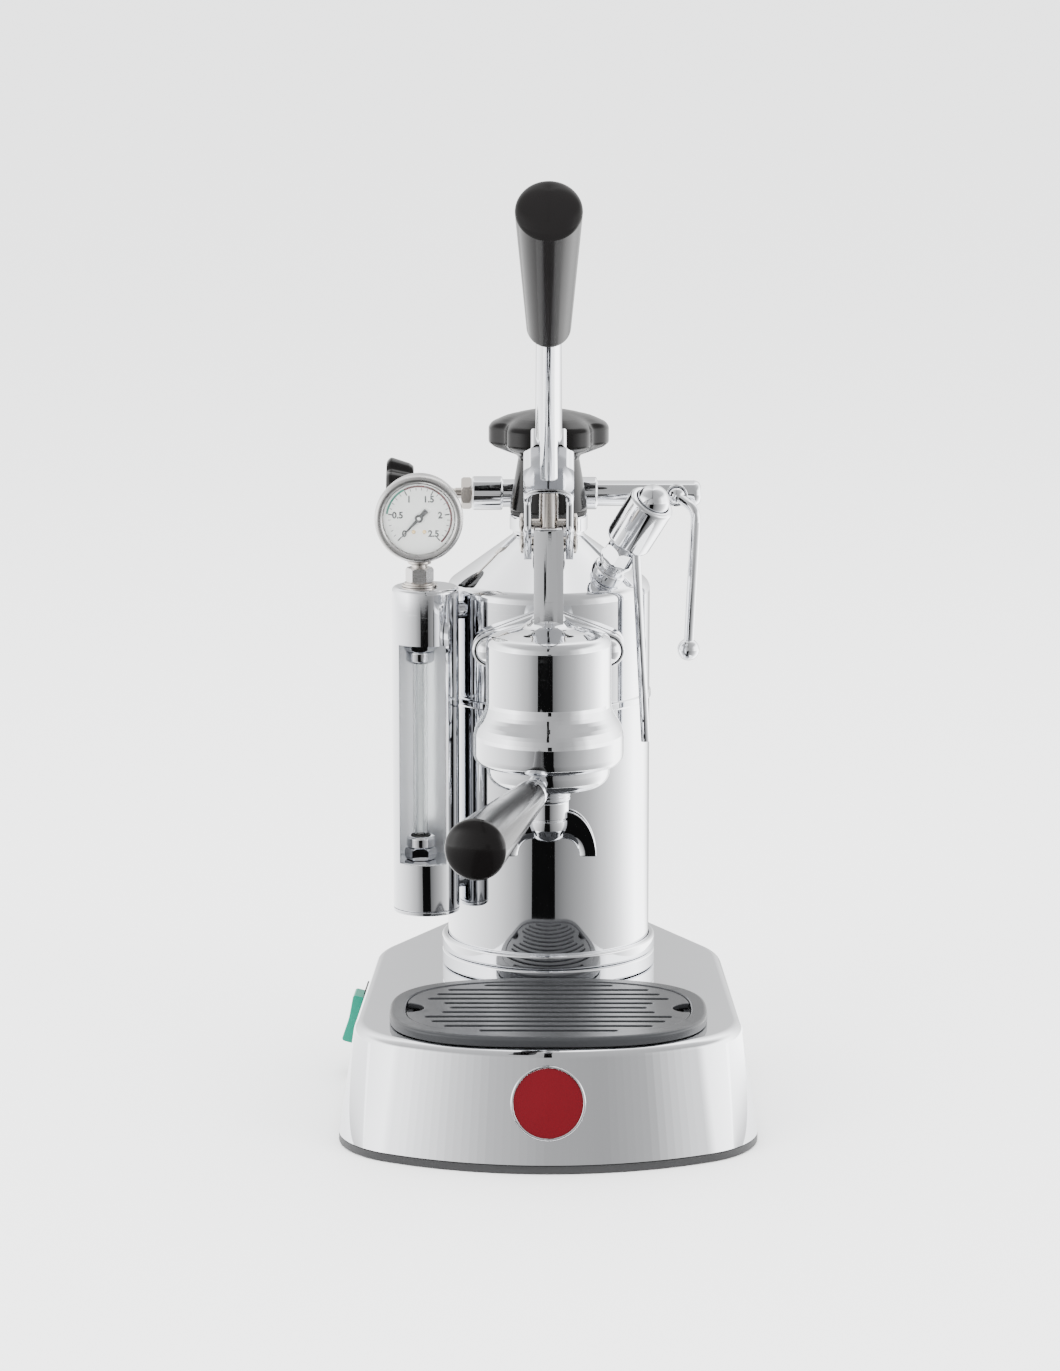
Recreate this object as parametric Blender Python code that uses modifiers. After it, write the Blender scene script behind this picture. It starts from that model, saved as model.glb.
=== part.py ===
"""A lever espresso machine, built as separate pieces at their real size.

+X is the machine's right as seen from the front, the front faces -Y and +Z is up.
The origin lies on the boiler's axis, on the table.
"""

import math

import bmesh
import bpy
from mathutils import Matrix, Vector

MM = 0.001

# How pieces meet, and how far a cutter runs past what it cuts
GAP = 0.3 * MM
OVERRUN = 3.0 * MM

# How finely round pieces are divided
FINE_STEPS = 20
MEDIUM_STEPS = 16
SMALL_STEPS = 12
PIN_STEPS = 8
CORNER_STEPS = 2

# Each round helper is turned a little further than the last, so that no two share an edge
HELPER_TURN = math.radians(3.54)

# Base: a pressed shell over a black pan
BASE_FRONT_MARGIN = 15.2 * MM
BASE_FRONT_ARC_SHARE = 1.506
BASE_FRONT_SWEEP = math.radians(27.6)
BASE_HALF_WIDTH = 101.6 * MM
BASE_CORNER_RADIUS = 46.0 * MM
BASE_SHOULDER_BACK = 29.0 * MM
BASE_SHOULDER_IN = 8.5 * MM
BASE_SHOULDER_RADIUS = 60.0 * MM
BASE_TAIL_BACK = 107.0 * MM
BASE_TAIL_HALF_WIDTH = 52.0 * MM
BASE_TAIL_RADIUS = 22.0 * MM
BASE_HEIGHT = 57.0 * MM
BASE_SIDE_DRAFT = 8.0 * MM
BASE_END_DRAFT = 11.0 * MM
BASE_EDGE_RADIUS = 4.0 * MM
BASE_SHEET = 1.4 * MM
PAN_HEIGHT = 4.2 * MM
PAN_FLOOR = 2.8 * MM
PAN_LIP_RISE = 5.0 * MM
PAN_LIP_WALL = 2.0 * MM
PAN_EDGE = 0.8 * MM

# Badge on the front wall
BADGE_RADIUS = 17.7 * MM
BADGE_THICKNESS = 1.6 * MM
BADGE_RIM = 1.3 * MM
BADGE_RIM_RISE = 0.7 * MM
BADGE_HEIGHT = 33.0 * MM

# Rocker switch on the left wall, pilot lamp on the right wall
SWITCH_HEIGHT = 27.0 * MM
SWITCH_TALL = 34.0 * MM
SWITCH_WIDE = 23.0 * MM
SWITCH_FLANGE = 2.4 * MM
SWITCH_BORDER = 3.4 * MM
SWITCH_WALL = 1.6 * MM
SWITCH_DEPTH = 18.0 * MM
SWITCH_CORNER = 1.5 * MM
ROCKER_REACH = 9.6 * MM
ROCKER_ROOT = 4.0 * MM
ROCKER_DIP = 0.9 * MM
ROCKER_PLAY = 1.4 * MM
ROCKER_TILT = math.radians(-6.0)
LAMP_HEIGHT = 30.0 * MM
LAMP_RADIUS = 8.6 * MM
LAMP_RISE = 1.2 * MM
LAMP_BODY_RADIUS = 6.4 * MM
LAMP_DEPTH = 14.0 * MM

# Cord gland at the rear
GLAND_HEIGHT = 21.0 * MM
GLAND_FLANGE_RADIUS = 9.0 * MM
GLAND_FLANGE = 3.0 * MM
GLAND_RADIUS = 6.5 * MM
GLAND_BORE = 3.4 * MM
GLAND_DEPTH = 12.0 * MM

# Drip tray and grille
TRAY_HALF_WIDTH = 76.0 * MM
TRAY_DEPTH = 114.0 * MM
TRAY_PLAY = 0.8 * MM
TRAY_RIM_RISE = 4.9 * MM
TRAY_RIM_WIDTH = 7.7 * MM
TRAY_LEDGE = 3.2 * MM
TRAY_WALL = 2.0 * MM
TRAY_BASIN = 20.0 * MM
TRAY_FLOOR = 2.0 * MM
TRAY_DRAFT = 1.5 * MM
TRAY_EDGE = 0.8 * MM
TRAY_ROUNDNESS = 2.7
TRAY_POINTS = 28
GRILLE_THICKNESS = 2.6 * MM
GRILLE_SET_IN = 0.4 * MM
SLOT_WIDTH = 3.3 * MM
SLOT_PITCH = 8.5 * MM
SLOT_REACH_SHARES = (0.41, 0.64, 0.71, 0.765, 0.66, 0.62, 0.67, 0.775, 0.73, 0.65, 0.43)
NOTCH_RADIUS = 8.5 * MM

# Boiler
BOILER_RADIUS = 50.0 * MM
BOILER_WALL = 1.2 * MM
RING_REACH = 3.0 * MM
LOWER_RING_HEIGHT = 7.9 * MM
UPPER_RING_HEIGHT = 7.2 * MM
RING_EDGE = 0.9 * MM
RING_SEAT = 6.0 * MM
ELEMENT_PLATE = 2.4 * MM
BOILER_GASKET = 1.0 * MM
BOILER_SHOULDER_Z = 250.0 * MM
BOILER_SHOULDER_EDGE = 2.6 * MM
CONE_TOP_Z = 274.0 * MM
NECK_RADIUS = 17.4 * MM
NECK_COLLAR_RADIUS = 19.2 * MM
NECK_COLLAR_HEIGHT = 8.0 * MM
NECK_TOP_Z = 284.0 * MM
NECK_BORE = 14.2 * MM
SEAM_Z = 193.2 * MM
SEAM_HEIGHT = 3.0 * MM
SEAM_RISE = 0.7 * MM

# Heating element and what holds the boiler down
STUB_RADIUS = 29.5 * MM
STUB_DROP = 12.0 * MM
RING_NUT_RADIUS = 37.0 * MM
RING_NUT_HEIGHT = 6.0 * MM
HEATER_ROD_RADIUS = 4.0 * MM
HEATER_HALF_SPAN = 19.0 * MM
HEATER_RISE = 42.0 * MM
HEATER_POINTS = 6
TERMINAL_RADIUS = 3.0 * MM
TERMINAL_DROP = 9.0 * MM

# Pressure switch in the base
PRESSURE_BOX = 40.0 * MM
PRESSURE_BOX_DEEP = 26.0 * MM
PRESSURE_BOX_TALL = 22.0 * MM
PRESSURE_BOX_EDGE = 1.5 * MM
PRESSURE_BACK = 66.0 * MM
PRESSURE_NECK_RADIUS = 7.0 * MM
PRESSURE_NECK_RISE = 8.0 * MM

# Group: bell, cylinder and piston
GROUP_CLEARANCE = 4.0 * MM
GROUP_LIP_Z = 177.2 * MM
BORE_RADIUS = 19.3 * MM
SLEEVE_WALL = 2.6 * MM
SLEEVE_HEIGHT = 44.0 * MM
SLEEVE_DROP = 2.0 * MM
BELL_WALL = 7.75 * MM
BELL_ROOF = 4.2 * MM
BELL_SHOULDER = 2.6 * MM
BELL_DOME_RISE = 5.2 * MM
SKIRT_WALL = 2.5 * MM
SKIRT_ROOF = 1.8 * MM
SKIRT_FLARE = 12.0 * MM
SKIRT_TUCK = 5.3 * MM
LIP_THICKNESS = 2.2 * MM
LIP_PLAY = 0.6 * MM
LIP_WIDTH = 1.6 * MM
SCREEN_WALL = 0.8 * MM
SCREEN_DROP = 2.1 * MM
SEAL_THICKNESS = 4.6 * MM
PISTON_HEIGHT = 14.0 * MM
PISTON_HEADROOM = 0.6 * MM
PISTON_SEAL_HEIGHT = 2.6 * MM
PISTON_SEAL_DEPTH = 2.4 * MM
PISTON_SEAL_SHARES = (0.22, 0.72)
ROD_RADIUS = 4.5 * MM
ROD_PLAY = 0.4 * MM
ROD_SEAT = 7.0 * MM
ROD_ABOVE_PIN = 14.0 * MM

# Group: post, neck and flange
POST_WIDTH = 14.1 * MM
POST_FRONT = 8.0 * MM
POST_TOP_Z = 292.0 * MM
POST_EDGE = 1.6 * MM
POST_FLARE = 3.2 * MM
POST_FLARE_RISE = 8.0 * MM
LUG_RADIUS = 7.0 * MM
GROUP_NECK_Z = 226.5 * MM
GROUP_NECK_RADIUS = 15.0 * MM
GROUP_FLANGE = 6.0 * MM
GROUP_FLANGE_RADIUS = 19.0 * MM
GROUP_EAR_RADIUS = 8.4 * MM
GROUP_GASKET = 1.6 * MM
GROUP_PAD_RISE = 2.5 * MM
BOLT_HALF_SPAN = 28.5 * MM
BOLT_HEAD_RADIUS = 6.5 * MM
BOLT_HEAD_HEIGHT = 6.0 * MM
BOLT_RADIUS = 3.2 * MM
BOLT_BITE = 6.5 * MM
WATERWAY_RADIUS = 4.0 * MM
DIP_TUBE_RADIUS = 3.0 * MM
DIP_TUBE_WALL = 0.8 * MM
DIP_TUBE_IN = 14.0 * MM
DIP_TUBE_FOOT_Z = 78.0 * MM

# Lever linkage
PIVOT_BACK = 25.0 * MM
PIVOT_Z = 280.0 * MM
PIN_REST_Z = 293.0 * MM
PIVOT_PIN_RADIUS = 3.0 * MM
ROD_PIN_RADIUS = 2.5 * MM
PIN_HEAD_RADIUS = 5.2 * MM
PIN_HEAD_HEIGHT = 2.0 * MM
LEVER_ANGLE = math.radians(36.0)
LEVER_UP = math.radians(9.0)
LEVER_DOWN = math.radians(53.0)
STROKE_PER_RADIAN = 27.6 * MM
FORK_GAP = 16.3 * MM
EAR_THICKNESS = 3.6 * MM
EAR_RADIUS = 7.6 * MM
EAR_WALL = 3.2 * MM
BRIDGE_REACH = 52.0 * MM
BRIDGE_CORNER = 5.0 * MM
PLATE_THICKNESS = 9.6 * MM
PLATE_REACH = 92.0 * MM
PLATE_EDGE = 1.0 * MM
SHOULDER_REACH = 115.0 * MM
SHOULDER_WIDTH = 16.4 * MM
SHOULDER_CORNER = 3.5 * MM
LEVER_ROD_START = 73.0 * MM
LEVER_ROD_RADIUS = 6.3 * MM
LEVER_ROD_TIP_RADIUS = 5.7 * MM
LEVER_ROD_CHAMFER = 1.6 * MM
GRIP_START = 208.0 * MM
GRIP_LENGTH = 110.0 * MM
GRIP_NEAR_RADIUS = 9.9 * MM
GRIP_FAR_RADIUS = 14.5 * MM
GRIP_EDGE = 3.0 * MM
GRIP_CROWN = 4.0 * MM
TANG_RADIUS = 4.0 * MM
TANG_LENGTH = 30.0 * MM

# Portafilter, basket and spout
BASKET_RADIUS = 25.4 * MM
BASKET_WALL = 0.8 * MM
BASKET_FLANGE = 2.6 * MM
BASKET_DEPTH = 18.0 * MM
PORTAFILTER_WALL = 3.75 * MM
PORTAFILTER_FLOOR = 2.4 * MM
PORTAFILTER_CURVE = 7.0 * MM
WING_REACH = 3.3 * MM
WING_THICKNESS = 3.6 * MM
WING_PLAY = 0.75 * MM
WING_DROP = 2.7 * MM
WING_SWEEP = math.radians(34.0)
PORTAFILTER_YAW = math.radians(-12.0)
PORTAFILTER_UNLOCK = math.radians(-50.0)
STUB_COLLAR_RADIUS = 10.4 * MM
STUB_COLLAR_HEIGHT = 6.8 * MM
NIPPLE_RADIUS = 5.0 * MM
NIPPLE_LENGTH = 9.0 * MM
DRAIN_RADIUS = 2.8 * MM
STEM_RADIUS = 4.0 * MM
STEM_DROP = 16.4 * MM
FERRULE_RADIUS = 7.3 * MM
FERRULE_LENGTH = 11.0 * MM
HANDLE_LENGTH = 122.0 * MM
HANDLE_NEAR_RADIUS = 7.9 * MM
HANDLE_FAR_RADIUS = 14.3 * MM
HANDLE_EDGE = 3.0 * MM
HANDLE_CROWN = 3.0 * MM
HANDLE_TANG = 34.0 * MM
SPOUT_RADIUS = 9.75 * MM
SPOUT_HEIGHT = 20.9 * MM
SPOUT_DOME = 9.0 * MM
SPOUT_WALL = 1.3 * MM
SPOUT_ARC = 9.5 * MM
SPOUT_CHANNEL = 3.65 * MM
SPOUT_TALL_SHARE = 1.72
SPOUT_PORT = 2.0 * MM
SPOUT_TIP_Z = 132.0 * MM

# Filler cap
CAP_CONE_RADIUS = 19.4 * MM
CAP_CONE_TOP_RADIUS = 14.8 * MM
CAP_CONE_HEIGHT = 27.0 * MM
CAP_KNOB_RADIUS = 29.6 * MM
CAP_KNOB_UNDERSIDE = 5.0 * MM
CAP_KNOB_SIDE = 10.5 * MM
CAP_KNOB_DOME = 6.6 * MM
CAP_LOBES = 6
CAP_LOBE_SHARE = 0.16
CAP_PLUG_LENGTH = 9.0 * MM
CAP_GASKET = 1.8 * MM

# Steam tap
TAP_Z = 290.0 * MM
TAP_LEFT = 38.0 * MM
TAP_LEFT_LENGTH = 15.0 * MM
TAP_LEFT_RADIUS = 8.4 * MM
TAP_BODY_RADIUS = 6.9 * MM
TAP_COLLAR_START = 14.0 * MM
TAP_COLLAR_END = 24.0 * MM
TAP_COLLAR_RADIUS = 8.1 * MM
TAP_TUBE_RADIUS = 6.35 * MM
TAP_RIGHT = 75.7 * MM
TAP_END_EDGE = 1.6 * MM
TAP_BORE = 3.3 * MM
TAP_EDGE = 0.8 * MM
PEDESTAL_HEX = 7.9 * MM
PEDESTAL_HEX_HEIGHT = 6.0 * MM
PEDESTAL_RADIUS = 6.0 * MM
SPIGOT_RADIUS = 3.8 * MM
SPIGOT_LENGTH = 6.0 * MM
TAP_BOSS_RADIUS = 10.0 * MM
TAP_BOSS_TOP_Z = 272.0 * MM
GLAND_NUT_RADIUS = 8.0 * MM
GLAND_NUT_LENGTH = 5.2 * MM
SPINDLE_RADIUS = 2.7 * MM
SPINDLE_INSIDE = 26.0 * MM
SPINDLE_SHOWN = 24.0 * MM
TAP_KNOB_RADIUS = 18.0 * MM
TAP_KNOB_NEAR_RADIUS = 15.0 * MM
TAP_KNOB_LENGTH = 13.4 * MM
TAP_KNOB_EDGE = 1.6 * MM
TAP_KNOB_HUB = 6.0 * MM
TAP_KNOB_BITE = 9.0 * MM

# Steam wand
WAND_BALL_RADIUS = 4.4 * MM
WAND_X = 63.5 * MM
WAND_RADIUS = 2.5 * MM
WAND_TIP_RADIUS = 5.5 * MM
WAND_OUT = 9.5 * MM
WAND_FORWARD = 9.0 * MM
WAND_ARM_DROP = 6.0 * MM
WAND_DROP = 76.0 * MM
WAND_LEAN = 3.5 * MM
WAND_BEND_POINTS = 4

# Safety valve and its overflow tube
VALVE_AZIMUTH = math.radians(40.0)
VALVE_RING_INSET = 12.0 * MM
VALVE_BOSS_RADIUS = 8.5 * MM
VALVE_BOSS_RISE = 3.0 * MM
VALVE_SPIGOT_RADIUS = 4.4 * MM
VALVE_SPIGOT_LENGTH = 6.0 * MM
VALVE_NECK_RADIUS = 6.0 * MM
VALVE_NECK = 5.5 * MM
VALVE_HEX = 8.6 * MM
VALVE_HEX_HEIGHT = 8.0 * MM
VALVE_WAIST = 3.0 * MM
VALVE_RADIUS = 11.4 * MM
VALVE_HEIGHT = 27.0 * MM
VALVE_EDGE = 2.2 * MM
VALVE_BORE = 8.6 * MM
VALVE_BORE_DEPTH = 12.0 * MM
VALVE_CAP_RADIUS = 8.2 * MM
OVERFLOW_RADIUS = 2.2 * MM
OVERFLOW_WALL = 0.6 * MM
OVERFLOW_SIDE_SHARE = 0.5
OVERFLOW_BITE = 3.0 * MM
OVERFLOW_LENGTH = 94.0 * MM
OVERFLOW_LEAN = 5.0 * MM

# Sight glass column and gauge
SIGHT_HEADING = math.radians(28.8)
SIGHT_FOOT_Z = 91.5 * MM
SIGHT_TOP_Z = 253.4 * MM
GUARD_RADIUS = 16.3 * MM
GUARD_WALL = 1.2 * MM
GUARD_ROOF = 1.6 * MM
GUARD_EDGE = 1.4 * MM
GUARD_CLEARANCE = 2.2 * MM
GUARD_WINDOW_FOOT_Z = 117.0 * MM
GUARD_WINDOW_TOP_Z = 226.0 * MM
GUARD_WINDOW_WIDTH = 23.0 * MM
GLASS_OFFSET = 2.8 * MM
GLASS_RADIUS = 3.5 * MM
GLASS_WALL = 1.2 * MM
GLASS_BITE = 5.0 * MM
FITTING_ARM_RADIUS = 4.5 * MM
FITTING_HEIGHT = 24.0 * MM
FITTING_FLANGE = 1.8 * MM
FITTING_ARM_INSIDE = 3.0 * MM
SIGHT_NUT_RADIUS = 7.9 * MM
SIGHT_NUT_HEX = 5.6 * MM
SIGHT_NUT_COLLAR_RADIUS = 7.1 * MM
SIGHT_NUT_COLLAR = 5.8 * MM
GAUGE_NUT_RADIUS = 6.9 * MM
GAUGE_NUT_HEIGHT = 8.8 * MM
GAUGE_LUG_RADIUS = 5.7 * MM
GAUGE_LUG_HEIGHT = 6.0 * MM
GAUGE_SPIGOT_RADIUS = 3.6 * MM
GAUGE_RADIUS = 20.4 * MM
GAUGE_WALL = 1.2 * MM
GAUGE_DEPTH = 19.0 * MM
GAUGE_FRONT = 13.0 * MM
GAUGE_DIAL_SET_IN = 4.6 * MM
GAUGE_DIAL = 1.0 * MM
GAUGE_BEZEL_RADIUS = 21.5 * MM
GAUGE_BEZEL_OPENING = 17.2 * MM
GAUGE_BEZEL_DEPTH = 5.0 * MM
GAUGE_LENS = 1.2 * MM
NEEDLE_LENGTH = 13.0 * MM
NEEDLE_TAIL = 5.5 * MM
NEEDLE_HALF_WIDTH = 0.9 * MM
NEEDLE_THICKNESS = 0.6 * MM
NEEDLE_HUB_RADIUS = 2.0 * MM
NEEDLE_SHAFT_RADIUS = 0.9 * MM
NEEDLE_ANGLE = math.radians(227.0)

# Heights and places that follow from the sizes above
RING_BASE_Z = BASE_HEIGHT + GAP
PLATE_TOP_Z = RING_BASE_Z + ELEMENT_PLATE
BOILER_FOOT_Z = PLATE_TOP_Z + BOILER_GASKET + 2 * GAP
LOWER_RING_TOP_Z = RING_BASE_Z + LOWER_RING_HEIGHT
UPPER_RING_TOP_Z = LOWER_RING_TOP_Z + GAP + UPPER_RING_HEIGHT
BOILER_INNER = BOILER_RADIUS - BOILER_WALL
CONE_SLOPE = (CONE_TOP_Z - BOILER_SHOULDER_Z) / (BOILER_RADIUS - NECK_RADIUS)

TRAY_BACK = BOILER_RADIUS + RING_REACH + TRAY_PLAY
TRAY_CENTRE_Y = -(TRAY_BACK + TRAY_DEPTH / 2)
BASE_FRONT = TRAY_BACK + TRAY_DEPTH + BASE_FRONT_MARGIN
BASE_FRONT_ARC = BASE_FRONT_ARC_SHARE * BASE_HALF_WIDTH
TRAY_FOOT_Z = BASE_HEIGHT + GAP
TRAY_TOP_Z = TRAY_FOOT_Z + TRAY_RIM_RISE
GRILLE_FOOT_Z = TRAY_TOP_Z - GRILLE_THICKNESS - GRILLE_SET_IN

SLEEVE_OUTER = BORE_RADIUS + SLEEVE_WALL
BELL_RADIUS = SLEEVE_OUTER + GAP + BELL_WALL
PORTAFILTER_BORE = BASKET_RADIUS + GAP
PORTAFILTER_RADIUS = PORTAFILTER_BORE + PORTAFILTER_WALL
WING_RADIUS = PORTAFILTER_RADIUS + WING_REACH
CAVITY_RADIUS = WING_RADIUS + WING_PLAY
SKIRT_RADIUS = CAVITY_RADIUS + SKIRT_WALL
LIP_TOP_Z = GROUP_LIP_Z + LIP_THICKNESS
WING_FOOT_Z = LIP_TOP_Z + GAP
RIM_Z = WING_FOOT_Z + WING_THICKNESS + WING_DROP
BASKET_TOP_Z = RIM_Z + GAP + BASKET_WALL
SEAL_FOOT_Z = BASKET_TOP_Z + GAP
CAVITY_TOP_Z = SEAL_FOOT_Z + SEAL_THICKNESS + GAP
SLEEVE_FOOT_Z = CAVITY_TOP_Z - SLEEVE_DROP
SCREEN_RADIUS = SLEEVE_OUTER + GAP + SCREEN_WALL
BORE_TOP_Z = SLEEVE_FOOT_Z + SLEEVE_HEIGHT + GAP
BELL_TOP_Z = BORE_TOP_Z + BELL_ROOF
PISTON_TOP_Z = BORE_TOP_Z - PISTON_HEADROOM - STROKE_PER_RADIAN * LEVER_UP
PISTON_RADIUS = BORE_RADIUS - 2 * GAP
PORTAFILTER_FOOT_Z = BASKET_TOP_Z - BASKET_DEPTH - GAP - PORTAFILTER_FLOOR
SPOUT_TOP_Z = PORTAFILTER_FOOT_Z - STUB_COLLAR_HEIGHT - GAP
SPOUT_FOOT_Z = SPOUT_TOP_Z - SPOUT_HEIGHT
STEM_Z = RIM_Z - STEM_DROP

GROUP_PAD_Y = -(BOILER_RADIUS + GROUP_PAD_RISE)
GROUP_FLANGE_Y = GROUP_PAD_Y - GROUP_GASKET - 2 * GAP
GROUP_REACH = BOILER_RADIUS + GROUP_CLEARANCE + SKIRT_RADIUS
PIVOT_Y = PIVOT_BACK - GROUP_REACH
FORK_HALF_WIDTH = FORK_GAP / 2 + EAR_THICKNESS

CAP_GASKET_Z = NECK_TOP_Z + GAP
CAP_FOOT_Z = CAP_GASKET_Z + CAP_GASKET + GAP
TAP_BACK = CAP_CONE_RADIUS + TAP_BODY_RADIUS + GAP
VALVE_RING = BOILER_RADIUS - VALVE_RING_INSET
SIGHT_DISTANCE = BOILER_RADIUS + GUARD_CLEARANCE + GUARD_RADIUS
SIGHT_LEFT = SIGHT_DISTANCE * math.cos(SIGHT_HEADING)
SIGHT_FRONT = SIGHT_DISTANCE * math.sin(SIGHT_HEADING)
GLASS_X = -(SIGHT_LEFT + GLASS_OFFSET)
FITTING_RADIUS = GUARD_RADIUS - GUARD_WALL - GAP
GAUGE_NUT_Z = SIGHT_TOP_Z + GAP
GAUGE_LUG_Z = GAUGE_NUT_Z + GAUGE_NUT_HEIGHT + GAP
GAUGE_Z = GAUGE_LUG_Z + GAUGE_LUG_HEIGHT + GAUGE_RADIUS - GAUGE_WALL
GAUGE_FACE_Y = -(SIGHT_FRONT + GAUGE_FRONT)

# Finishes: colour, roughness, metallic
FINISHES = {
    "chrome": ((0.86, 0.87, 0.89), 0.06, 1.0),
    "nickel": ((0.72, 0.69, 0.64), 0.22, 1.0),
    "brass": ((0.78, 0.60, 0.32), 0.28, 1.0),
    "steel": ((0.62, 0.62, 0.63), 0.30, 1.0),
    "satin_steel": ((0.70, 0.70, 0.71), 0.38, 1.0),
    "black_plastic": ((0.015, 0.015, 0.017), 0.20, 0.0),
    "matte_black": ((0.02, 0.02, 0.022), 0.55, 0.0),
    "tray_grey": ((0.16, 0.165, 0.17), 0.42, 0.4),
    "green_plastic": ((0.0, 0.42, 0.28), 0.22, 0.0),
    "red_enamel": ((0.48, 0.015, 0.025), 0.18, 0.0),
    "rubber": ((0.03, 0.03, 0.03), 0.75, 0.0),
    "dial_white": ((0.90, 0.90, 0.88), 0.45, 0.0),
    "glass": ((0.92, 0.95, 0.96), 0.03, 0.0),
    "lamp_amber": ((0.10, 0.03, 0.01), 0.20, 0.0),
}


def clear_scene():
    for obj in list(bpy.data.objects):
        bpy.data.objects.remove(obj)


def collection_named(name):
    group = bpy.data.collections.new(name)
    bpy.context.scene.collection.children.link(group)
    return group


clear_scene()
PARTS = collection_named("lever_espresso_machine")
CUTTERS = collection_named("cutters")
HELPERS = []


def finish_for(name, finish):
    """A material of the piece's own, made from one of the finishes."""
    colour, roughness, metallic = FINISHES[finish]
    material = bpy.data.materials.new(name)
    material.use_nodes = True
    shader = material.node_tree.nodes["Principled BSDF"]
    shader.inputs["Base Color"].default_value = (*colour, 1.0)
    shader.inputs["Roughness"].default_value = roughness
    shader.inputs["Metallic"].default_value = metallic
    if finish == "glass":
        shader.inputs["Transmission Weight"].default_value = 1.0
    return material


def add_object(name, mesh, finish=None, place=None):
    """Links a mesh as a piece, or as a hidden helper where it has no finish."""
    obj = bpy.data.objects.new(name, mesh)
    if place is not None:
        obj.matrix_world = place
    if finish:
        mesh.materials.append(finish_for(name, finish))
        PARTS.objects.link(obj)
    else:
        obj.hide_render = True
        obj.display_type = "WIRE"
        CUTTERS.objects.link(obj)
    return obj


def helper_name(purpose):
    HELPERS.append(purpose)
    return f"helper_{len(HELPERS)}_{purpose}"


def at(x=0.0, y=0.0, z=0.0):
    return Matrix.Translation((x, y, z))


def turn_x(angle):
    return Matrix.Rotation(angle, 4, "X")


def turn_y(angle):
    return Matrix.Rotation(angle, 4, "Y")


def turn_z(angle):
    return Matrix.Rotation(angle, 4, "Z")


# Takes a turned piece's axis from +Z to the direction that its name gives
TO_FRONT = turn_x(math.pi / 2)
TO_RIGHT = turn_y(math.pi / 2)
QUARTER_TURN = math.pi / 2


def turned(name, profile, finish=None, place=None, steps=MEDIUM_STEPS, ring=False):
    """Turns a profile of (radius, height) points about Z. It runs down the outer side."""
    mesh = bpy.data.meshes.new(name)
    points = [(radius, 0.0, height) for radius, height in profile]
    edges = [(i, i + 1) for i in range(len(points) - 1)]
    if ring:
        edges.append((len(points) - 1, 0))
    mesh.from_pydata(points, edges, [])
    obj = add_object(name, mesh, finish, place)
    screw = obj.modifiers.new("turn", "SCREW")
    screw.axis = "Z"
    screw.angle = 2 * math.pi
    screw.steps = steps
    screw.render_steps = steps
    screw.use_smooth_shade = True
    screw.use_merge_vertices = True
    screw.merge_threshold = 0.00001
    return obj


def turned_helper(purpose, profile, place=None, steps=MEDIUM_STEPS):
    """A turned cutter or addition, at a turn of its own about its axis."""
    name = helper_name(purpose)
    own_turn = turn_z(HELPER_TURN * len(HELPERS))
    return turned(name, profile, None, place @ own_turn if place else own_turn, steps)


def cylinder(purpose, radius, low, high, place=None, steps=SMALL_STEPS):
    """A plain round helper from one height to another."""
    profile = [(0.0, high), (radius, high), (radius, low), (0.0, low)]
    return turned_helper(purpose, profile, place, steps)


def tube_profile(outer, inner, low, high, edge=0.0):
    """A closed ring section with its outer edges cut back by edge."""
    profile = [(outer - edge, high), (outer, high - edge)] if edge else [(outer, high)]
    profile += [(outer, low + edge), (outer - edge, low)] if edge else [(outer, low)]
    return profile + [(inner, low), (inner, high)]


def bore(purpose, radius, low, high, place=None, steps=SMALL_STEPS):
    """A cutter for a round hole, whose flats just clear the radius."""
    return cylinder(purpose, radius / math.cos(math.pi / steps), low, high, place, steps)


def cut(obj, *cutters):
    for cutter in cutters:
        modifier = obj.modifiers.new("cut", "BOOLEAN")
        modifier.operation = "DIFFERENCE"
        modifier.object = cutter
    return obj


def join(obj, *others):
    for other in others:
        modifier = obj.modifiers.new("join", "BOOLEAN")
        modifier.operation = "UNION"
        modifier.object = other
    return obj


def meet(obj, other):
    modifier = obj.modifiers.new("meet", "BOOLEAN")
    modifier.operation = "INTERSECT"
    modifier.object = other
    return obj


def mesh_from_curve(curve, name, finish, place):
    """Makes a curve a welded mesh and removes the curve."""
    holder = bpy.data.objects.new("holder", curve)
    CUTTERS.objects.link(holder)
    bpy.context.view_layer.update()
    evaluated = holder.evaluated_get(bpy.context.evaluated_depsgraph_get())
    mesh = bpy.data.meshes.new_from_object(evaluated)
    bpy.data.objects.remove(holder)
    bpy.data.curves.remove(curve)
    body = bmesh.new()
    body.from_mesh(mesh)
    bmesh.ops.remove_doubles(body, verts=body.verts, dist=0.000001)
    bmesh.ops.recalc_face_normals(body, faces=body.faces)
    body.to_mesh(mesh)
    body.free()
    return add_object(name, mesh, finish, place)


def plate(name, outlines, thickness, finish=None, place=None):
    """A flat plate about its own middle plane. Outlines inside the first are holes."""
    curve = bpy.data.curves.new(name, "CURVE")
    curve.dimensions = "2D"
    curve.fill_mode = "BOTH"
    curve.extrude = thickness / 2
    for outline in outlines:
        spline = curve.splines.new("POLY")
        spline.points.add(len(outline) - 1)
        spline.use_cyclic_u = True
        for point, (x, y) in zip(spline.points, outline):
            point.co = (x, y, 0.0, 1.0)
    return mesh_from_curve(curve, name, finish, place)


def wire(name, route, radius, finish=None, place=None, resolution=3):
    """A round rod along a route of points, with filled ends."""
    curve = bpy.data.curves.new(name, "CURVE")
    curve.dimensions = "3D"
    curve.bevel_depth = radius
    curve.bevel_resolution = resolution
    curve.use_fill_caps = True
    spline = curve.splines.new("POLY")
    spline.points.add(len(route) - 1)
    for point, place_on in zip(spline.points, route):
        point.co = (*place_on, 1.0)
    return mesh_from_curve(curve, name, finish, place)


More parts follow.
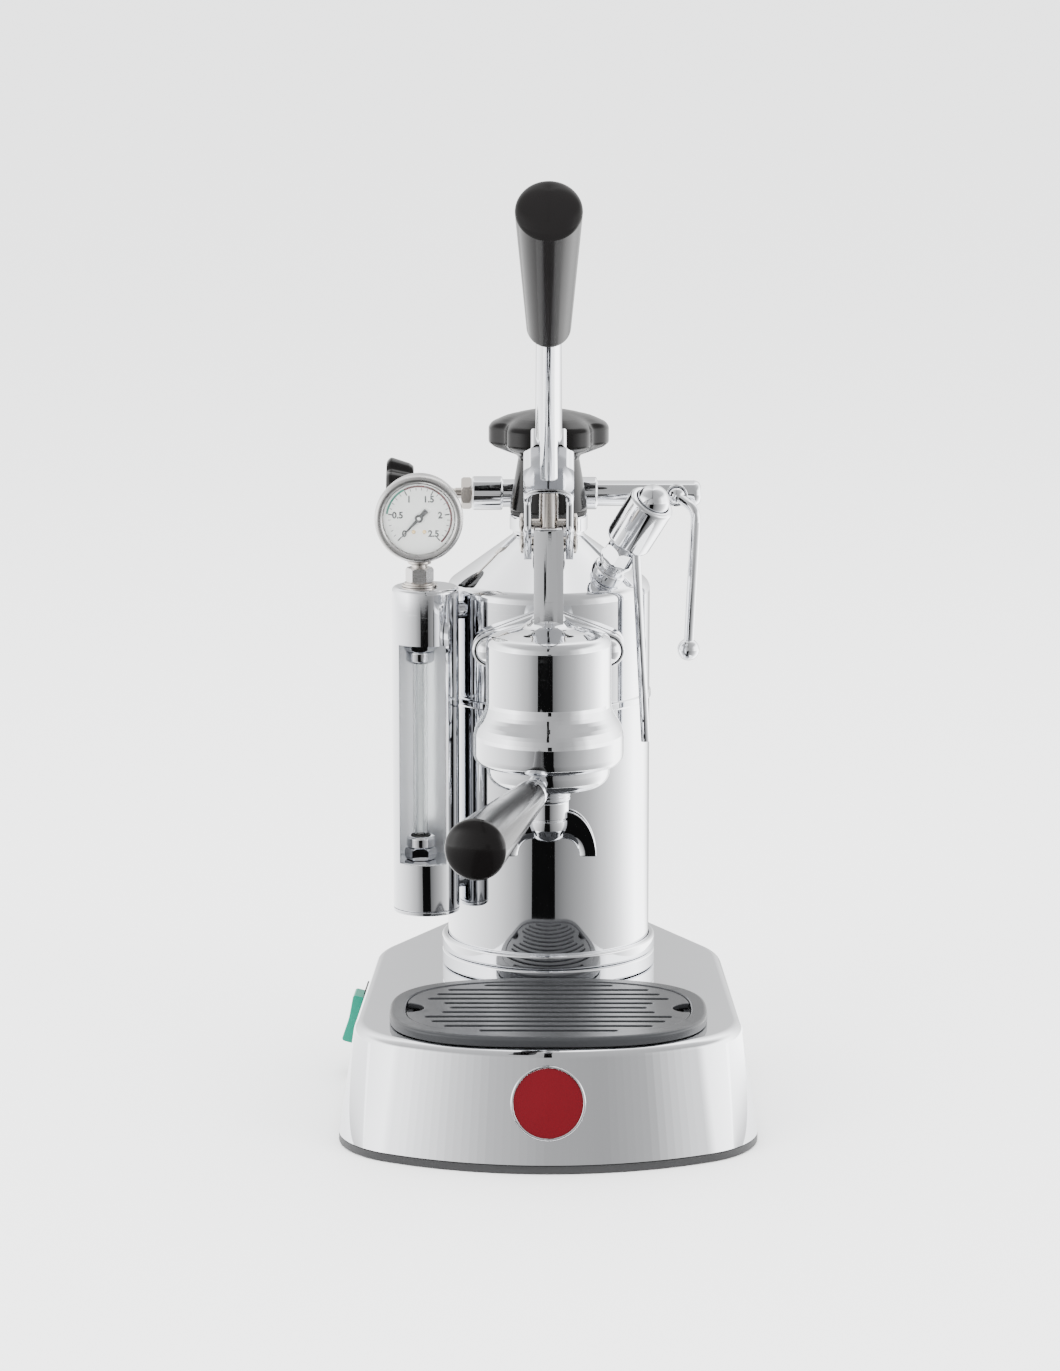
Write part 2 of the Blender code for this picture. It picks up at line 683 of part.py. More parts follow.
def loft(name, loops, finish=None, place=None):
    """Bridges closed loops of points in order and caps the first and the last."""
    body = bmesh.new()
    rings = [[body.verts.new(point) for point in loop] for loop in loops]
    count = len(rings[0])
    for lower, upper in zip(rings, rings[1:]):
        for i in range(count):
            j = (i + 1) % count
            body.faces.new((lower[i], lower[j], upper[j], upper[i]))
    body.faces.new(list(reversed(rings[0])))
    body.faces.new(rings[-1])
    bmesh.ops.recalc_face_normals(body, faces=body.faces)
    for face in body.faces:
        face.smooth = True
    mesh = bpy.data.meshes.new(name)
    body.to_mesh(mesh)
    body.free()
    mesh.set_sharp_from_angle(angle=math.radians(35))
    return add_object(name, mesh, finish, place)


def box(name, size, finish=None, place=None, edge=0.0):
    """A box about its own centre, with its edges rounded by a Bevel."""
    body = bmesh.new()
    bmesh.ops.create_cube(body, size=1.0)
    bmesh.ops.scale(body, vec=size, verts=body.verts)
    mesh = bpy.data.meshes.new(name)
    body.to_mesh(mesh)
    body.free()
    obj = add_object(name, mesh, finish, place)
    if edge:
        bevel = obj.modifiers.new("edge", "BEVEL")
        bevel.width = edge
        bevel.segments = 2
    return obj


def arc(centre, radius, start, end, steps):
    """Points on a circle from one angle to another."""
    return [
        (
            centre[0] + radius * math.cos(start + (end - start) * i / steps),
            centre[1] + radius * math.sin(start + (end - start) * i / steps),
        )
        for i in range(steps + 1)
    ]


def rounded_outline(corners, steps=CORNER_STEPS):
    """Rounds each (x, y, radius) corner of a polygon. Corners share a side that is too short."""
    count = len(corners)
    points = [Vector((x, y)) for x, y, _ in corners]
    halves = [(points[i - 1] - points[i]).angle(points[(i + 1) % count] - points[i]) / 2
              for i in range(count)]
    wanted = [corners[i][2] / math.tan(halves[i]) for i in range(count)]
    outline = []
    for i, here in enumerate(points):
        before = points[i - 1] - here
        after = points[(i + 1) % count] - here
        reach = wanted[i]
        for side, neighbour in ((before, wanted[i - 1]), (after, wanted[(i + 1) % count])):
            if reach + neighbour > side.length:
                reach = min(reach, side.length * wanted[i] / (wanted[i] + neighbour) * 0.999)
        if reach < GAP / 10:
            outline.append((here.x, here.y))
            continue
        bisector = (before.normalized() + after.normalized()).normalized()
        centre = here + bisector * reach / math.cos(halves[i])
        first = here + before.normalized() * reach - centre
        last = here + after.normalized() * reach - centre
        start = math.atan2(first.y, first.x)
        sweep = math.remainder(math.atan2(last.y, last.x) - start, 2 * math.pi)
        outline += arc(centre, first.length, start, start + sweep, steps)
    return outline


def stadium(half_length, radius, steps=3):
    """A slot outline along X with round ends."""
    right = arc((half_length, 0.0), radius, -QUARTER_TURN, QUARTER_TURN, steps)
    left = arc((-half_length, 0.0), radius, QUARTER_TURN, 3 * QUARTER_TURN, steps)
    return right + left


def hexagon(radius):
    return [(radius * math.cos(i * math.pi / 3), radius * math.sin(i * math.pi / 3)) for i in range(6)]


def hex_block(purpose, radius, low, high, place=None):
    """A six-sided helper between two heights, measured over its corners."""
    centre = at(z=(low + high) / 2)
    return plate(helper_name(purpose), [hexagon(radius)], high - low, None,
                 place @ centre if place else centre)


# Base


def base_outline():
    """The base's plan at the floor: a broad front arc, slanting sides and a narrow tail."""
    run_out = BASE_FRONT_ARC * (1 / math.cos(BASE_FRONT_SWEEP) - 1)
    apex = -(BASE_FRONT + run_out)
    corner = apex + BASE_HALF_WIDTH * math.tan(BASE_FRONT_SWEEP)
    shoulder = BASE_HALF_WIDTH - BASE_SHOULDER_IN
    right = [
        (BASE_HALF_WIDTH, corner, BASE_CORNER_RADIUS),
        (shoulder, BASE_SHOULDER_BACK, BASE_SHOULDER_RADIUS),
        (BASE_TAIL_HALF_WIDTH, BASE_TAIL_BACK, BASE_TAIL_RADIUS),
    ]
    left = [(-x, y, radius) for x, y, radius in reversed(right)]
    return rounded_outline([(0.0, apex, BASE_FRONT_ARC), *right, *left], steps=4)


def base_level(z, inset=0.0):
    """The base's outline at a height, drawn in by its draft and by an inset."""
    rise = (z - PAN_HEIGHT) / (BASE_HEIGHT - PAN_HEIGHT)
    middle = (BASE_TAIL_BACK - BASE_FRONT) / 2
    half_length = (BASE_TAIL_BACK + BASE_FRONT) / 2
    across = 1 - (BASE_SIDE_DRAFT * max(rise, 0.0) + inset) / BASE_HALF_WIDTH
    along = 1 - (BASE_END_DRAFT * max(rise, 0.0) + inset) / half_length
    return [(x * across, middle + (y - middle) * along, z) for x, y in base_outline()]


def base_wall_half_width(z):
    """Half the base's width beside the boiler axis, at a height."""
    rise = (z - PAN_HEIGHT) / (BASE_HEIGHT - PAN_HEIGHT)
    run_out = BASE_FRONT_ARC * (1 / math.cos(BASE_FRONT_SWEEP) - 1)
    corner = BASE_HALF_WIDTH * math.tan(BASE_FRONT_SWEEP) - BASE_FRONT - run_out
    share = -corner / (BASE_SHOULDER_BACK - corner)
    width = BASE_HALF_WIDTH - BASE_SHOULDER_IN * share
    return width * (1 - BASE_SIDE_DRAFT * rise / BASE_HALF_WIDTH)


def base_end_y(z, end):
    """The front (-1) or rear (1) of the base at a height."""
    rise = (z - PAN_HEIGHT) / (BASE_HEIGHT - PAN_HEIGHT)
    reach = BASE_TAIL_BACK if end > 0 else BASE_FRONT
    return end * (reach - BASE_END_DRAFT * rise)


SIDE_LEAN = math.atan2(BASE_SIDE_DRAFT, BASE_HEIGHT - PAN_HEIGHT)
END_LEAN = math.atan2(BASE_END_DRAFT, BASE_HEIGHT - PAN_HEIGHT)
SIDE_TAPER = math.atan2(
    BASE_SHOULDER_IN,
    BASE_SHOULDER_BACK + BASE_FRONT + BASE_FRONT_ARC * (1 / math.cos(BASE_FRONT_SWEEP) - 1)
    - BASE_HALF_WIDTH * math.tan(BASE_FRONT_SWEEP),
)


def wall_place_left(z):
    """A frame on the left wall: +Z points out of it and +Y up it."""
    return (
        at(x=-base_wall_half_width(z), z=z)
        @ turn_z(-SIDE_TAPER)
        @ turn_y(-QUARTER_TURN + SIDE_LEAN)
        @ turn_z(-QUARTER_TURN)
    )


def wall_place_right(z):
    """A frame on the right wall: +Z points out of it."""
    return at(x=base_wall_half_width(z), z=z) @ turn_z(SIDE_TAPER) @ turn_y(QUARTER_TURN - SIDE_LEAN)


def wall_place_rear(z):
    return at(y=base_end_y(z, 1), z=z) @ turn_x(-QUARTER_TURN + END_LEAN)


def wall_place_front(z):
    return at(y=base_end_y(z, -1), z=z) @ turn_x(QUARTER_TURN - END_LEAN)


def tray_outline(inset, z):
    """The tray's rounded plan, a superellipse, drawn in by an inset."""
    half_width = TRAY_HALF_WIDTH - inset
    half_depth = TRAY_DEPTH / 2 - inset
    power = 2 / TRAY_ROUNDNESS
    loop = []
    for i in range(TRAY_POINTS):
        angle = 2 * math.pi * i / TRAY_POINTS
        c, s = math.cos(angle), math.sin(angle)
        x = math.copysign(abs(c) ** power, c) * half_width
        y = math.copysign(abs(s) ** power, s) * half_depth
        loop.append((x, TRAY_CENTRE_Y + y, z))
    return loop


TRAY_INNER_INSET = TRAY_RIM_WIDTH + TRAY_LEDGE
TRAY_OUTER_INSET = TRAY_INNER_INSET - TRAY_WALL


def switch_hole():
    wall = wall_place_left(SWITCH_HEIGHT)
    size = (
        SWITCH_WIDE - 2 * SWITCH_BORDER + 2 * (SWITCH_WALL + GAP),
        SWITCH_TALL - 2 * SWITCH_BORDER + 2 * (SWITCH_WALL + GAP),
        2 * (BASE_SHEET + OVERRUN),
    )
    return box(helper_name("switch_hole"), size, None, wall)


def base_shell():
    """An open sheet over the pan, with a rounded top edge and holes for what passes through."""
    body = bmesh.new()
    levels = [base_level(PAN_HEIGHT + GAP)]
    for i in range(CORNER_STEPS + 1):
        lift = BASE_EDGE_RADIUS * math.sin(QUARTER_TURN * i / CORNER_STEPS)
        inset = BASE_EDGE_RADIUS * (1 - math.cos(QUARTER_TURN * i / CORNER_STEPS))
        levels.append(base_level(BASE_HEIGHT - BASE_EDGE_RADIUS + lift, inset))
    rings = [[body.verts.new(point) for point in loop] for loop in levels]
    for lower, upper in zip(rings, rings[1:]):
        for i in range(len(lower)):
            j = (i + 1) % len(lower)
            body.faces.new((lower[i], lower[j], upper[j], upper[i])).smooth = True
    body.faces.new(rings[-1])
    mesh = bpy.data.meshes.new("base_shell")
    body.to_mesh(mesh)
    body.free()
    shell = add_object("base_shell", mesh, "chrome")
    sheet = shell.modifiers.new("sheet", "SOLIDIFY")
    sheet.thickness = BASE_SHEET
    sheet.offset = -1.0
    sheet.use_even_offset = True
    well = loft(
        helper_name("tray_well"),
        [
            tray_outline(TRAY_OUTER_INSET - GAP, BASE_HEIGHT - BASE_SHEET - OVERRUN),
            tray_outline(TRAY_OUTER_INSET - GAP, BASE_HEIGHT + OVERRUN),
        ],
    )
    stub = bore("stub_hole", STUB_RADIUS + GAP, BASE_HEIGHT - BASE_SHEET - OVERRUN, BASE_HEIGHT + OVERRUN,
                None, FINE_STEPS)
    lamp_depth = BASE_SHEET + OVERRUN
    lamp = bore("lamp_hole", LAMP_BODY_RADIUS + GAP, -lamp_depth, lamp_depth, wall_place_right(LAMP_HEIGHT))
    gland = bore("gland_hole", GLAND_RADIUS + GAP, -lamp_depth, lamp_depth, wall_place_rear(GLAND_HEIGHT))
    return cut(shell, well, stub, switch_hole(), lamp, gland)


def base_pan():
    """The black pan that closes the base and shows as a strip at the floor."""
    lip_inset = BASE_SHEET + 2 * GAP
    levels = [
        base_level(0.0, PAN_EDGE),
        base_level(PAN_EDGE, 0.0),
        base_level(PAN_HEIGHT, 0.0),
        base_level(PAN_HEIGHT, lip_inset),
        base_level(PAN_HEIGHT + PAN_LIP_RISE, lip_inset),
        base_level(PAN_HEIGHT + PAN_LIP_RISE, lip_inset + PAN_LIP_WALL),
        base_level(PAN_FLOOR, lip_inset + PAN_LIP_WALL + BASE_SIDE_DRAFT / 4),
    ]
    return loft("base_pan", levels, "matte_black")


def badge():
    """A plain round badge with a raised rim."""
    face = BADGE_THICKNESS + GAP
    profile = [
        (0.0, face),
        (BADGE_RADIUS - BADGE_RIM, face),
        (BADGE_RADIUS - BADGE_RIM, face + BADGE_RIM_RISE),
        (BADGE_RADIUS, face + BADGE_RIM_RISE),
        (BADGE_RADIUS, GAP),
        (0.0, GAP),
    ]
    return turned("badge", profile, "red_enamel", wall_place_front(BADGE_HEIGHT), FINE_STEPS)


def switch_frame():
    """The switch's flange outside the wall and its open box through it."""
    opening_wide = SWITCH_WIDE - 2 * SWITCH_BORDER
    opening_tall = SWITCH_TALL - 2 * SWITCH_BORDER
    wall = wall_place_left(SWITCH_HEIGHT)
    flange = box(
        "switch_frame",
        (SWITCH_WIDE, SWITCH_TALL, SWITCH_FLANGE),
        "matte_black",
        wall @ at(z=GAP + SWITCH_FLANGE / 2),
        SWITCH_CORNER / 2,
    )
    length = SWITCH_DEPTH + GAP + SWITCH_FLANGE / 2
    size = (opening_wide + 2 * SWITCH_WALL, opening_tall + 2 * SWITCH_WALL, length)
    shell = box(helper_name("switch_box"), size, None, wall @ at(z=GAP + SWITCH_FLANGE / 2 - length / 2))
    depth = SWITCH_DEPTH - SWITCH_WALL + SWITCH_FLANGE + OVERRUN
    hollow_place = wall @ at(z=GAP + SWITCH_FLANGE + OVERRUN - depth / 2)
    hollow = box(helper_name("switch_hollow"), (opening_wide, opening_tall, depth), None, hollow_place)
    return cut(join(flange, shell), hollow)


def switch_rocker():
    """The rocker, cut from a side outline, with its hinge axis across the switch."""
    half_tall = SWITCH_TALL / 2 - SWITCH_BORDER - ROCKER_PLAY
    outline = rounded_outline(
        [
            (-ROCKER_ROOT, -half_tall, SWITCH_CORNER),
            (ROCKER_REACH, -half_tall, SWITCH_CORNER),
            (ROCKER_REACH - ROCKER_DIP, 0.0, 4 * SWITCH_CORNER),
            (ROCKER_REACH, half_tall, SWITCH_CORNER),
            (-ROCKER_ROOT, half_tall, SWITCH_CORNER),
        ]
    )
    wide = SWITCH_WIDE - 2 * SWITCH_BORDER - 2 * GAP
    place = wall_place_left(SWITCH_HEIGHT) @ turn_x(ROCKER_TILT) @ turn_y(-QUARTER_TURN)
    return plate("switch_rocker", [outline], wide, "green_plastic", place)


def pilot_lamp():
    profile = [
        (0.0, GAP + LAMP_RISE),
        (LAMP_RADIUS - LAMP_RISE, GAP + LAMP_RISE),
        (LAMP_RADIUS, GAP + LAMP_RISE / 2),
        (LAMP_RADIUS, GAP),
        (LAMP_BODY_RADIUS, GAP),
        (LAMP_BODY_RADIUS, -LAMP_DEPTH),
        (0.0, -LAMP_DEPTH),
    ]
    return turned("pilot_lamp", profile, "lamp_amber", wall_place_right(LAMP_HEIGHT), SMALL_STEPS)


def cord_gland():
    """The moulded gland that the mains lead leaves by, with its bore open."""
    profile = [
        (GLAND_RADIUS, GAP + GLAND_FLANGE),
        (GLAND_FLANGE_RADIUS, GAP + GLAND_FLANGE / 2),
        (GLAND_FLANGE_RADIUS, GAP),
        (GLAND_RADIUS, GAP),
        (GLAND_RADIUS, -GLAND_DEPTH),
        (GLAND_BORE, -GLAND_DEPTH),
        (GLAND_BORE, GAP + GLAND_FLANGE),
    ]
    return turned("cord_gland", profile, "matte_black", wall_place_rear(GLAND_HEIGHT), SMALL_STEPS, ring=True)


def pressure_switch():
    """The pressure switch's case on the pan floor, with its round port on top."""
    centre = at(y=PRESSURE_BACK, z=PAN_FLOOR + GAP + PRESSURE_BOX_TALL / 2)
    size = (PRESSURE_BOX, PRESSURE_BOX_DEEP, PRESSURE_BOX_TALL)
    case = box("pressure_switch", size, "matte_black", centre, PRESSURE_BOX_EDGE)
    top = PRESSURE_BOX_TALL / 2
    port = cylinder("pressure_port", PRESSURE_NECK_RADIUS, 0.0, top + PRESSURE_NECK_RISE, centre, PIN_STEPS)
    return join(case, port)


# Drip tray


def drip_tray():
    """A basin under a flat rim, with a ledge inside that the grille lies on."""
    floor_z = TRAY_FOOT_Z - TRAY_BASIN + TRAY_FLOOR
    ledge_z = GRILLE_FOOT_Z - GAP
    levels = [
        tray_outline(TRAY_INNER_INSET + TRAY_DRAFT, floor_z),
        tray_outline(TRAY_INNER_INSET, ledge_z),
        tray_outline(TRAY_RIM_WIDTH, ledge_z),
        tray_outline(TRAY_RIM_WIDTH, TRAY_TOP_Z),
        tray_outline(TRAY_EDGE, TRAY_TOP_Z),
        tray_outline(0.0, TRAY_TOP_Z - TRAY_EDGE),
        tray_outline(0.0, TRAY_FOOT_Z),
        tray_outline(TRAY_OUTER_INSET, TRAY_FOOT_Z),
        tray_outline(TRAY_OUTER_INSET + TRAY_DRAFT, TRAY_FOOT_Z - TRAY_BASIN),
    ]
    return loft("drip_tray", levels, "tray_grey")


def slot_outline(index):
    """One of the grille's slots, each as long as its share of the half width."""
    reach = TRAY_HALF_WIDTH * SLOT_REACH_SHARES[index] - SLOT_WIDTH / 2
    y = TRAY_CENTRE_Y + (len(SLOT_REACH_SHARES) // 2 - index) * SLOT_PITCH
    return [(x, y + dy) for x, dy in stadium(reach, SLOT_WIDTH / 2, steps=2)]


def drip_grille():
    """The slotted plate in the tray, with a finger notch at each side."""
    edge = [(x, y) for x, y, _ in tray_outline(TRAY_RIM_WIDTH + GAP, 0.0)]
    slots = [slot_outline(i) for i in range(len(SLOT_REACH_SHARES))]
    middle = at(z=GRILLE_FOOT_Z + GRILLE_THICKNESS / 2)
    grille = plate("drip_grille", [edge, *slots], GRILLE_THICKNESS, "tray_grey", middle)
    half_width = TRAY_HALF_WIDTH - TRAY_RIM_WIDTH - GAP
    for side in (-1, 1):
        place = at(side * half_width, TRAY_CENTRE_Y)
        low = GRILLE_FOOT_Z - OVERRUN
        notch = bore("notch", NOTCH_RADIUS, low, TRAY_TOP_Z + OVERRUN, place, SMALL_STEPS)
        cut(grille, notch)
    return grille


# Boiler


def boiler_surface(inset):
    """The boiler's outer line, or a line drawn in by the wall, from the cone to the foot."""
    cone_run = inset * (math.hypot(1.0, CONE_SLOPE) - 1) / CONE_SLOPE if inset else 0.0
    edge = BOILER_SHOULDER_EDGE
    return [
        (NECK_RADIUS - inset, CONE_TOP_Z - cone_run * CONE_SLOPE),
        (BOILER_RADIUS - inset - edge, BOILER_SHOULDER_Z + edge * CONE_SLOPE - inset),
        (BOILER_RADIUS - inset - edge / 4, BOILER_SHOULDER_Z - inset),
        (BOILER_RADIUS - inset, BOILER_SHOULDER_Z - edge - inset),
    ]


def group_pad_outline(offset=0.0):
    """The two-bolt flange: a round middle with an ear at each side."""
    ear = GROUP_EAR_RADIUS + offset
    middle = GROUP_FLANGE_RADIUS + offset
    lean = math.asin((middle - ear) / BOLT_HALF_SPAN)
    right = arc((BOLT_HALF_SPAN, 0.0), ear, lean - QUARTER_TURN, QUARTER_TURN - lean, 6)
    top = arc((0.0, 0.0), middle, QUARTER_TURN - lean, QUARTER_TURN + lean, 4)
    left = [(-x, -y) for x, y in right]
    bottom = [(-x, -y) for x, y in top]
    return right + top + left + bottom


def valve_frame():
    """The safety valve's axis: it stands square to the cone, front and right of the neck."""
    cone_z = BOILER_SHOULDER_Z + (BOILER_RADIUS - VALVE_RING) * CONE_SLOPE
    lean = math.atan(CONE_SLOPE)
    return turn_z(-VALVE_AZIMUTH) @ at(x=VALVE_RING, z=cone_z) @ turn_y(lean)


def sight_arm_place(z):
    """A frame at the sight column with +Z towards the boiler's axis."""
    return at(-SIGHT_LEFT, -SIGHT_FRONT, z) @ turn_z(SIGHT_HEADING) @ TO_RIGHT


SIGHT_ARM_Z = (SIGHT_FOOT_Z + FITTING_FLANGE + FITTING_HEIGHT / 2,
               SIGHT_TOP_Z - GUARD_ROOF - FITTING_HEIGHT / 2)


def boiler_shell():
    """The pressed boiler: cylinder, seam band, cone and filler neck, with its pads and ports."""
    collar_foot = NECK_TOP_Z - NECK_COLLAR_HEIGHT
    profile = [
        (0.0, NECK_TOP_Z),
        (NECK_COLLAR_RADIUS - RING_EDGE, NECK_TOP_Z),
        (NECK_COLLAR_RADIUS, NECK_TOP_Z - RING_EDGE),
        (NECK_COLLAR_RADIUS, collar_foot + RING_EDGE),
        (NECK_RADIUS, collar_foot),
        *boiler_surface(0.0),
        (BOILER_RADIUS, SEAM_Z + SEAM_HEIGHT),
        (BOILER_RADIUS + SEAM_RISE, SEAM_Z + SEAM_HEIGHT - SEAM_RISE),
        (BOILER_RADIUS + SEAM_RISE, SEAM_Z + SEAM_RISE),
        (BOILER_RADIUS, SEAM_Z),
        (BOILER_RADIUS, BOILER_FOOT_Z),
        (0.0, BOILER_FOOT_Z),
    ]
    shell = turned("boiler_shell", profile, "chrome", None, FINE_STEPS)
    pad_back = -BOILER_INNER * math.cos(math.asin(min(BOLT_HALF_SPAN / BOILER_INNER, 0.9)))
    pad_thickness = pad_back - GROUP_PAD_Y
    pad_place = at(y=(pad_back + GROUP_PAD_Y) / 2, z=GROUP_NECK_Z) @ TO_FRONT
    pad = plate(helper_name("group_pad"), [group_pad_outline()], pad_thickness, None, pad_place)
    tap_boss_place = at(y=TAP_BACK)
    tap_boss_foot = BOILER_SHOULDER_Z - BOILER_WALL
    tap_boss = cylinder("tap_boss", TAP_BOSS_RADIUS, tap_boss_foot, TAP_BOSS_TOP_Z, tap_boss_place)
    valve = valve_frame()
    valve_boss = cylinder("valve_boss", VALVE_BOSS_RADIUS, -VALVE_BOSS_RADIUS, VALVE_BOSS_RISE, valve)
    join(shell, pad, tap_boss, valve_boss)
    inner = [(0.0, NECK_TOP_Z + OVERRUN), (NECK_BORE, NECK_TOP_Z + OVERRUN)]
    inner.append((NECK_BORE, CONE_TOP_Z - BOILER_WALL + (NECK_RADIUS - BOILER_WALL - NECK_BORE) * CONE_SLOPE))
    inner += boiler_surface(BOILER_WALL)[1:]
    inner += [(BOILER_INNER, BOILER_FOOT_Z - OVERRUN), (0.0, BOILER_FOOT_Z - OVERRUN)]
    hollow = turned_helper("boiler_hollow", inner, None, FINE_STEPS)
    cut(shell, hollow)
    bolt_depth = GROUP_FLANGE_Y + BOLT_BITE + GROUP_GASKET + 3 * GAP
    for side in (-1, 1):
        place = at(side * BOLT_HALF_SPAN, 0.0, GROUP_NECK_Z) @ TO_FRONT
        cut(shell, bore("pad_bolt_hole", BOLT_RADIUS + GAP, -bolt_depth, GROUP_REACH, place, PIN_STEPS))
    waterway = at(z=GROUP_NECK_Z) @ TO_FRONT
    cut(shell, bore("dip_hole", DIP_TUBE_RADIUS + GAP, BOILER_RADIUS / 2, GROUP_REACH, waterway, PIN_STEPS))
    spigot_foot = TAP_BOSS_TOP_Z - CONE_TOP_Z / 4
    cut(shell, bore("tap_port", SPIGOT_RADIUS + GAP, spigot_foot, NECK_TOP_Z, tap_boss_place, PIN_STEPS))
    cut(shell, bore("valve_port", VALVE_SPIGOT_RADIUS + GAP, -2 * VALVE_BOSS_RADIUS, VALVE_RADIUS, valve,
                    PIN_STEPS))
    for z in SIGHT_ARM_Z:
        reach = SIGHT_DISTANCE - BOILER_RADIUS / 2
        cut(shell, bore("sight_port", FITTING_ARM_RADIUS + GAP, 0.0, reach, sight_arm_place(z), PIN_STEPS))
    return shell


def boiler_lower_ring():
    """The foot ring, clamped to the base, that the element plate and the boiler sit in."""
    outer = BOILER_RADIUS + RING_REACH
    profile = tube_profile(outer, BOILER_RADIUS + GAP, RING_BASE_Z, LOWER_RING_TOP_Z, RING_EDGE)
    return turned("boiler_lower_ring", profile, "chrome", None, FINE_STEPS, ring=True)


def boiler_upper_ring():
    outer = BOILER_RADIUS + RING_REACH
    profile = tube_profile(outer, BOILER_RADIUS + GAP, LOWER_RING_TOP_Z + GAP, UPPER_RING_TOP_Z, RING_EDGE)
    return turned("boiler_upper_ring", profile, "chrome", None, FINE_STEPS, ring=True)


def boiler_gasket():
    low = PLATE_TOP_Z + GAP
    profile = tube_profile(BOILER_RADIUS - GAP, BOILER_RADIUS - RING_SEAT, low, low + BOILER_GASKET)
    return turned("boiler_gasket", profile, "rubber", None, FINE_STEPS, ring=True)


def heater_route():
    """Up from the plate, over in a half circle and down again."""
    top = PLATE_TOP_Z + HEATER_RISE
    over = [
        (HEATER_HALF_SPAN * math.cos(math.pi * i / HEATER_POINTS), 0.0,
         top + HEATER_HALF_SPAN * math.sin(math.pi * i / HEATER_POINTS))
        for i in range(HEATER_POINTS + 1)
    ]
    foot = PLATE_TOP_Z - ELEMENT_PLATE / 2
    return [(HEATER_HALF_SPAN, 0.0, foot), *over, (-HEATER_HALF_SPAN, 0.0, foot)]


def heating_element():
    """The boiler's bottom plate with its threaded stub, heater rod and terminals."""
    stub_foot = BASE_HEIGHT - BASE_SHEET - STUB_DROP
    profile = [
        (0.0, PLATE_TOP_Z),
        (BOILER_RADIUS - GAP, PLATE_TOP_Z),
        (BOILER_RADIUS - GAP, RING_BASE_Z),
        (STUB_RADIUS, RING_BASE_Z),
        (STUB_RADIUS, stub_foot),
        (0.0, stub_foot),
    ]
    plate_body = turned("heating_element", profile, "brass", None, FINE_STEPS)
    rod = wire(helper_name("heater_rod"), heater_route(), HEATER_ROD_RADIUS, resolution=1)
    join(plate_body, rod)
    for side in (-1, 1):
        place = at(side * HEATER_HALF_SPAN)
        low = stub_foot - TERMINAL_DROP
        join(plate_body, cylinder("terminal", TERMINAL_RADIUS, low, stub_foot + ELEMENT_PLATE, place,
                                  PIN_STEPS))
    return plate_body


def boiler_ring_nut():
    """The nut under the base sheet that pulls the boiler down on it."""
    top = BASE_HEIGHT - BASE_SHEET - GAP
    profile = tube_profile(RING_NUT_RADIUS, STUB_RADIUS + GAP, top - RING_NUT_HEIGHT, top, RING_EDGE)
    return turned("boiler_ring_nut", profile, "brass", None, FINE_STEPS, ring=True)


# Group


def bell_profile():
    """The bell's outer line from the foot of the post to the lip."""
    flare_z = CAVITY_TOP_Z + SKIRT_ROOF
    step = SKIRT_RADIUS - BELL_RADIUS
    post_foot = POST_FRONT + POST_FLARE
    dome_z = BELL_TOP_Z + BELL_DOME_RISE
    return [
        (0.0, dome_z + POST_FLARE_RISE),
        (POST_WIDTH / 2, dome_z + POST_FLARE_RISE),
        (POST_FRONT, dome_z + POST_FLARE_RISE / 3),
        (post_foot, dome_z),
        (BELL_RADIUS * 2 / 3, BELL_TOP_Z + BELL_DOME_RISE * 2 / 3),
        (BELL_RADIUS - BELL_SHOULDER, BELL_TOP_Z + BELL_SHOULDER / 3),
        (BELL_RADIUS - BELL_SHOULDER / 4, BELL_TOP_Z - BELL_SHOULDER / 2),
        (BELL_RADIUS, BELL_TOP_Z - 1.5 * BELL_SHOULDER),
        (BELL_RADIUS, flare_z + SKIRT_FLARE),
        (BELL_RADIUS + step * 0.2, flare_z + SKIRT_FLARE * 0.65),
        (BELL_RADIUS + step * 0.8, flare_z + SKIRT_FLARE * 0.2),
        (SKIRT_RADIUS, flare_z - SKIRT_FLARE * 0.15),
        (SKIRT_RADIUS, GROUP_LIP_Z + SKIRT_TUCK),
        (SKIRT_RADIUS - SKIRT_WALL / 2, GROUP_LIP_Z + SKIRT_TUCK / 3),
        (PORTAFILTER_RADIUS + 2 * LIP_PLAY + LIP_WIDTH, GROUP_LIP_Z),
        (0.0, GROUP_LIP_Z),
    ]


def bell_hollow():
    """The bore for the sleeve, the cavity for the portafilter's wings and the lip's opening."""
    flats = 1 / math.cos(math.pi / FINE_STEPS)
    mouth = (PORTAFILTER_RADIUS + LIP_PLAY) * flats
    cavity = CAVITY_RADIUS * flats
    sleeve = (SLEEVE_OUTER + GAP) * flats
    profile = [
        (0.0, BORE_TOP_Z),
        (sleeve, BORE_TOP_Z),
        (sleeve, CAVITY_TOP_Z),
        (cavity, CAVITY_TOP_Z),
        (cavity, LIP_TOP_Z),
        (mouth, LIP_TOP_Z),
        (mouth, GROUP_LIP_Z - OVERRUN),
        (0.0, GROUP_LIP_Z - OVERRUN),
    ]
    return turned_helper("bell_hollow", profile, at(y=-GROUP_REACH), FINE_STEPS)


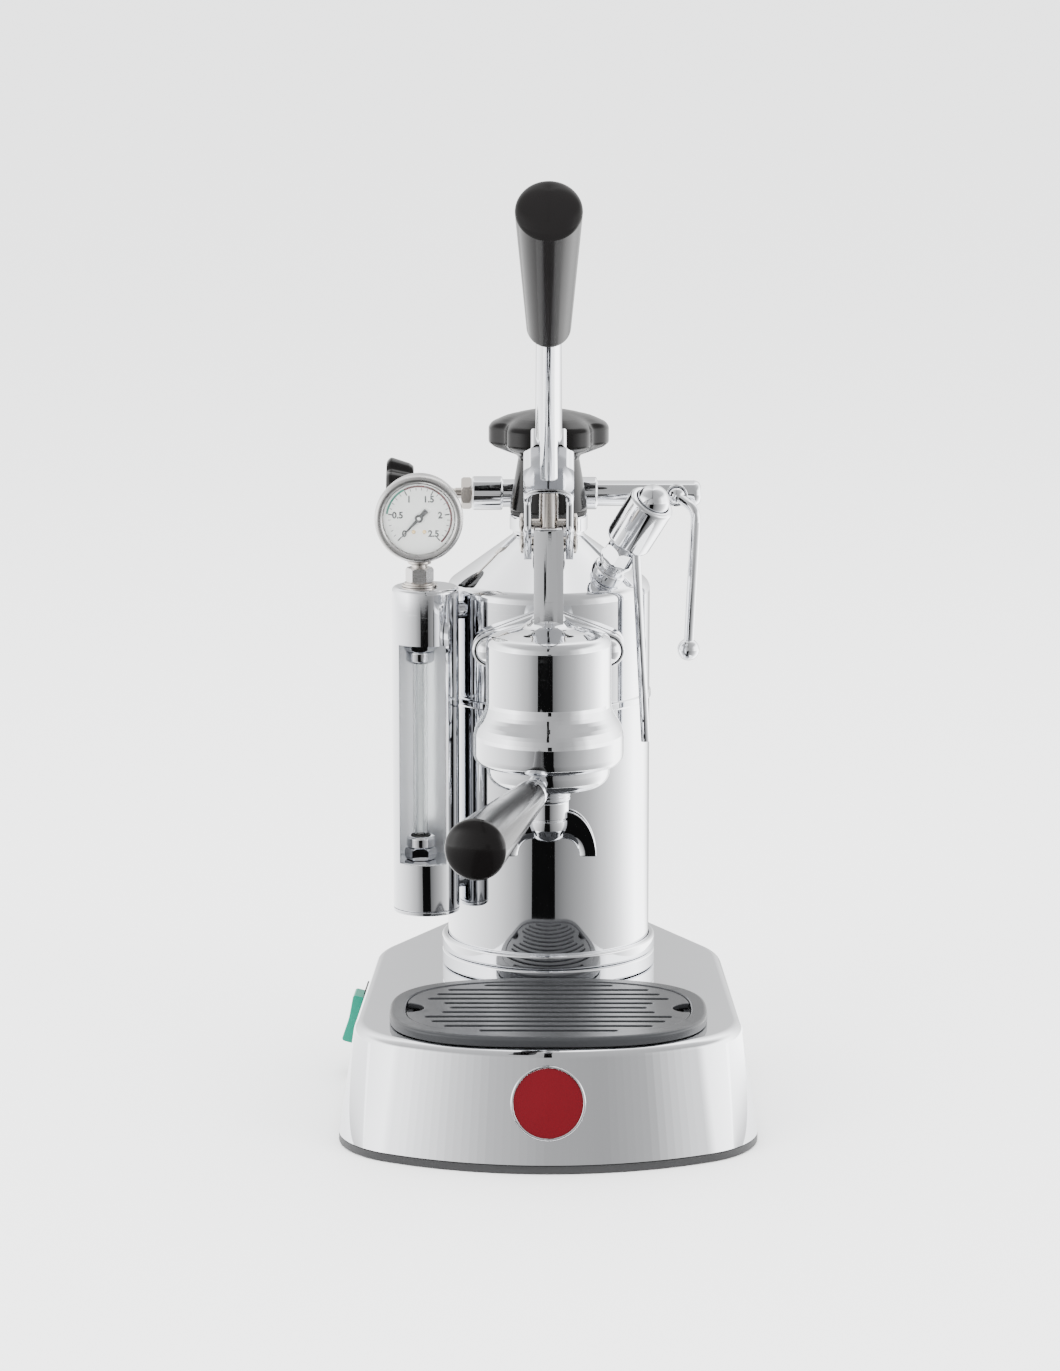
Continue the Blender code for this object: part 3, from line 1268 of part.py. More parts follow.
def post_outline():
    """The post from the side: a front wall up to its top and a lug back to the pivot."""
    foot = BELL_TOP_Z - BELL_ROOF / 2
    lug_heel = PIVOT_BACK + LUG_RADIUS
    waist_z = BELL_TOP_Z + BELL_DOME_RISE + POST_FLARE_RISE
    return rounded_outline(
        [
            (-POST_FRONT, foot, 0.0),
            (-POST_FRONT, POST_TOP_Z, POST_EDGE),
            (0.0, POST_TOP_Z, 0.0),
            (0.0, PIVOT_Z + LUG_RADIUS, 0.0),
            (lug_heel, PIVOT_Z + LUG_RADIUS, LUG_RADIUS),
            (lug_heel, PIVOT_Z - LUG_RADIUS, LUG_RADIUS),
            (POST_FRONT + POST_FLARE, waist_z, 3 * LUG_RADIUS),
            (POST_FRONT + POST_FLARE, foot, 0.0),
        ]
    )


def post_blank():
    """The post's outline as a solid as wide as the post, on the group's axis."""
    place = at(y=-GROUP_REACH) @ Matrix(((0, 0, 1, 0), (1, 0, 0, 0), (0, 1, 0, 0), (0, 0, 0, 1)))
    return plate(helper_name("post"), [post_outline()], POST_WIDTH, None, place)


def wing_outline(inner, outer, heading, sweep):
    """A ring sector, for a bayonet wing or the notch it enters by."""
    far = arc((0.0, 0.0), outer, heading - sweep / 2, heading + sweep / 2, 5)
    near = arc((0.0, 0.0), inner, heading + sweep / 2, heading - sweep / 2, 5)
    return far + near


def wing_headings(turn=0.0):
    """The two wings stand at right angles to the handle."""
    return (PORTAFILTER_YAW + turn, PORTAFILTER_YAW + turn + math.pi)


def group_body():
    """The cast group: bell, post with its pivot lug, neck and two-bolt flange."""
    body = turned("group_body", bell_profile(), "chrome", at(y=-GROUP_REACH), FINE_STEPS)
    neck_place = at(z=GROUP_NECK_Z) @ TO_FRONT
    neck_front = GROUP_REACH - BELL_RADIUS + BELL_WALL / 2
    neck_back = -GROUP_FLANGE_Y + GROUP_FLANGE / 2
    neck = cylinder("group_neck", GROUP_NECK_RADIUS, neck_back, neck_front, neck_place, MEDIUM_STEPS)
    flange_place = at(y=GROUP_FLANGE_Y - GROUP_FLANGE / 2, z=GROUP_NECK_Z) @ TO_FRONT
    flange = plate(helper_name("group_flange"), [group_pad_outline()], GROUP_FLANGE, None, flange_place)
    join(body, post_blank(), neck, flange)
    cut(body, bell_hollow())
    on_axis = at(y=-GROUP_REACH)
    rod_bore = ROD_RADIUS + ROD_PLAY
    cut(body, bore("rod_bore", rod_bore, BORE_TOP_Z - OVERRUN, POST_TOP_Z + OVERRUN, on_axis))
    lowest_pin = PIN_REST_Z - STROKE_PER_RADIAN * LEVER_DOWN
    slot_foot = lowest_pin - ROD_PIN_RADIUS - 2 * ROD_PLAY
    slot_top = POST_TOP_Z + OVERRUN
    slot_size = (POST_WIDTH + 2 * OVERRUN, 2 * (ROD_PIN_RADIUS + ROD_PLAY), slot_top - slot_foot)
    slot = box(helper_name("pin_slot"), slot_size, None, at(y=-GROUP_REACH, z=(slot_top + slot_foot) / 2))
    cut(body, slot)
    pin_place = at(y=PIVOT_Y, z=PIVOT_Z) @ TO_RIGHT
    cut(body, bore("pivot_hole", PIVOT_PIN_RADIUS + GAP, -POST_WIDTH, POST_WIDTH, pin_place, PIN_STEPS))
    for side in (-1, 1):
        place = at(side * BOLT_HALF_SPAN, 0.0, GROUP_NECK_Z) @ TO_FRONT
        low = -GROUP_FLANGE_Y - OVERRUN
        cut(body, bore("flange_bolt_hole", BOLT_RADIUS + GAP, low, low + GROUP_FLANGE + 2 * OVERRUN,
                       place, PIN_STEPS))
    waterway_end = GROUP_REACH - SLEEVE_OUTER
    cut(body, bore("waterway", WATERWAY_RADIUS, -GROUP_FLANGE_Y - OVERRUN, waterway_end, neck_place,
                   PIN_STEPS))
    notch_height = LIP_THICKNESS + 2 * OVERRUN
    for heading in wing_headings(PORTAFILTER_UNLOCK):
        outline = wing_outline(PORTAFILTER_RADIUS, CAVITY_RADIUS - GAP, heading, WING_SWEEP * 1.15)
        place = at(y=-GROUP_REACH, z=LIP_TOP_Z + OVERRUN - notch_height / 2)
        cut(body, plate(helper_name("wing_notch"), [outline], notch_height, None, place))
    return body


def group_gasket():
    place = at(y=GROUP_PAD_Y - GAP - GROUP_GASKET / 2, z=GROUP_NECK_Z) @ TO_FRONT
    holes = [arc((0.0, 0.0), WATERWAY_RADIUS, 0.0, 2 * math.pi * (1 - 1 / PIN_STEPS), PIN_STEPS - 1)]
    for side in (-1, 1):
        centre = (side * BOLT_HALF_SPAN, 0.0)
        holes.append(arc(centre, BOLT_RADIUS + GAP, 0.0, 2 * math.pi * (1 - 1 / PIN_STEPS), PIN_STEPS - 1))
    return plate("group_gasket", [group_pad_outline(-GAP), *holes], GROUP_GASKET, "rubber", place)


def group_bolt(name, side):
    """A domed bolt through the flange into the boiler's pad."""
    seat = -GROUP_FLANGE_Y + GROUP_FLANGE + GAP
    profile = [
        (0.0, seat + BOLT_HEAD_HEIGHT),
        (BOLT_HEAD_RADIUS * 0.55, seat + BOLT_HEAD_HEIGHT * 0.85),
        (BOLT_HEAD_RADIUS * 0.88, seat + BOLT_HEAD_HEIGHT * 0.5),
        (BOLT_HEAD_RADIUS, seat + BOLT_HEAD_HEIGHT * 0.15),
        (BOLT_HEAD_RADIUS, seat),
        (BOLT_RADIUS, seat),
        (BOLT_RADIUS, -GROUP_PAD_Y - BOLT_BITE),
        (0.0, -GROUP_PAD_Y - BOLT_BITE),
    ]
    place = at(side * BOLT_HALF_SPAN, 0.0, GROUP_NECK_Z) @ TO_FRONT
    return turned(name, profile, "chrome", place, SMALL_STEPS)


def dip_tube():
    """The bent pipe that feeds the group from the bottom of the boiler."""
    start = GROUP_PAD_Y + GROUP_PAD_RISE / 2
    back = -(BOILER_INNER - DIP_TUBE_IN)
    bend = DIP_TUBE_IN / 2
    route = [(0.0, start, GROUP_NECK_Z)]
    for i in range(5):
        angle = QUARTER_TURN * i / 4
        route.append((0.0, back - bend + bend * math.sin(angle),
                      GROUP_NECK_Z - bend + bend * math.cos(angle)))
    route.append((0.0, back, DIP_TUBE_FOOT_Z))
    pipe = wire("dip_tube", route, DIP_TUBE_RADIUS, "brass", resolution=1)
    inside = [(0.0, start - OVERRUN, GROUP_NECK_Z), *route[1:-1], (0.0, back, DIP_TUBE_FOOT_Z - OVERRUN)]
    return cut(pipe, wire(helper_name("dip_bore"), inside, DIP_TUBE_RADIUS - DIP_TUBE_WALL, resolution=1))


def cylinder_sleeve():
    profile = tube_profile(SLEEVE_OUTER, BORE_RADIUS, SLEEVE_FOOT_Z, SLEEVE_FOOT_Z + SLEEVE_HEIGHT)
    return turned("cylinder_sleeve", profile, "steel", at(y=-GROUP_REACH), MEDIUM_STEPS, ring=True)


def shower_screen():
    """A shallow cup around the end of the sleeve."""
    floor = SLEEVE_FOOT_Z - SCREEN_DROP
    rim = CAVITY_TOP_Z - GAP
    inner = SCREEN_RADIUS - SCREEN_WALL
    profile = [
        (0.0, floor + SCREEN_WALL),
        (inner, floor + SCREEN_WALL),
        (inner, rim),
        (SCREEN_RADIUS, rim),
        (SCREEN_RADIUS, floor),
        (0.0, floor),
    ]
    return turned("shower_screen", profile, "steel", at(y=-GROUP_REACH))


def group_seal():
    inner = SCREEN_RADIUS + GAP
    profile = tube_profile(CAVITY_RADIUS - GAP, inner, SEAL_FOOT_Z, SEAL_FOOT_Z + SEAL_THICKNESS)
    return turned("group_seal", profile, "rubber", at(y=-GROUP_REACH), FINE_STEPS, ring=True)


# Piston and lever


def piston_head():
    """The piston with a groove for each seal and a blind seat for the rod."""
    foot = PISTON_TOP_Z - PISTON_HEIGHT
    groove = PISTON_RADIUS - PISTON_SEAL_DEPTH
    seat = PISTON_TOP_Z - ROD_SEAT - GAP
    rod_fit = ROD_RADIUS + GAP
    profile = [(0.0, seat), (rod_fit, seat), (rod_fit, PISTON_TOP_Z), (PISTON_RADIUS, PISTON_TOP_Z)]
    for share in sorted(PISTON_SEAL_SHARES, reverse=True):
        low = foot + PISTON_HEIGHT * share - PISTON_SEAL_HEIGHT / 2 - GAP
        high = low + PISTON_SEAL_HEIGHT + 2 * GAP
        profile += [(PISTON_RADIUS, high), (groove, high), (groove, low), (PISTON_RADIUS, low)]
    profile += [(PISTON_RADIUS, foot), (0.0, foot)]
    return turned("piston_head", profile, "brass", at(y=-GROUP_REACH))


def piston_seal(name, share):
    """A lip seal in one of the piston's grooves."""
    low = PISTON_TOP_Z - PISTON_HEIGHT + PISTON_HEIGHT * share - PISTON_SEAL_HEIGHT / 2
    inner = PISTON_RADIUS - PISTON_SEAL_DEPTH + GAP
    outer = BORE_RADIUS - GAP
    profile = tube_profile(outer, inner, low, low + PISTON_SEAL_HEIGHT)
    return turned(name, profile, "rubber", at(y=-GROUP_REACH), MEDIUM_STEPS, ring=True)


def piston_rod():
    """The rod from the piston to the lever's pin, with a round top and a cross hole."""
    top = PIN_REST_Z + ROD_ABOVE_PIN
    profile = [
        (0.0, top),
        (ROD_RADIUS * 0.6, top - ROD_RADIUS * 0.15),
        (ROD_RADIUS, top - ROD_RADIUS * 0.6),
        (ROD_RADIUS, PISTON_TOP_Z - ROD_SEAT),
        (0.0, PISTON_TOP_Z - ROD_SEAT),
    ]
    rod = turned("piston_rod", profile, "nickel", at(y=-GROUP_REACH), MEDIUM_STEPS)
    place = at(y=-GROUP_REACH, z=PIN_REST_Z) @ TO_RIGHT
    return cut(rod, bore("rod_eye", ROD_PIN_RADIUS + GAP, -FORK_GAP, FORK_GAP, place, PIN_STEPS))


def linkage_pin(name, radius, y, z):
    """A pin through both ears of the fork, with a low round head at each end."""
    ear = FORK_HALF_WIDTH + GAP
    end = ear + PIN_HEAD_HEIGHT
    profile = [
        (0.0, end),
        (PIN_HEAD_RADIUS * 0.7, end),
        (PIN_HEAD_RADIUS, end - PIN_HEAD_HEIGHT * 0.4),
        (PIN_HEAD_RADIUS, ear),
        (radius, ear),
        (radius, -ear),
        (PIN_HEAD_RADIUS, -ear),
        (PIN_HEAD_RADIUS, -end + PIN_HEAD_HEIGHT * 0.4),
        (PIN_HEAD_RADIUS * 0.7, -end),
        (0.0, -end),
    ]
    return turned(name, profile, "nickel", at(y=y, z=z) @ TO_RIGHT, SMALL_STEPS)


def pin_in_fork(swing):
    """Where the rod pin lies in the fork, along and across its slot, when the lever has swung."""
    rise = PIN_REST_Z - PIVOT_Z + STROKE_PER_RADIAN * swing
    rest = math.atan2(PIN_REST_Z - PIVOT_Z, PIVOT_BACK)
    distance = math.hypot(PIVOT_BACK, rise)
    angle = math.atan2(rise, PIVOT_BACK) - swing - rest
    return distance * math.cos(angle), distance * math.sin(angle)


def fork_slot():
    """The slot's ends, middle line and half width that let the pin run with the piston."""
    swings = [-LEVER_DOWN + (LEVER_UP + LEVER_DOWN) * i / 12 for i in range(13)]
    along, across = zip(*[pin_in_fork(swing) for swing in swings])
    middle = (max(across) + min(across)) / 2
    half_width = ROD_PIN_RADIUS + GAP + (max(across) - min(across)) / 2
    return min(along), max(along), middle, half_width


def slot_angle():
    """The slot's direction from the pivot, against the lever's own line."""
    return math.atan2(PIN_REST_Z - PIVOT_Z, PIVOT_BACK) - LEVER_ANGLE


def lever_frame():
    """A frame on the pivot: +X along the lever, +Y up from it and +Z to the machine's right."""
    along = Vector((0.0, -math.cos(LEVER_ANGLE), math.sin(LEVER_ANGLE)))
    up = Vector((0.0, math.sin(LEVER_ANGLE), math.cos(LEVER_ANGLE)))
    across = along.cross(up)
    frame = Matrix((along, up, across)).transposed().to_4x4()
    return at(y=PIVOT_Y, z=PIVOT_Z) @ frame


def fork_side():
    """The fork from the side: ears deep enough to carry the slot, then the flat of the bridge."""
    _, slot_end, middle, half_width = fork_slot()
    angle = slot_angle()
    end_x = slot_end * math.cos(angle)
    end_y = slot_end * math.sin(angle) + middle
    below = end_y - half_width - EAR_WALL
    half_plate = PLATE_THICKNESS / 2
    return rounded_outline(
        [
            (-EAR_RADIUS, EAR_RADIUS, EAR_RADIUS),
            (end_x, EAR_RADIUS, 2 * EAR_RADIUS),
            (BRIDGE_REACH, half_plate, 2 * EAR_RADIUS),
            (SHOULDER_REACH, half_plate, 0.0),
            (SHOULDER_REACH, -half_plate, 0.0),
            (BRIDGE_REACH, -half_plate, EAR_RADIUS),
            (end_x + half_width + EAR_WALL, below, EAR_RADIUS),
            (-EAR_RADIUS, -EAR_RADIUS, EAR_RADIUS),
        ],
        steps=5,
    )


def fork_plan():
    """The fork from above: two ears round a window, a bridge and a narrower, stepped shoulder."""
    half = FORK_HALF_WIDTH
    half_gap = FORK_GAP / 2
    half_shoulder = SHOULDER_WIDTH / 2
    start = -2 * EAR_RADIUS
    return rounded_outline(
        [
            (start, -half, 0.0),
            (PLATE_REACH, -half, SHOULDER_CORNER),
            (PLATE_REACH + SHOULDER_CORNER, -half_shoulder, SHOULDER_CORNER),
            (SHOULDER_REACH - PLATE_EDGE, -half_shoulder, SHOULDER_CORNER),
            (SHOULDER_REACH - PLATE_EDGE, half_shoulder, SHOULDER_CORNER),
            (PLATE_REACH + SHOULDER_CORNER, half_shoulder, SHOULDER_CORNER),
            (PLATE_REACH, half, SHOULDER_CORNER),
            (start, half, 0.0),
            (start, half_gap, 0.0),
            (BRIDGE_REACH, half_gap, BRIDGE_CORNER),
            (BRIDGE_REACH, -half_gap, BRIDGE_CORNER),
            (start, -half_gap, 0.0),
        ]
    )


def slot_cutter():
    """The slot through both ears in which the rod pin runs."""
    start, end, middle, half_width = fork_slot()
    outline = [(x + (start + end) / 2, y + middle) for x, y in stadium((end - start) / 2 + GAP, half_width)]
    return plate(helper_name("pin_run"), [outline], 3 * FORK_GAP, None, lever_frame() @ turn_z(slot_angle()))


def lever_fork():
    """The lever's fork and rod, with the tang that the grip is pushed on."""
    frame = lever_frame()
    fork = plate("lever_fork", [fork_side()], 2 * (FORK_HALF_WIDTH + OVERRUN), "chrome", frame)
    plan_place = frame @ turn_x(-QUARTER_TURN)
    meet(fork, plate(helper_name("fork_plan"), [fork_plan()], 8 * EAR_RADIUS, None, plan_place))
    along = frame @ TO_RIGHT
    tang_end = GRIP_START + TANG_LENGTH
    profile = [
        (0.0, tang_end),
        (TANG_RADIUS, tang_end),
        (TANG_RADIUS, GRIP_START - GAP),
        (LEVER_ROD_TIP_RADIUS, GRIP_START - GAP),
        (LEVER_ROD_RADIUS, LEVER_ROD_START + LEVER_ROD_CHAMFER),
        (LEVER_ROD_RADIUS - LEVER_ROD_CHAMFER, LEVER_ROD_START),
        (0.0, LEVER_ROD_START),
    ]
    rod = turned_helper("lever_rod", profile, along)
    join(fork, rod)
    hole = bore("fork_pivot_hole", PIVOT_PIN_RADIUS + GAP, -FORK_GAP, FORK_GAP, frame, PIN_STEPS)
    return cut(fork, slot_cutter(), hole)


def grip_profile(length, near, far, edge, crown, hole, hole_depth):
    """A tapered handle with round ends and a blind bore, from its far end to its near end."""
    return [
        (0.0, length),
        (far * 0.55, length - crown * 0.25),
        (far - edge, length - crown * 0.75),
        (far - edge * 0.25, length - crown - edge * 0.35),
        (far, length - crown - edge),
        (near, edge),
        (near - edge * 0.25, edge * 0.3),
        (near - edge * 0.7, 0.0),
        (hole, 0.0),
        (hole, hole_depth),
        (0.0, hole_depth),
    ]


def lever_handle():
    profile = grip_profile(
        GRIP_LENGTH, GRIP_NEAR_RADIUS, GRIP_FAR_RADIUS, GRIP_EDGE, GRIP_CROWN,
        TANG_RADIUS + GAP, TANG_LENGTH + GAP,
    )
    place = lever_frame() @ TO_RIGHT @ at(z=GRIP_START)
    return turned("lever_handle", profile, "black_plastic", place, MEDIUM_STEPS)


# Portafilter


def portafilter_place(z=0.0):
    """A frame on the group's axis, turned so that -Y points along the handle."""
    return at(y=-GROUP_REACH, z=z) @ turn_z(PORTAFILTER_YAW)


def portafilter_body():
    """The bowl with its wings, handle stem and threaded drain."""
    foot = PORTAFILTER_FOOT_Z
    collar_foot = foot - STUB_COLLAR_HEIGHT
    nipple_foot = collar_foot - NIPPLE_LENGTH
    floor_top = foot + PORTAFILTER_FLOOR
    curve = PORTAFILTER_CURVE
    profile = [(PORTAFILTER_RADIUS, RIM_Z)]
    for i in range(CORNER_STEPS + 1):
        angle = QUARTER_TURN * i / CORNER_STEPS
        x = PORTAFILTER_RADIUS - curve + curve * math.cos(angle)
        profile.append((x, foot + curve - curve * math.sin(angle)))
    profile += [
        (STUB_COLLAR_RADIUS, foot),
        (STUB_COLLAR_RADIUS, collar_foot),
        (NIPPLE_RADIUS, collar_foot),
        (NIPPLE_RADIUS, nipple_foot),
        (DRAIN_RADIUS, nipple_foot),
        (DRAIN_RADIUS, floor_top),
        (PORTAFILTER_BORE - curve / 2, floor_top),
        (PORTAFILTER_BORE, floor_top + curve / 2),
        (PORTAFILTER_BORE, RIM_Z),
    ]
    bowl = turned("portafilter_body", profile, "chrome", portafilter_place(), FINE_STEPS, ring=True)
    wing_z = WING_FOOT_Z + WING_THICKNESS / 2
    for heading in (0.0, math.pi):
        outline = wing_outline(PORTAFILTER_RADIUS - PORTAFILTER_WALL / 2, WING_RADIUS, heading, WING_SWEEP)
        join(bowl, plate(helper_name("wing"), [outline], WING_THICKNESS, None, portafilter_place(wing_z)))
    stem_start = PORTAFILTER_RADIUS - PORTAFILTER_WALL / 2
    stem_end = PORTAFILTER_RADIUS + FERRULE_LENGTH + HANDLE_TANG
    stem = cylinder("stem", STEM_RADIUS, stem_start, stem_end, portafilter_place(STEM_Z) @ TO_FRONT)
    return join(bowl, stem)


FERRULE_START = PORTAFILTER_RADIUS + GAP
HANDLE_START = FERRULE_START + FERRULE_LENGTH + GAP


def portafilter_ferrule():
    profile = [
        (FERRULE_RADIUS - GAP, FERRULE_START + FERRULE_LENGTH),
        (FERRULE_RADIUS, FERRULE_START + FERRULE_LENGTH * 0.9),
        (FERRULE_RADIUS * 0.93, FERRULE_START + FERRULE_LENGTH * 0.4),
        (FERRULE_RADIUS * 0.75, FERRULE_START + FERRULE_LENGTH * 0.08),
        (STEM_RADIUS + GAP, FERRULE_START + FERRULE_LENGTH * 0.08),
        (STEM_RADIUS + GAP, FERRULE_START + FERRULE_LENGTH),
    ]
    place = portafilter_place(STEM_Z) @ TO_FRONT
    return turned("portafilter_ferrule", profile, "chrome", place, MEDIUM_STEPS, ring=True)


def portafilter_handle():
    profile = grip_profile(
        HANDLE_LENGTH, HANDLE_NEAR_RADIUS, HANDLE_FAR_RADIUS, HANDLE_EDGE, HANDLE_CROWN,
        STEM_RADIUS + GAP, HANDLE_TANG + GAP,
    )
    place = portafilter_place(STEM_Z) @ TO_FRONT @ at(z=HANDLE_START)
    return turned("portafilter_handle", profile, "black_plastic", place, MEDIUM_STEPS)


def filter_basket():
    foot = BASKET_TOP_Z - BASKET_DEPTH
    inner = BASKET_RADIUS - BASKET_WALL
    curve = PORTAFILTER_CURVE / 2
    profile = [
        (0.0, foot + BASKET_WALL),
        (inner - curve, foot + BASKET_WALL),
        (inner, foot + curve + BASKET_WALL / 2),
        (inner, BASKET_TOP_Z),
        (BASKET_RADIUS + BASKET_FLANGE, BASKET_TOP_Z),
        (BASKET_RADIUS + BASKET_FLANGE, BASKET_TOP_Z - BASKET_WALL),
        (BASKET_RADIUS, BASKET_TOP_Z - BASKET_WALL),
        (BASKET_RADIUS, foot + curve),
        (BASKET_RADIUS - curve, foot),
        (0.0, foot),
    ]
    return turned("filter_basket", profile, "steel", portafilter_place(), FINE_STEPS)


def spout_channel(side):
    """Half of the twin spout: a channel section swung down in an arc and stretched upwards."""
    outer = SPOUT_CHANNEL
    inner = SPOUT_CHANNEL - SPOUT_WALL
    body = bmesh.new()
    section = arc((0.0, 0.0), outer, -QUARTER_TURN, QUARTER_TURN, 4)
    section += arc((0.0, 0.0), inner, QUARTER_TURN, -QUARTER_TURN, 4)
    verts = [body.verts.new((SPOUT_ARC - x, y, 0.0)) for x, y in section]
    face = body.faces.new(verts)
    bmesh.ops.spin(
        body, geom=[face, *face.edges, *verts], cent=(0.0, 0.0, 0.0), axis=(0.0, -1.0, 0.0),
        angle=math.radians(108), steps=6, use_merge=False, use_duplicate=False,
    )
    bmesh.ops.remove_doubles(body, verts=body.verts, dist=0.000001)
    bmesh.ops.scale(body, vec=(side, 1.0, SPOUT_TALL_SHARE), verts=body.verts)
    bmesh.ops.translate(body, vec=(side * SPOUT_RADIUS, 0.0, 0.0), verts=body.verts)
    bmesh.ops.recalc_face_normals(body, faces=body.faces)
    mesh = bpy.data.meshes.new("channel")
    body.to_mesh(mesh)
    body.free()
    return add_object(helper_name("spout_channel"), mesh, None, at(y=-GROUP_REACH, z=SPOUT_TIP_Z))


def spout():
    """The boss screwed under the portafilter, with a channel to each side."""
    profile = [
        (0.0, SPOUT_TOP_Z),
        (SPOUT_RADIUS, SPOUT_TOP_Z),
        (SPOUT_RADIUS, SPOUT_FOOT_Z + SPOUT_DOME),
        (SPOUT_RADIUS * 0.9, SPOUT_FOOT_Z + SPOUT_DOME * 0.5),
        (SPOUT_RADIUS * 0.55, SPOUT_FOOT_Z + SPOUT_DOME * 0.12),
        (0.0, SPOUT_FOOT_Z),
    ]
    boss = turned("spout", profile, "chrome", at(y=-GROUP_REACH), MEDIUM_STEPS)
    join(boss, spout_channel(-1), spout_channel(1))
    nipple_foot = SPOUT_TOP_Z + GAP - NIPPLE_LENGTH
    bore_foot = nipple_foot - 2 * SPOUT_PORT - GAP
    centre_hole = bore("spout_bore", NIPPLE_RADIUS + GAP, bore_foot, SPOUT_TOP_Z + OVERRUN,
                       at(y=-GROUP_REACH))
    port_place = at(y=-GROUP_REACH, z=bore_foot + SPOUT_PORT) @ TO_RIGHT
    port_reach = SPOUT_RADIUS + SPOUT_WALL
    port = bore("spout_port", SPOUT_PORT, -port_reach, port_reach, port_place, PIN_STEPS)
    return cut(boss, centre_hole, port)


# Filler cap


def lobed_loops(levels, lobes):
    """Loops for a loft of (height, radius, lobe share) levels with scalloped sides."""
    count = lobes * 6
    loops = []
    for height, radius, lobe in levels:
        loop = []
        for i in range(count):
            angle = 2 * math.pi * i / count
            scallop = ((1 - math.cos(lobes * angle)) / 2) ** 2
            reach = radius * (1 - lobe * scallop)
            loop.append((reach * math.cos(angle), reach * math.sin(angle), height))
        loops.append(loop)
    return loops


def cap_knob():
    """The cap: a threaded plug, a black cone and a lobed knob in one moulding."""
    cone_top = CAP_FOOT_Z + CAP_CONE_HEIGHT
    side_foot = cone_top + CAP_KNOB_UNDERSIDE
    side_top = side_foot + CAP_KNOB_SIDE
    peak = side_top + CAP_KNOB_DOME
    lobe = CAP_LOBE_SHARE
    plug = NECK_BORE - 2 * GAP
    radius = CAP_KNOB_RADIUS
    levels = [
        (CAP_FOOT_Z - CAP_GASKET - CAP_PLUG_LENGTH, plug, 0.0),
        (CAP_FOOT_Z, plug, 0.0),
        (CAP_FOOT_Z, CAP_CONE_RADIUS, 0.0),
        (cone_top, CAP_CONE_TOP_RADIUS, 0.0),
        (cone_top + CAP_KNOB_UNDERSIDE * 0.35, radius * 0.7, lobe * 0.5),
        (side_foot, radius * 0.96, lobe),
        (side_foot + CAP_KNOB_SIDE * 0.15, radius, lobe),
        (side_top - CAP_KNOB_SIDE * 0.2, radius, lobe),
        (side_top, radius * 0.95, lobe),
        (side_top + CAP_KNOB_DOME * 0.45, radius * 0.78, lobe * 0.7),
        (side_top + CAP_KNOB_DOME * 0.85, radius * 0.42, lobe * 0.2),
        (peak, radius * 0.12, 0.0),
    ]
    return loft("cap_knob", lobed_loops(levels, CAP_LOBES), "black_plastic")


def cap_gasket():
    profile = tube_profile(NECK_COLLAR_RADIUS - GAP, NECK_BORE, CAP_GASKET_Z, CAP_GASKET_Z + CAP_GASKET)
    return turned("cap_gasket", profile, "rubber", None, MEDIUM_STEPS, ring=True)


# Steam tap and wand


def tap_place():
    """A frame on the tap's axis with +Z to the machine's right."""
    return at(y=TAP_BACK, z=TAP_Z) @ TO_RIGHT


def wand_ball_centre():
    return Vector((WAND_X, TAP_BACK - TAP_TUBE_RADIUS - WAND_BALL_RADIUS / 4, TAP_Z))


def ball(purpose, radius, place, steps=SMALL_STEPS):
    """A round helper turned from half a circle."""
    half = steps // 2
    profile = [
        (radius * math.sin(math.pi * i / half),
         radius * math.cos(math.pi * i / half)) for i in range(half + 1)
    ]
    profile[0] = (0.0, radius)
    profile[-1] = (0.0, -radius)
    return turned_helper(purpose, profile, place, steps)


def steam_tap_body():
    """The tap's barrel across the back of the neck, on its pedestal, with the outlet tube."""
    left_end = -TAP_LEFT + TAP_LEFT_LENGTH
    profile = [
        (0.0, TAP_RIGHT),
        (TAP_TUBE_RADIUS * 0.7, TAP_RIGHT - TAP_END_EDGE * 0.2),
        (TAP_TUBE_RADIUS, TAP_RIGHT - TAP_END_EDGE),
        (TAP_TUBE_RADIUS, TAP_COLLAR_END),
        (TAP_COLLAR_RADIUS - TAP_EDGE, TAP_COLLAR_END),
        (TAP_COLLAR_RADIUS, TAP_COLLAR_END - TAP_EDGE),
        (TAP_COLLAR_RADIUS, TAP_COLLAR_START),
        (TAP_BODY_RADIUS, TAP_COLLAR_START),
        (TAP_BODY_RADIUS, left_end),
        (TAP_LEFT_RADIUS, left_end),
        (TAP_LEFT_RADIUS, -TAP_LEFT + TAP_EDGE),
        (TAP_LEFT_RADIUS - TAP_EDGE, -TAP_LEFT),
        (0.0, -TAP_LEFT),
    ]
    barrel = turned("steam_tap_body", profile, "chrome", tap_place(), MEDIUM_STEPS)
    foot = TAP_BOSS_TOP_Z + GAP
    on_boss = at(y=TAP_BACK)
    hex_top = foot + PEDESTAL_HEX_HEIGHT
    hexagonal = hex_block("pedestal_hex", PEDESTAL_HEX, foot, hex_top, on_boss)
    pillar = cylinder("pedestal", PEDESTAL_RADIUS, foot, TAP_Z, on_boss)
    spigot = cylinder("spigot", SPIGOT_RADIUS, foot - SPIGOT_LENGTH, foot + PEDESTAL_HEX_HEIGHT / 2,
                      on_boss, PIN_STEPS)
    join(barrel, pillar, hexagonal, spigot)
    bore_end = WAND_X - WAND_BALL_RADIUS
    barrel_hole = bore("tap_bore", TAP_BORE, -TAP_LEFT - OVERRUN, bore_end, tap_place(), PIN_STEPS)
    riser_foot = foot - SPIGOT_LENGTH - OVERRUN
    riser = bore("tap_riser", SPIGOT_RADIUS / 2, riser_foot, TAP_Z, on_boss, PIN_STEPS)
    socket = ball("wand_socket", WAND_BALL_RADIUS + GAP, Matrix.Translation(wand_ball_centre()))
    return cut(barrel, barrel_hole, riser, socket)


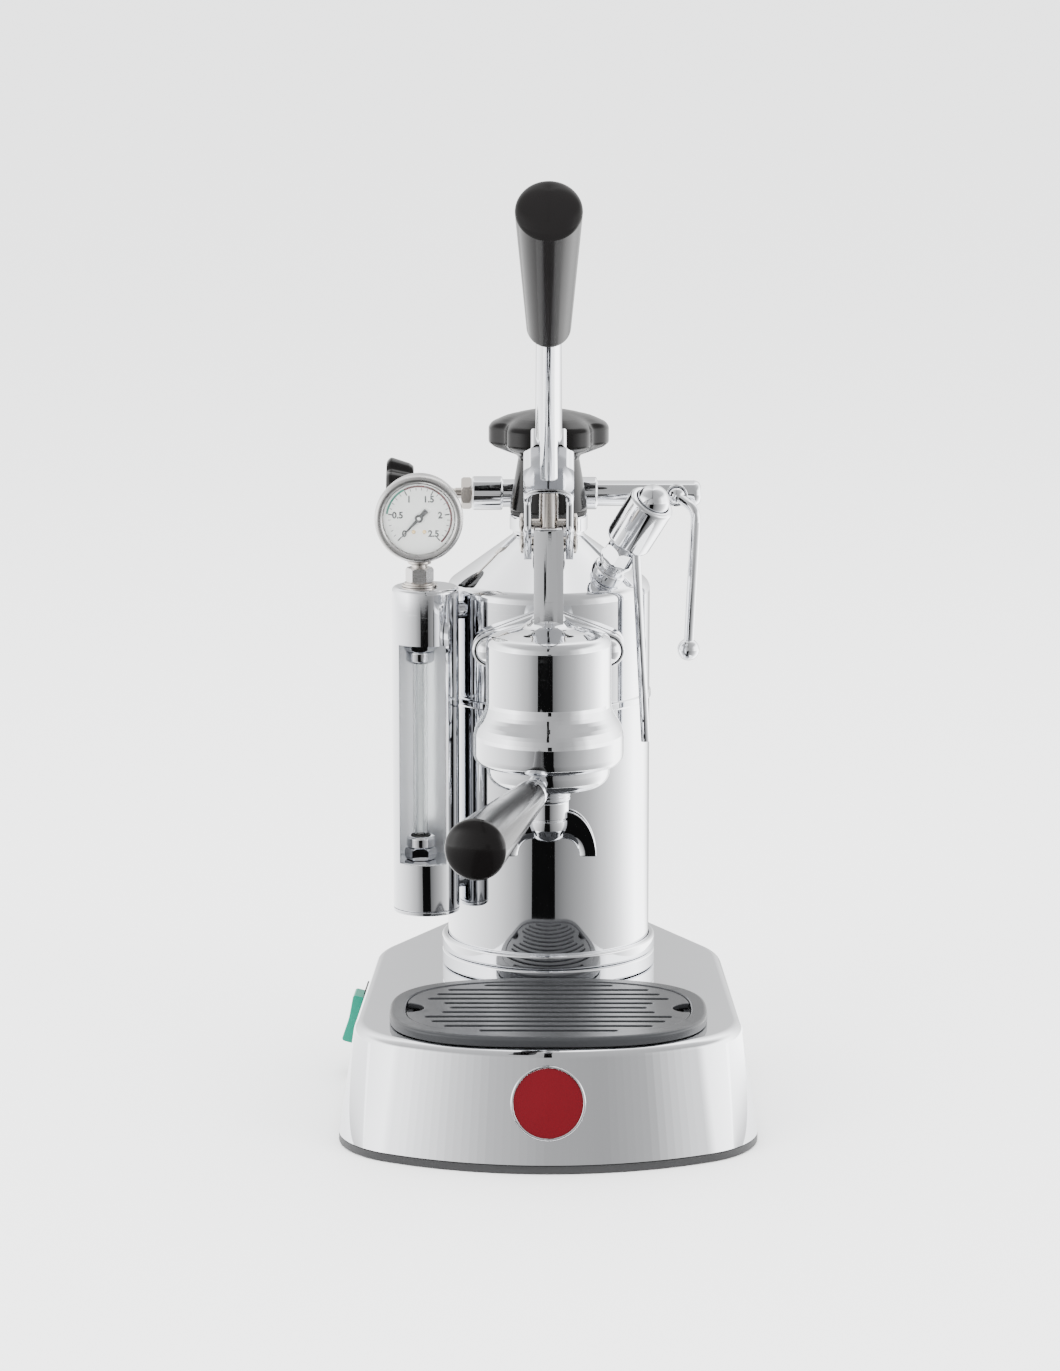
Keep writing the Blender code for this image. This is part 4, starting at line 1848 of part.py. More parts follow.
def steam_gland_nut():
    high = -TAP_LEFT - GAP
    low = high - GLAND_NUT_LENGTH
    nut = plate(
        "steam_gland_nut", [hexagon(GLAND_NUT_RADIUS)], GLAND_NUT_LENGTH, "nickel",
        tap_place() @ at(z=(low + high) / 2),
    )
    hole = bore("gland_nut_hole", SPINDLE_RADIUS + GAP, low - OVERRUN, high + OVERRUN, tap_place(), PIN_STEPS)
    return cut(nut, hole)


SPINDLE_OUTER_END = -TAP_LEFT - GLAND_NUT_LENGTH - SPINDLE_SHOWN


def steam_spindle():
    """The tap's needle, from its seat out to the knob."""
    tip = -TAP_LEFT + SPINDLE_INSIDE
    end = SPINDLE_OUTER_END - TAP_KNOB_BITE
    profile = [
        (0.0, tip),
        (SPINDLE_RADIUS, tip - 2 * SPINDLE_RADIUS),
        (SPINDLE_RADIUS, end),
        (0.0, end),
    ]
    return turned("steam_spindle", profile, "nickel", tap_place(), PIN_STEPS)


def steam_knob():
    """The tap's scalloped knob, wider at its outer face, with a hub round the spindle."""
    near = SPINDLE_OUTER_END
    hub_foot = near + TAP_KNOB_EDGE * 2
    far = near - TAP_KNOB_LENGTH
    lobe = CAP_LOBE_SHARE
    levels = [
        (far, TAP_KNOB_RADIUS * 0.8, lobe * 0.6),
        (far + TAP_KNOB_EDGE * 0.4, TAP_KNOB_RADIUS * 0.95, lobe),
        (far + TAP_KNOB_EDGE, TAP_KNOB_RADIUS, lobe),
        (near - TAP_KNOB_EDGE, TAP_KNOB_NEAR_RADIUS, lobe),
        (near, TAP_KNOB_NEAR_RADIUS * 0.88, lobe),
        (near, TAP_KNOB_HUB, 0.0),
        (hub_foot, TAP_KNOB_HUB * 0.9, 0.0),
    ]
    knob = loft("steam_knob", lobed_loops(levels, CAP_LOBES), "black_plastic", tap_place())
    low = near - TAP_KNOB_BITE - GAP
    spindle_hole = bore("knob_bore", SPINDLE_RADIUS + GAP, low, hub_foot + OVERRUN, tap_place(), PIN_STEPS)
    return cut(knob, spindle_hole)


def wand_route():
    """From the ball, out and forward, round a bend and down to the tip, about the ball."""
    knee = Vector((WAND_OUT, -WAND_FORWARD, -WAND_ARM_DROP))
    tip = Vector((WAND_OUT - WAND_LEAN, -WAND_FORWARD, -WAND_DROP))
    bend = WAND_ARM_DROP
    start = knee - knee.normalized() * bend
    end = knee + (tip - knee).normalized() * bend
    route = [Vector((0.0, 0.0, 0.0)), start]
    for i in range(1, WAND_BEND_POINTS):
        t = i / WAND_BEND_POINTS
        route.append(start * (1 - t) ** 2 + knee * 2 * t * (1 - t) + end * t ** 2)
    return [*route, end, tip]


def steam_wand():
    """The wand: a ball in the tap's socket, a bent tube and a round tip."""
    centre = Matrix.Translation(wand_ball_centre())
    tube = wire("steam_wand", wand_route(), WAND_RADIUS, "chrome", centre, resolution=2)
    socket_ball = ball("wand_ball", WAND_BALL_RADIUS, centre)
    tip = ball("wand_tip", WAND_TIP_RADIUS, centre @ Matrix.Translation(wand_route()[-1]))
    return join(tube, socket_ball, tip)


# Safety valve


def valve_heights():
    """Heights along the valve's axis, from its boss: hex foot, hex top, barrel foot, barrel top."""
    foot = VALVE_BOSS_RISE + GAP
    hex_foot = foot + VALVE_NECK
    hex_top = hex_foot + VALVE_HEX_HEIGHT
    barrel_foot = hex_top + VALVE_WAIST
    return foot, hex_foot, hex_top, barrel_foot, barrel_foot + VALVE_HEIGHT


def overflow_start():
    """Where the overflow tube enters the underside of the valve's barrel."""
    _, _, _, barrel_foot, _ = valve_heights()
    offset = VALVE_RADIUS * OVERFLOW_SIDE_SHARE
    heading = Vector((math.cos(-VALVE_AZIMUTH), math.sin(-VALVE_AZIMUTH)))
    local = Vector((0.0, 0.0, barrel_foot))
    base = valve_frame() @ local
    return Vector((base.x + offset * heading.x, base.y + offset * heading.y, base.z - offset * CONE_SLOPE))


def overflow_direction():
    down = Vector((OVERFLOW_LEAN, 0.0, -OVERFLOW_LENGTH))
    return down.normalized()


def overflow_frame():
    """A frame on the tube's upper end with +Z down the tube."""
    direction = overflow_direction()
    turn = direction.to_track_quat("Z", "Y").to_matrix().to_4x4()
    return Matrix.Translation(overflow_start()) @ turn


def safety_valve_body():
    """The valve: spigot, hexagon, barrel and the socket for its overflow tube."""
    foot, hex_foot, hex_top, barrel_foot, top = valve_heights()
    frame = valve_frame()
    profile = [
        (0.0, top),
        (VALVE_RADIUS, top),
        (VALVE_RADIUS, barrel_foot + VALVE_EDGE),
        (VALVE_RADIUS - VALVE_EDGE * 0.3, barrel_foot + VALVE_EDGE * 0.3),
        (VALVE_RADIUS - VALVE_EDGE, barrel_foot),
        (VALVE_NECK_RADIUS, barrel_foot),
        (VALVE_NECK_RADIUS, foot),
        (VALVE_SPIGOT_RADIUS, foot),
        (VALVE_SPIGOT_RADIUS, foot - VALVE_SPIGOT_LENGTH),
        (0.0, foot - VALVE_SPIGOT_LENGTH),
    ]
    body = turned("safety_valve_body", profile, "chrome", frame, MEDIUM_STEPS)
    join(body, hex_block("valve_hex", VALVE_HEX, hex_foot, hex_top, frame))
    bore_foot = top - VALVE_BORE_DEPTH
    chamber = bore("valve_bore", VALVE_BORE, bore_foot, top + OVERRUN, frame)
    way = bore("valve_way", VALVE_SPIGOT_RADIUS / 2, foot - VALVE_SPIGOT_LENGTH - OVERRUN, top, frame,
               PIN_STEPS)
    socket = bore("overflow_socket", OVERFLOW_RADIUS + GAP, -OVERFLOW_BITE - GAP, VALVE_RADIUS,
                  overflow_frame(), PIN_STEPS)
    return cut(body, chamber, way, socket)


def safety_valve_cap():
    """The domed cap that closes the valve's barrel."""
    _, _, _, _, top = valve_heights()
    radius = VALVE_CAP_RADIUS
    low = top - VALVE_BORE_DEPTH / 2
    profile = [(0.0, top + radius)]
    for i in range(1, 6):
        angle = QUARTER_TURN * (1 - i / 6)
        profile.append((radius * math.cos(angle), top + radius * math.sin(angle)))
    profile += [(radius, top), (radius, low), (0.0, low)]
    return turned("safety_valve_cap", profile, "chrome", valve_frame(), MEDIUM_STEPS)


def overflow_tube():
    profile = tube_profile(OVERFLOW_RADIUS, OVERFLOW_RADIUS - OVERFLOW_WALL, -OVERFLOW_BITE, OVERFLOW_LENGTH)
    return turned("overflow_tube", profile, "chrome", overflow_frame(), SMALL_STEPS, ring=True)


# Sight glass


def column(x_offset=0.0):
    return at(-SIGHT_LEFT - x_offset, -SIGHT_FRONT)


def sight_guard():
    """The chromed tube round the glass, closed at the top, with a window to the front."""
    inner = GUARD_RADIUS - GUARD_WALL
    foot = SIGHT_FOOT_Z + FITTING_FLANGE + GAP
    roof = SIGHT_TOP_Z - GUARD_ROOF
    profile = [
        (0.0, SIGHT_TOP_Z),
        (GUARD_RADIUS - GUARD_EDGE, SIGHT_TOP_Z),
        (GUARD_RADIUS, SIGHT_TOP_Z - GUARD_EDGE),
        (GUARD_RADIUS, foot),
        (inner, foot),
        (inner, roof),
        (0.0, roof),
    ]
    guard = turned("sight_guard", profile, "chrome", column(), MEDIUM_STEPS)
    tall = GUARD_WINDOW_TOP_Z - GUARD_WINDOW_FOOT_Z
    size = (GUARD_WINDOW_WIDTH, GUARD_RADIUS, tall)
    middle_z = (GUARD_WINDOW_TOP_Z + GUARD_WINDOW_FOOT_Z) / 2
    place = at(GLASS_X + GLASS_OFFSET / 2, -SIGHT_FRONT - GUARD_RADIUS, middle_z)
    window = box(helper_name("guard_window"), size, None, place)
    stem = bore("guard_stem_hole", GAUGE_SPIGOT_RADIUS + GAP, roof - OVERRUN, SIGHT_TOP_Z + OVERRUN,
                column(GLASS_OFFSET), PIN_STEPS)
    cut(guard, window, stem)
    for z in SIGHT_ARM_Z:
        cut(guard, bore("guard_arm_hole", FITTING_ARM_RADIUS + GAP, 0.0, 2 * GUARD_RADIUS,
                        sight_arm_place(z), PIN_STEPS))
    return guard


def fitting_arm(z):
    reach = SIGHT_DISTANCE - BOILER_INNER + FITTING_ARM_INSIDE
    return cylinder("fitting_arm", FITTING_ARM_RADIUS, 0.0, reach, sight_arm_place(z), PIN_STEPS)


def fitting_bore(z):
    reach = SIGHT_DISTANCE - BOILER_INNER + FITTING_ARM_INSIDE + OVERRUN
    return bore("fitting_bore", FITTING_ARM_RADIUS / 2, 0.0, reach, sight_arm_place(z), PIN_STEPS)


def sight_bottom_fitting():
    """The lower fitting: a flange that closes the guard, a block, and an arm to the boiler."""
    flange_top = SIGHT_FOOT_Z + FITTING_FLANGE
    top = flange_top + FITTING_HEIGHT
    profile = [
        (0.0, top),
        (FITTING_RADIUS, top),
        (FITTING_RADIUS, flange_top),
        (GUARD_RADIUS, flange_top),
        (GUARD_RADIUS, SIGHT_FOOT_Z + FITTING_FLANGE / 3),
        (GUARD_RADIUS - FITTING_FLANGE / 2, SIGHT_FOOT_Z),
        (0.0, SIGHT_FOOT_Z),
    ]
    block = turned("sight_bottom_fitting", profile, "chrome", column(), MEDIUM_STEPS)
    join(block, fitting_arm(SIGHT_ARM_Z[0]))
    seat = bore("lower_glass_seat", GLASS_RADIUS + GAP, top - GLASS_BITE - GAP, top + OVERRUN,
                column(GLASS_OFFSET), PIN_STEPS)
    way = bore("lower_way", GLASS_RADIUS / 2, SIGHT_ARM_Z[0], top + OVERRUN, column(GLASS_OFFSET), PIN_STEPS)
    return cut(block, seat, way, fitting_bore(SIGHT_ARM_Z[0]))


def sight_top_fitting():
    """The upper fitting: a block under the guard's roof, an arm, and the gauge's stem."""
    top = SIGHT_TOP_Z - GUARD_ROOF - GAP
    foot = top - FITTING_HEIGHT
    profile = [(0.0, top), (FITTING_RADIUS, top), (FITTING_RADIUS, foot), (0.0, foot)]
    block = turned("sight_top_fitting", profile, "chrome", column(), MEDIUM_STEPS)
    stem_top = GAUGE_NUT_Z + GAUGE_NUT_HEIGHT / 2
    stem = cylinder("gauge_stem", GAUGE_SPIGOT_RADIUS, top - FITTING_FLANGE, stem_top,
                    column(GLASS_OFFSET), PIN_STEPS)
    join(block, fitting_arm(SIGHT_ARM_Z[1]), stem)
    seat = bore("upper_glass_seat", GLASS_RADIUS + GAP, foot - OVERRUN, foot + GLASS_BITE + GAP,
                column(GLASS_OFFSET), PIN_STEPS)
    way = bore("upper_way", GLASS_RADIUS / 2, foot - OVERRUN, stem_top + OVERRUN, column(GLASS_OFFSET),
               PIN_STEPS)
    return cut(block, seat, way, fitting_bore(SIGHT_ARM_Z[1]))


def fitting_faces():
    """The heights between which the glass shows: the lower block's top and the upper's foot."""
    low = SIGHT_FOOT_Z + FITTING_FLANGE + FITTING_HEIGHT
    high = SIGHT_TOP_Z - GUARD_ROOF - GAP - FITTING_HEIGHT
    return low, high


def sight_glass():
    low, high = fitting_faces()
    profile = tube_profile(GLASS_RADIUS, GLASS_RADIUS - GLASS_WALL, low - GLASS_BITE, high + GLASS_BITE)
    return turned("sight_glass", profile, "glass", column(GLASS_OFFSET), SMALL_STEPS, ring=True)


def sight_nut(name, seat, outward):
    """A gland nut on the glass: a hexagon next to the collar that meets the fitting."""
    start = seat + outward * GAP
    collar_end = start + outward * SIGHT_NUT_COLLAR
    end = collar_end + outward * SIGHT_NUT_HEX
    low, high = sorted((collar_end, end))
    centre = column(GLASS_OFFSET) @ at(z=(low + high) / 2)
    nut = plate(name, [hexagon(SIGHT_NUT_RADIUS)], high - low, "chrome", centre)
    collar_low, collar_high = sorted((start, end - outward * SIGHT_NUT_HEX / 2))
    collar = cylinder("nut_collar", SIGHT_NUT_COLLAR_RADIUS, collar_low, collar_high, column(GLASS_OFFSET))
    hole_low = min(start, end) - OVERRUN
    hole_high = max(start, end) + OVERRUN
    hole = bore("nut_hole", GLASS_RADIUS + GAP, hole_low, hole_high, column(GLASS_OFFSET), PIN_STEPS)
    return cut(join(nut, collar), hole)


# Gauge


def gauge_place():
    """A frame on the gauge's axis with +Z towards the front and its origin on the bezel's face."""
    return at(GLASS_X, GAUGE_FACE_Y, GAUGE_Z) @ TO_FRONT


def gauge_nut():
    middle = column(GLASS_OFFSET) @ at(z=GAUGE_NUT_Z + GAUGE_NUT_HEIGHT / 2)
    nut = plate("gauge_nut", [hexagon(GAUGE_NUT_RADIUS)], GAUGE_NUT_HEIGHT, "nickel", middle)
    low = GAUGE_NUT_Z - OVERRUN
    high = GAUGE_NUT_Z + GAUGE_NUT_HEIGHT + OVERRUN
    return cut(nut, bore("gauge_nut_hole", GAUGE_SPIGOT_RADIUS + GAP, low, high, column(GLASS_OFFSET),
                         PIN_STEPS))


def gauge_case():
    """The gauge's cup, open to the front, with the lug and spigot that it stands on."""
    back = -GAUGE_DEPTH
    inner = GAUGE_RADIUS - GAUGE_WALL
    front = -GAUGE_BEZEL_DEPTH / 2
    profile = [
        (0.0, back + GAUGE_WALL),
        (inner - GAUGE_WALL, back + GAUGE_WALL),
        (inner, back + 2 * GAUGE_WALL),
        (inner, front),
        (GAUGE_RADIUS, front),
        (GAUGE_RADIUS, back + GAUGE_WALL),
        (GAUGE_RADIUS - GAUGE_WALL, back),
        (0.0, back),
    ]
    case = turned("gauge_case", profile, "satin_steel", gauge_place(), FINE_STEPS)
    lug_top = GAUGE_LUG_Z + GAUGE_LUG_HEIGHT + GAUGE_WALL / 2
    lug = cylinder("gauge_lug", GAUGE_LUG_RADIUS, GAUGE_LUG_Z, lug_top, column(GLASS_OFFSET))
    spigot_foot = GAUGE_NUT_Z + GAUGE_NUT_HEIGHT / 2 + GAP
    spigot = cylinder("gauge_spigot", GAUGE_SPIGOT_RADIUS, spigot_foot, GAUGE_LUG_Z + GAUGE_WALL,
                      column(GLASS_OFFSET), PIN_STEPS)
    return join(case, lug, spigot)


def gauge_bezel():
    """The rolled ring that holds the lens on the case."""
    outer = GAUGE_BEZEL_RADIUS
    depth = GAUGE_BEZEL_DEPTH
    opening = GAUGE_BEZEL_OPENING
    lip = GAUGE_LENS / 2
    profile = [
        (opening, 0.0),
        (outer - depth * 0.3, 0.0),
        (outer - depth * 0.08, -depth * 0.12),
        (outer, -depth * 0.3),
        (outer, -depth),
        (GAUGE_RADIUS + GAP, -depth),
        (GAUGE_RADIUS + GAP, -lip),
        (opening, -lip),
    ]
    return turned("gauge_bezel", profile, "satin_steel", gauge_place(), FINE_STEPS, ring=True)


def gauge_lens():
    high = -GAUGE_LENS / 2 - GAP
    radius = GAUGE_RADIUS - GAUGE_WALL - GAP
    low = high - GAUGE_LENS
    profile = [(0.0, high), (radius, high), (radius, low), (0.0, low)]
    return turned("gauge_lens", profile, "glass", gauge_place(), FINE_STEPS)


def gauge_dial():
    high = -GAUGE_DIAL_SET_IN
    radius = GAUGE_RADIUS - GAUGE_WALL - GAP
    low = high - GAUGE_DIAL
    hole = NEEDLE_SHAFT_RADIUS + GAP
    profile = [(radius, high), (radius, low), (hole, low), (hole, high)]
    return turned("gauge_dial", profile, "dial_white", gauge_place(), FINE_STEPS, ring=True)


def gauge_needle():
    """The pointer over the dial at its rest mark, with its hub and shaft."""
    outline = [
        (NEEDLE_LENGTH, 0.0),
        (0.0, NEEDLE_HALF_WIDTH),
        (-NEEDLE_TAIL, NEEDLE_HALF_WIDTH),
        (-NEEDLE_TAIL, -NEEDLE_HALF_WIDTH),
        (0.0, -NEEDLE_HALF_WIDTH),
    ]
    low = -GAUGE_DIAL_SET_IN + GAP
    frame = gauge_place() @ turn_z(NEEDLE_ANGLE)
    needle = plate("gauge_needle", [outline], NEEDLE_THICKNESS, "matte_black",
                   frame @ at(z=low + NEEDLE_THICKNESS / 2))
    hub = cylinder("needle_hub", NEEDLE_HUB_RADIUS, low, low + 2 * NEEDLE_THICKNESS, gauge_place(), PIN_STEPS)
    shaft_foot = -GAUGE_DEPTH + GAUGE_WALL + GAP
    shaft = cylinder("needle_shaft", NEEDLE_SHAFT_RADIUS, shaft_foot, low + NEEDLE_THICKNESS,
                     gauge_place(), PIN_STEPS)
    return join(needle, hub, shaft)


def build():
    base_shell()
    base_pan()
    badge()
    switch_frame()
    switch_rocker()
    pilot_lamp()
    cord_gland()
    pressure_switch()
    drip_tray()
    drip_grille()
    boiler_shell()
    boiler_lower_ring()
    boiler_upper_ring()
    boiler_gasket()
    heating_element()
    boiler_ring_nut()
    group_body()
    group_gasket()
    group_bolt("group_bolt_left", -1)
    group_bolt("group_bolt_right", 1)
    dip_tube()
    cylinder_sleeve()
    shower_screen()
    group_seal()
    piston_head()
    piston_seal("piston_seal_lower", PISTON_SEAL_SHARES[0])
    piston_seal("piston_seal_upper", PISTON_SEAL_SHARES[1])
    piston_rod()
    linkage_pin("pivot_pin", PIVOT_PIN_RADIUS, PIVOT_Y, PIVOT_Z)
    linkage_pin("rod_pin", ROD_PIN_RADIUS, -GROUP_REACH, PIN_REST_Z)
    lever_fork()
    lever_handle()
    portafilter_body()
    portafilter_ferrule()
    portafilter_handle()
    filter_basket()
    spout()
    cap_knob()
    cap_gasket()
    steam_tap_body()
    steam_gland_nut()
    steam_spindle()
    steam_knob()
    steam_wand()
    safety_valve_body()
    safety_valve_cap()
    overflow_tube()
    sight_guard()
    sight_bottom_fitting()
    sight_top_fitting()
    sight_glass()
    low, high = fitting_faces()
    sight_nut("sight_nut_lower", low, 1)
    sight_nut("sight_nut_upper", high, -1)
    gauge_nut()
    gauge_case()
    gauge_bezel()
    gauge_lens()
    gauge_dial()
    gauge_needle()


build()
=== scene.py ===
"""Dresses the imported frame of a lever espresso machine: fine shapes, finishes, light and camera.

Sizes are in metres in the frame's own axes: +X to the machine's right, -Y to its front, +Z up,
with the origin on the boiler's axis at the table.
"""

import logging
import math
from collections.abc import Callable, Sequence
from dataclasses import dataclass
from enum import Enum

import bmesh
import bpy
from mathutils import Matrix, Vector


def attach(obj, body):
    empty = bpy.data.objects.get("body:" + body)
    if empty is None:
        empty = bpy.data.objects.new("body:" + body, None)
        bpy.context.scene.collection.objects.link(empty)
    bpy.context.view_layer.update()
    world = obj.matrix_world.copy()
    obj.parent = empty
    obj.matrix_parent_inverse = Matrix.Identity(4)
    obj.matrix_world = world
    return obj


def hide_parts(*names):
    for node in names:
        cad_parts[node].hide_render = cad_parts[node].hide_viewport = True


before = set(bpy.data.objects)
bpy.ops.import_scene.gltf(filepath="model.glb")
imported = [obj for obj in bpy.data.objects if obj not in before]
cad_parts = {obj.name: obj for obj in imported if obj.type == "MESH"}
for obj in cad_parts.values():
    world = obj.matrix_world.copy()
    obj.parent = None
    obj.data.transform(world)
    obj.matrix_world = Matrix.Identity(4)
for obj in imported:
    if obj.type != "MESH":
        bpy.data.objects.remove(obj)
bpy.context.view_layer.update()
LOG = logging.getLogger("lever_machine")

MM = 0.001
GAP = 0.3 * MM
QUARTER = math.pi / 2
FULL_TURN = 2 * math.pi
ARC_STEP = math.radians(9)
SUPPORT = 0.25 * MM
LONG_SIDE = 1.5 * MM
MERGE = 0.001 * MM
COAT_ROUGHNESS = 0.05
BUMP_DEPTH = 0.2 * MM
FINE_STEPS = 160
ROUND_STEPS = 112
SMALL_STEPS = 56

# Places that several sub-assemblies share
BASE_TOP = 57.0 * MM
BOILER_RADIUS = 50.0 * MM
GROUP_REACH = 90.0 * MM
GROUP_NECK_Z = 226.5 * MM
PIVOT = Vector((0.0, -65.0 * MM, 280.0 * MM))
PIN_Z = 293.0 * MM
BOWL_RADIUS = 29.45 * MM
STEM_Z = 169.6 * MM
SIGHT_X = -60.03 * MM
GLASS_X = -62.83 * MM
SIGHT_Y = -33.0 * MM
NECK_BORE = 14.2 * MM
TRAY_HALF_WIDE, TRAY_HALF_DEEP = 76.0 * MM, 57.0 * MM
TRAY_Y = -110.8 * MM
TRAY_SQUARENESS = 2.7

ORIGIN = Vector((0.0, 0.0))
UP = Vector((0.0, 0.0, 1.0))

Corner = tuple[float, ...]
Loop = list[Vector]
Piece = bpy.types.Object
Socket = bpy.types.NodeSocket


def at(x: float = 0.0, y: float = 0.0, z: float = 0.0) -> Matrix:
    """A move, as a matrix."""
    return Matrix.Translation((x, y, z))


def turn(angle: float, axis: str) -> Matrix:
    """A turn about X, Y or Z, as a matrix."""
    return Matrix.Rotation(angle, 4, axis)


TO_FRONT = turn(QUARTER, "X")
TO_RIGHT = turn(QUARTER, "Y")
GROUP_AXIS = at(y=-GROUP_REACH)


def fan(steps: int, end: float = QUARTER) -> list[float]:
    """Angles from zero to an end, in equal steps."""
    return [end * i / steps for i in range(steps + 1)]


def dome(radius: float, foot: float, rise: float, steps: int, end: float = QUARTER) -> list[Corner]:
    """The profile of a dome, from its top down.

    Args:
        radius: its radius at the foot.
        foot: the height of its foot.
        rise: how far its top lies over the foot.
        steps: how many steps the profile has.
        end: where it ends, as an angle from the top.

    Returns:
        The corners.
    """
    return [(radius * math.sin(a), foot + rise * math.cos(a)) for a in fan(steps, end)]


def arc(centre: Vector, radius: float, start: float, end: float, step: float = ARC_STEP) -> Loop:
    """Points on a circle.

    Args:
        centre: the circle's middle.
        radius: its radius.
        start: the first angle.
        end: the last angle.
        step: the largest turn between two points.

    Returns:
        The points, both ends included.
    """
    count = max(2, math.ceil(abs(end - start) / step))
    angles = [start + (end - start) * i / count for i in range(count + 1)]
    return [centre + Vector((math.cos(a), math.sin(a))) * radius for a in angles]


def with_supports(line: Loop, closed: bool) -> Loop:
    """Adds a point close to each end of every long side, which keeps the side's shading flat.

    Args:
        line: the points of a profile or an outline.
        closed: whether the last point joins the first.

    Returns:
        The line with its support points.
    """
    full: Loop = []
    for i, here in enumerate(line):
        full.append(here)
        if i == len(line) - 1 and not closed:
            break
        there = line[(i + 1) % len(line)]
        side = there - here
        if side.length > LONG_SIDE:
            step = side.normalized() * SUPPORT
            full += [here + step, there - step]
    return full


def rounded(corners: Sequence[Corner], closed: bool = False, step: float = ARC_STEP) -> Loop:
    """Rounds the corners of a line. Neighbours share a side that is too short for both.

    Args:
        corners: (across, up) or (across, up, radius) for each corner.
        closed: whether the last corner joins the first.
        step: the largest turn between two points of an arc.

    Returns:
        The rounded line, with support points on its long sides.
    """
    count = len(corners)
    points = [Vector(corner[:2]) for corner in corners]
    halves, wanted = [], []
    for i, here in enumerate(points):
        radius = corners[i][2] if len(corners[i]) > 2 else 0.0
        inner = closed or 0 < i < count - 1
        before, after = points[i - 1] - here, points[(i + 1) % count] - here
        half = before.angle(after) / 2 if inner else QUARTER
        halves.append(half)
        wanted.append(radius / math.tan(half) if inner and radius else 0.0)
    line: Loop = []
    for i, here in enumerate(points):
        if wanted[i] < SUPPORT / 50:
            line.append(here)
            continue
        before, after = points[i - 1] - here, points[(i + 1) % count] - here
        reach = wanted[i]
        for side, other in ((before, wanted[i - 1]), (after, wanted[(i + 1) % count])):
            if reach + other > side.length:
                reach = min(reach, side.length * wanted[i] / (wanted[i] + other) * 0.999)
        inwards = (before.normalized() + after.normalized()).normalized()
        middle = here + inwards * (reach / math.cos(halves[i]))
        first = here + before.normalized() * reach - middle
        last = here + after.normalized() * reach - middle
        start = math.atan2(first.y, first.x)
        sweep = math.remainder(math.atan2(last.y, last.x) - start, 2 * math.pi)
        line += arc(middle, first.length, start, start + sweep, step)
    return with_supports(line, closed)


def mm(*corners: Corner) -> list[Corner]:
    """Corners given in millimetres, in metres."""
    return [tuple(value * MM for value in corner) for corner in corners]


def ridges(radius: float, high: float, low: float, depth: float, count: int) -> list[Corner]:
    """The corners of a ridged stretch of a turned profile, such as a thread.

    Args:
        radius: the radius over the ridges.
        high: the stretch's upper end.
        low: its lower end.
        depth: how deep the grooves are.
        count: how many grooves there are.

    Returns:
        The corners, from the top down.
    """
    pitch = (high - low) / count
    line: list[Corner] = []
    for i in range(count):
        top = high - pitch * i
        soft = depth * 0.4
        line += [(radius, top - pitch * 0.2, soft), (radius - depth, top - pitch * 0.5, soft),
                 (radius, top - pitch * 0.8, soft)]
    return line


class Finish(Enum):
    """The finishes. All but the grip's and the guard's inside are slots of the record; those two
    are copies of the black plastic and the chrome, with painted shade on the grip and painted light
    on the guard's inside.
    """

    CHROME = "chrome"
    NICKEL = "nickel"
    BRASS = "brass"
    STEEL = "steel"
    SATIN = "satin_steel"
    BLACK_GLOSS = "black_plastic"
    BLACK_MATTE = "matte_black"
    GRIP = "grip_plastic_shaded"
    TRAY = "tray_grey"
    GREEN = "green_plastic"
    ENAMEL = "red_enamel"
    RUBBER = "rubber"
    DIAL = "dial_white"
    GLASS = "glass"
    AMBER = "lamp_amber"
    INSIDE = "guard_inside_lightened"


@dataclass(frozen=True)
class FinishLook:
    """What a finish looks like: two colours that drift into each other, gloss, relief, and a
    painted glow that brightens some finishes that are no lamps.
    """

    colour: tuple[float, float, float]
    second: tuple[float, float, float]
    roughness: float
    play: float = 0.05
    metallic: float = 0.0
    coat: float = 0.0
    drift: float = 25.0
    grain: float = 900.0
    relief: float = 0.02
    marks: float = 0.0
    painted_glow: float = 0.0
    transmission: float = 0.0
    specular: float = 0.5


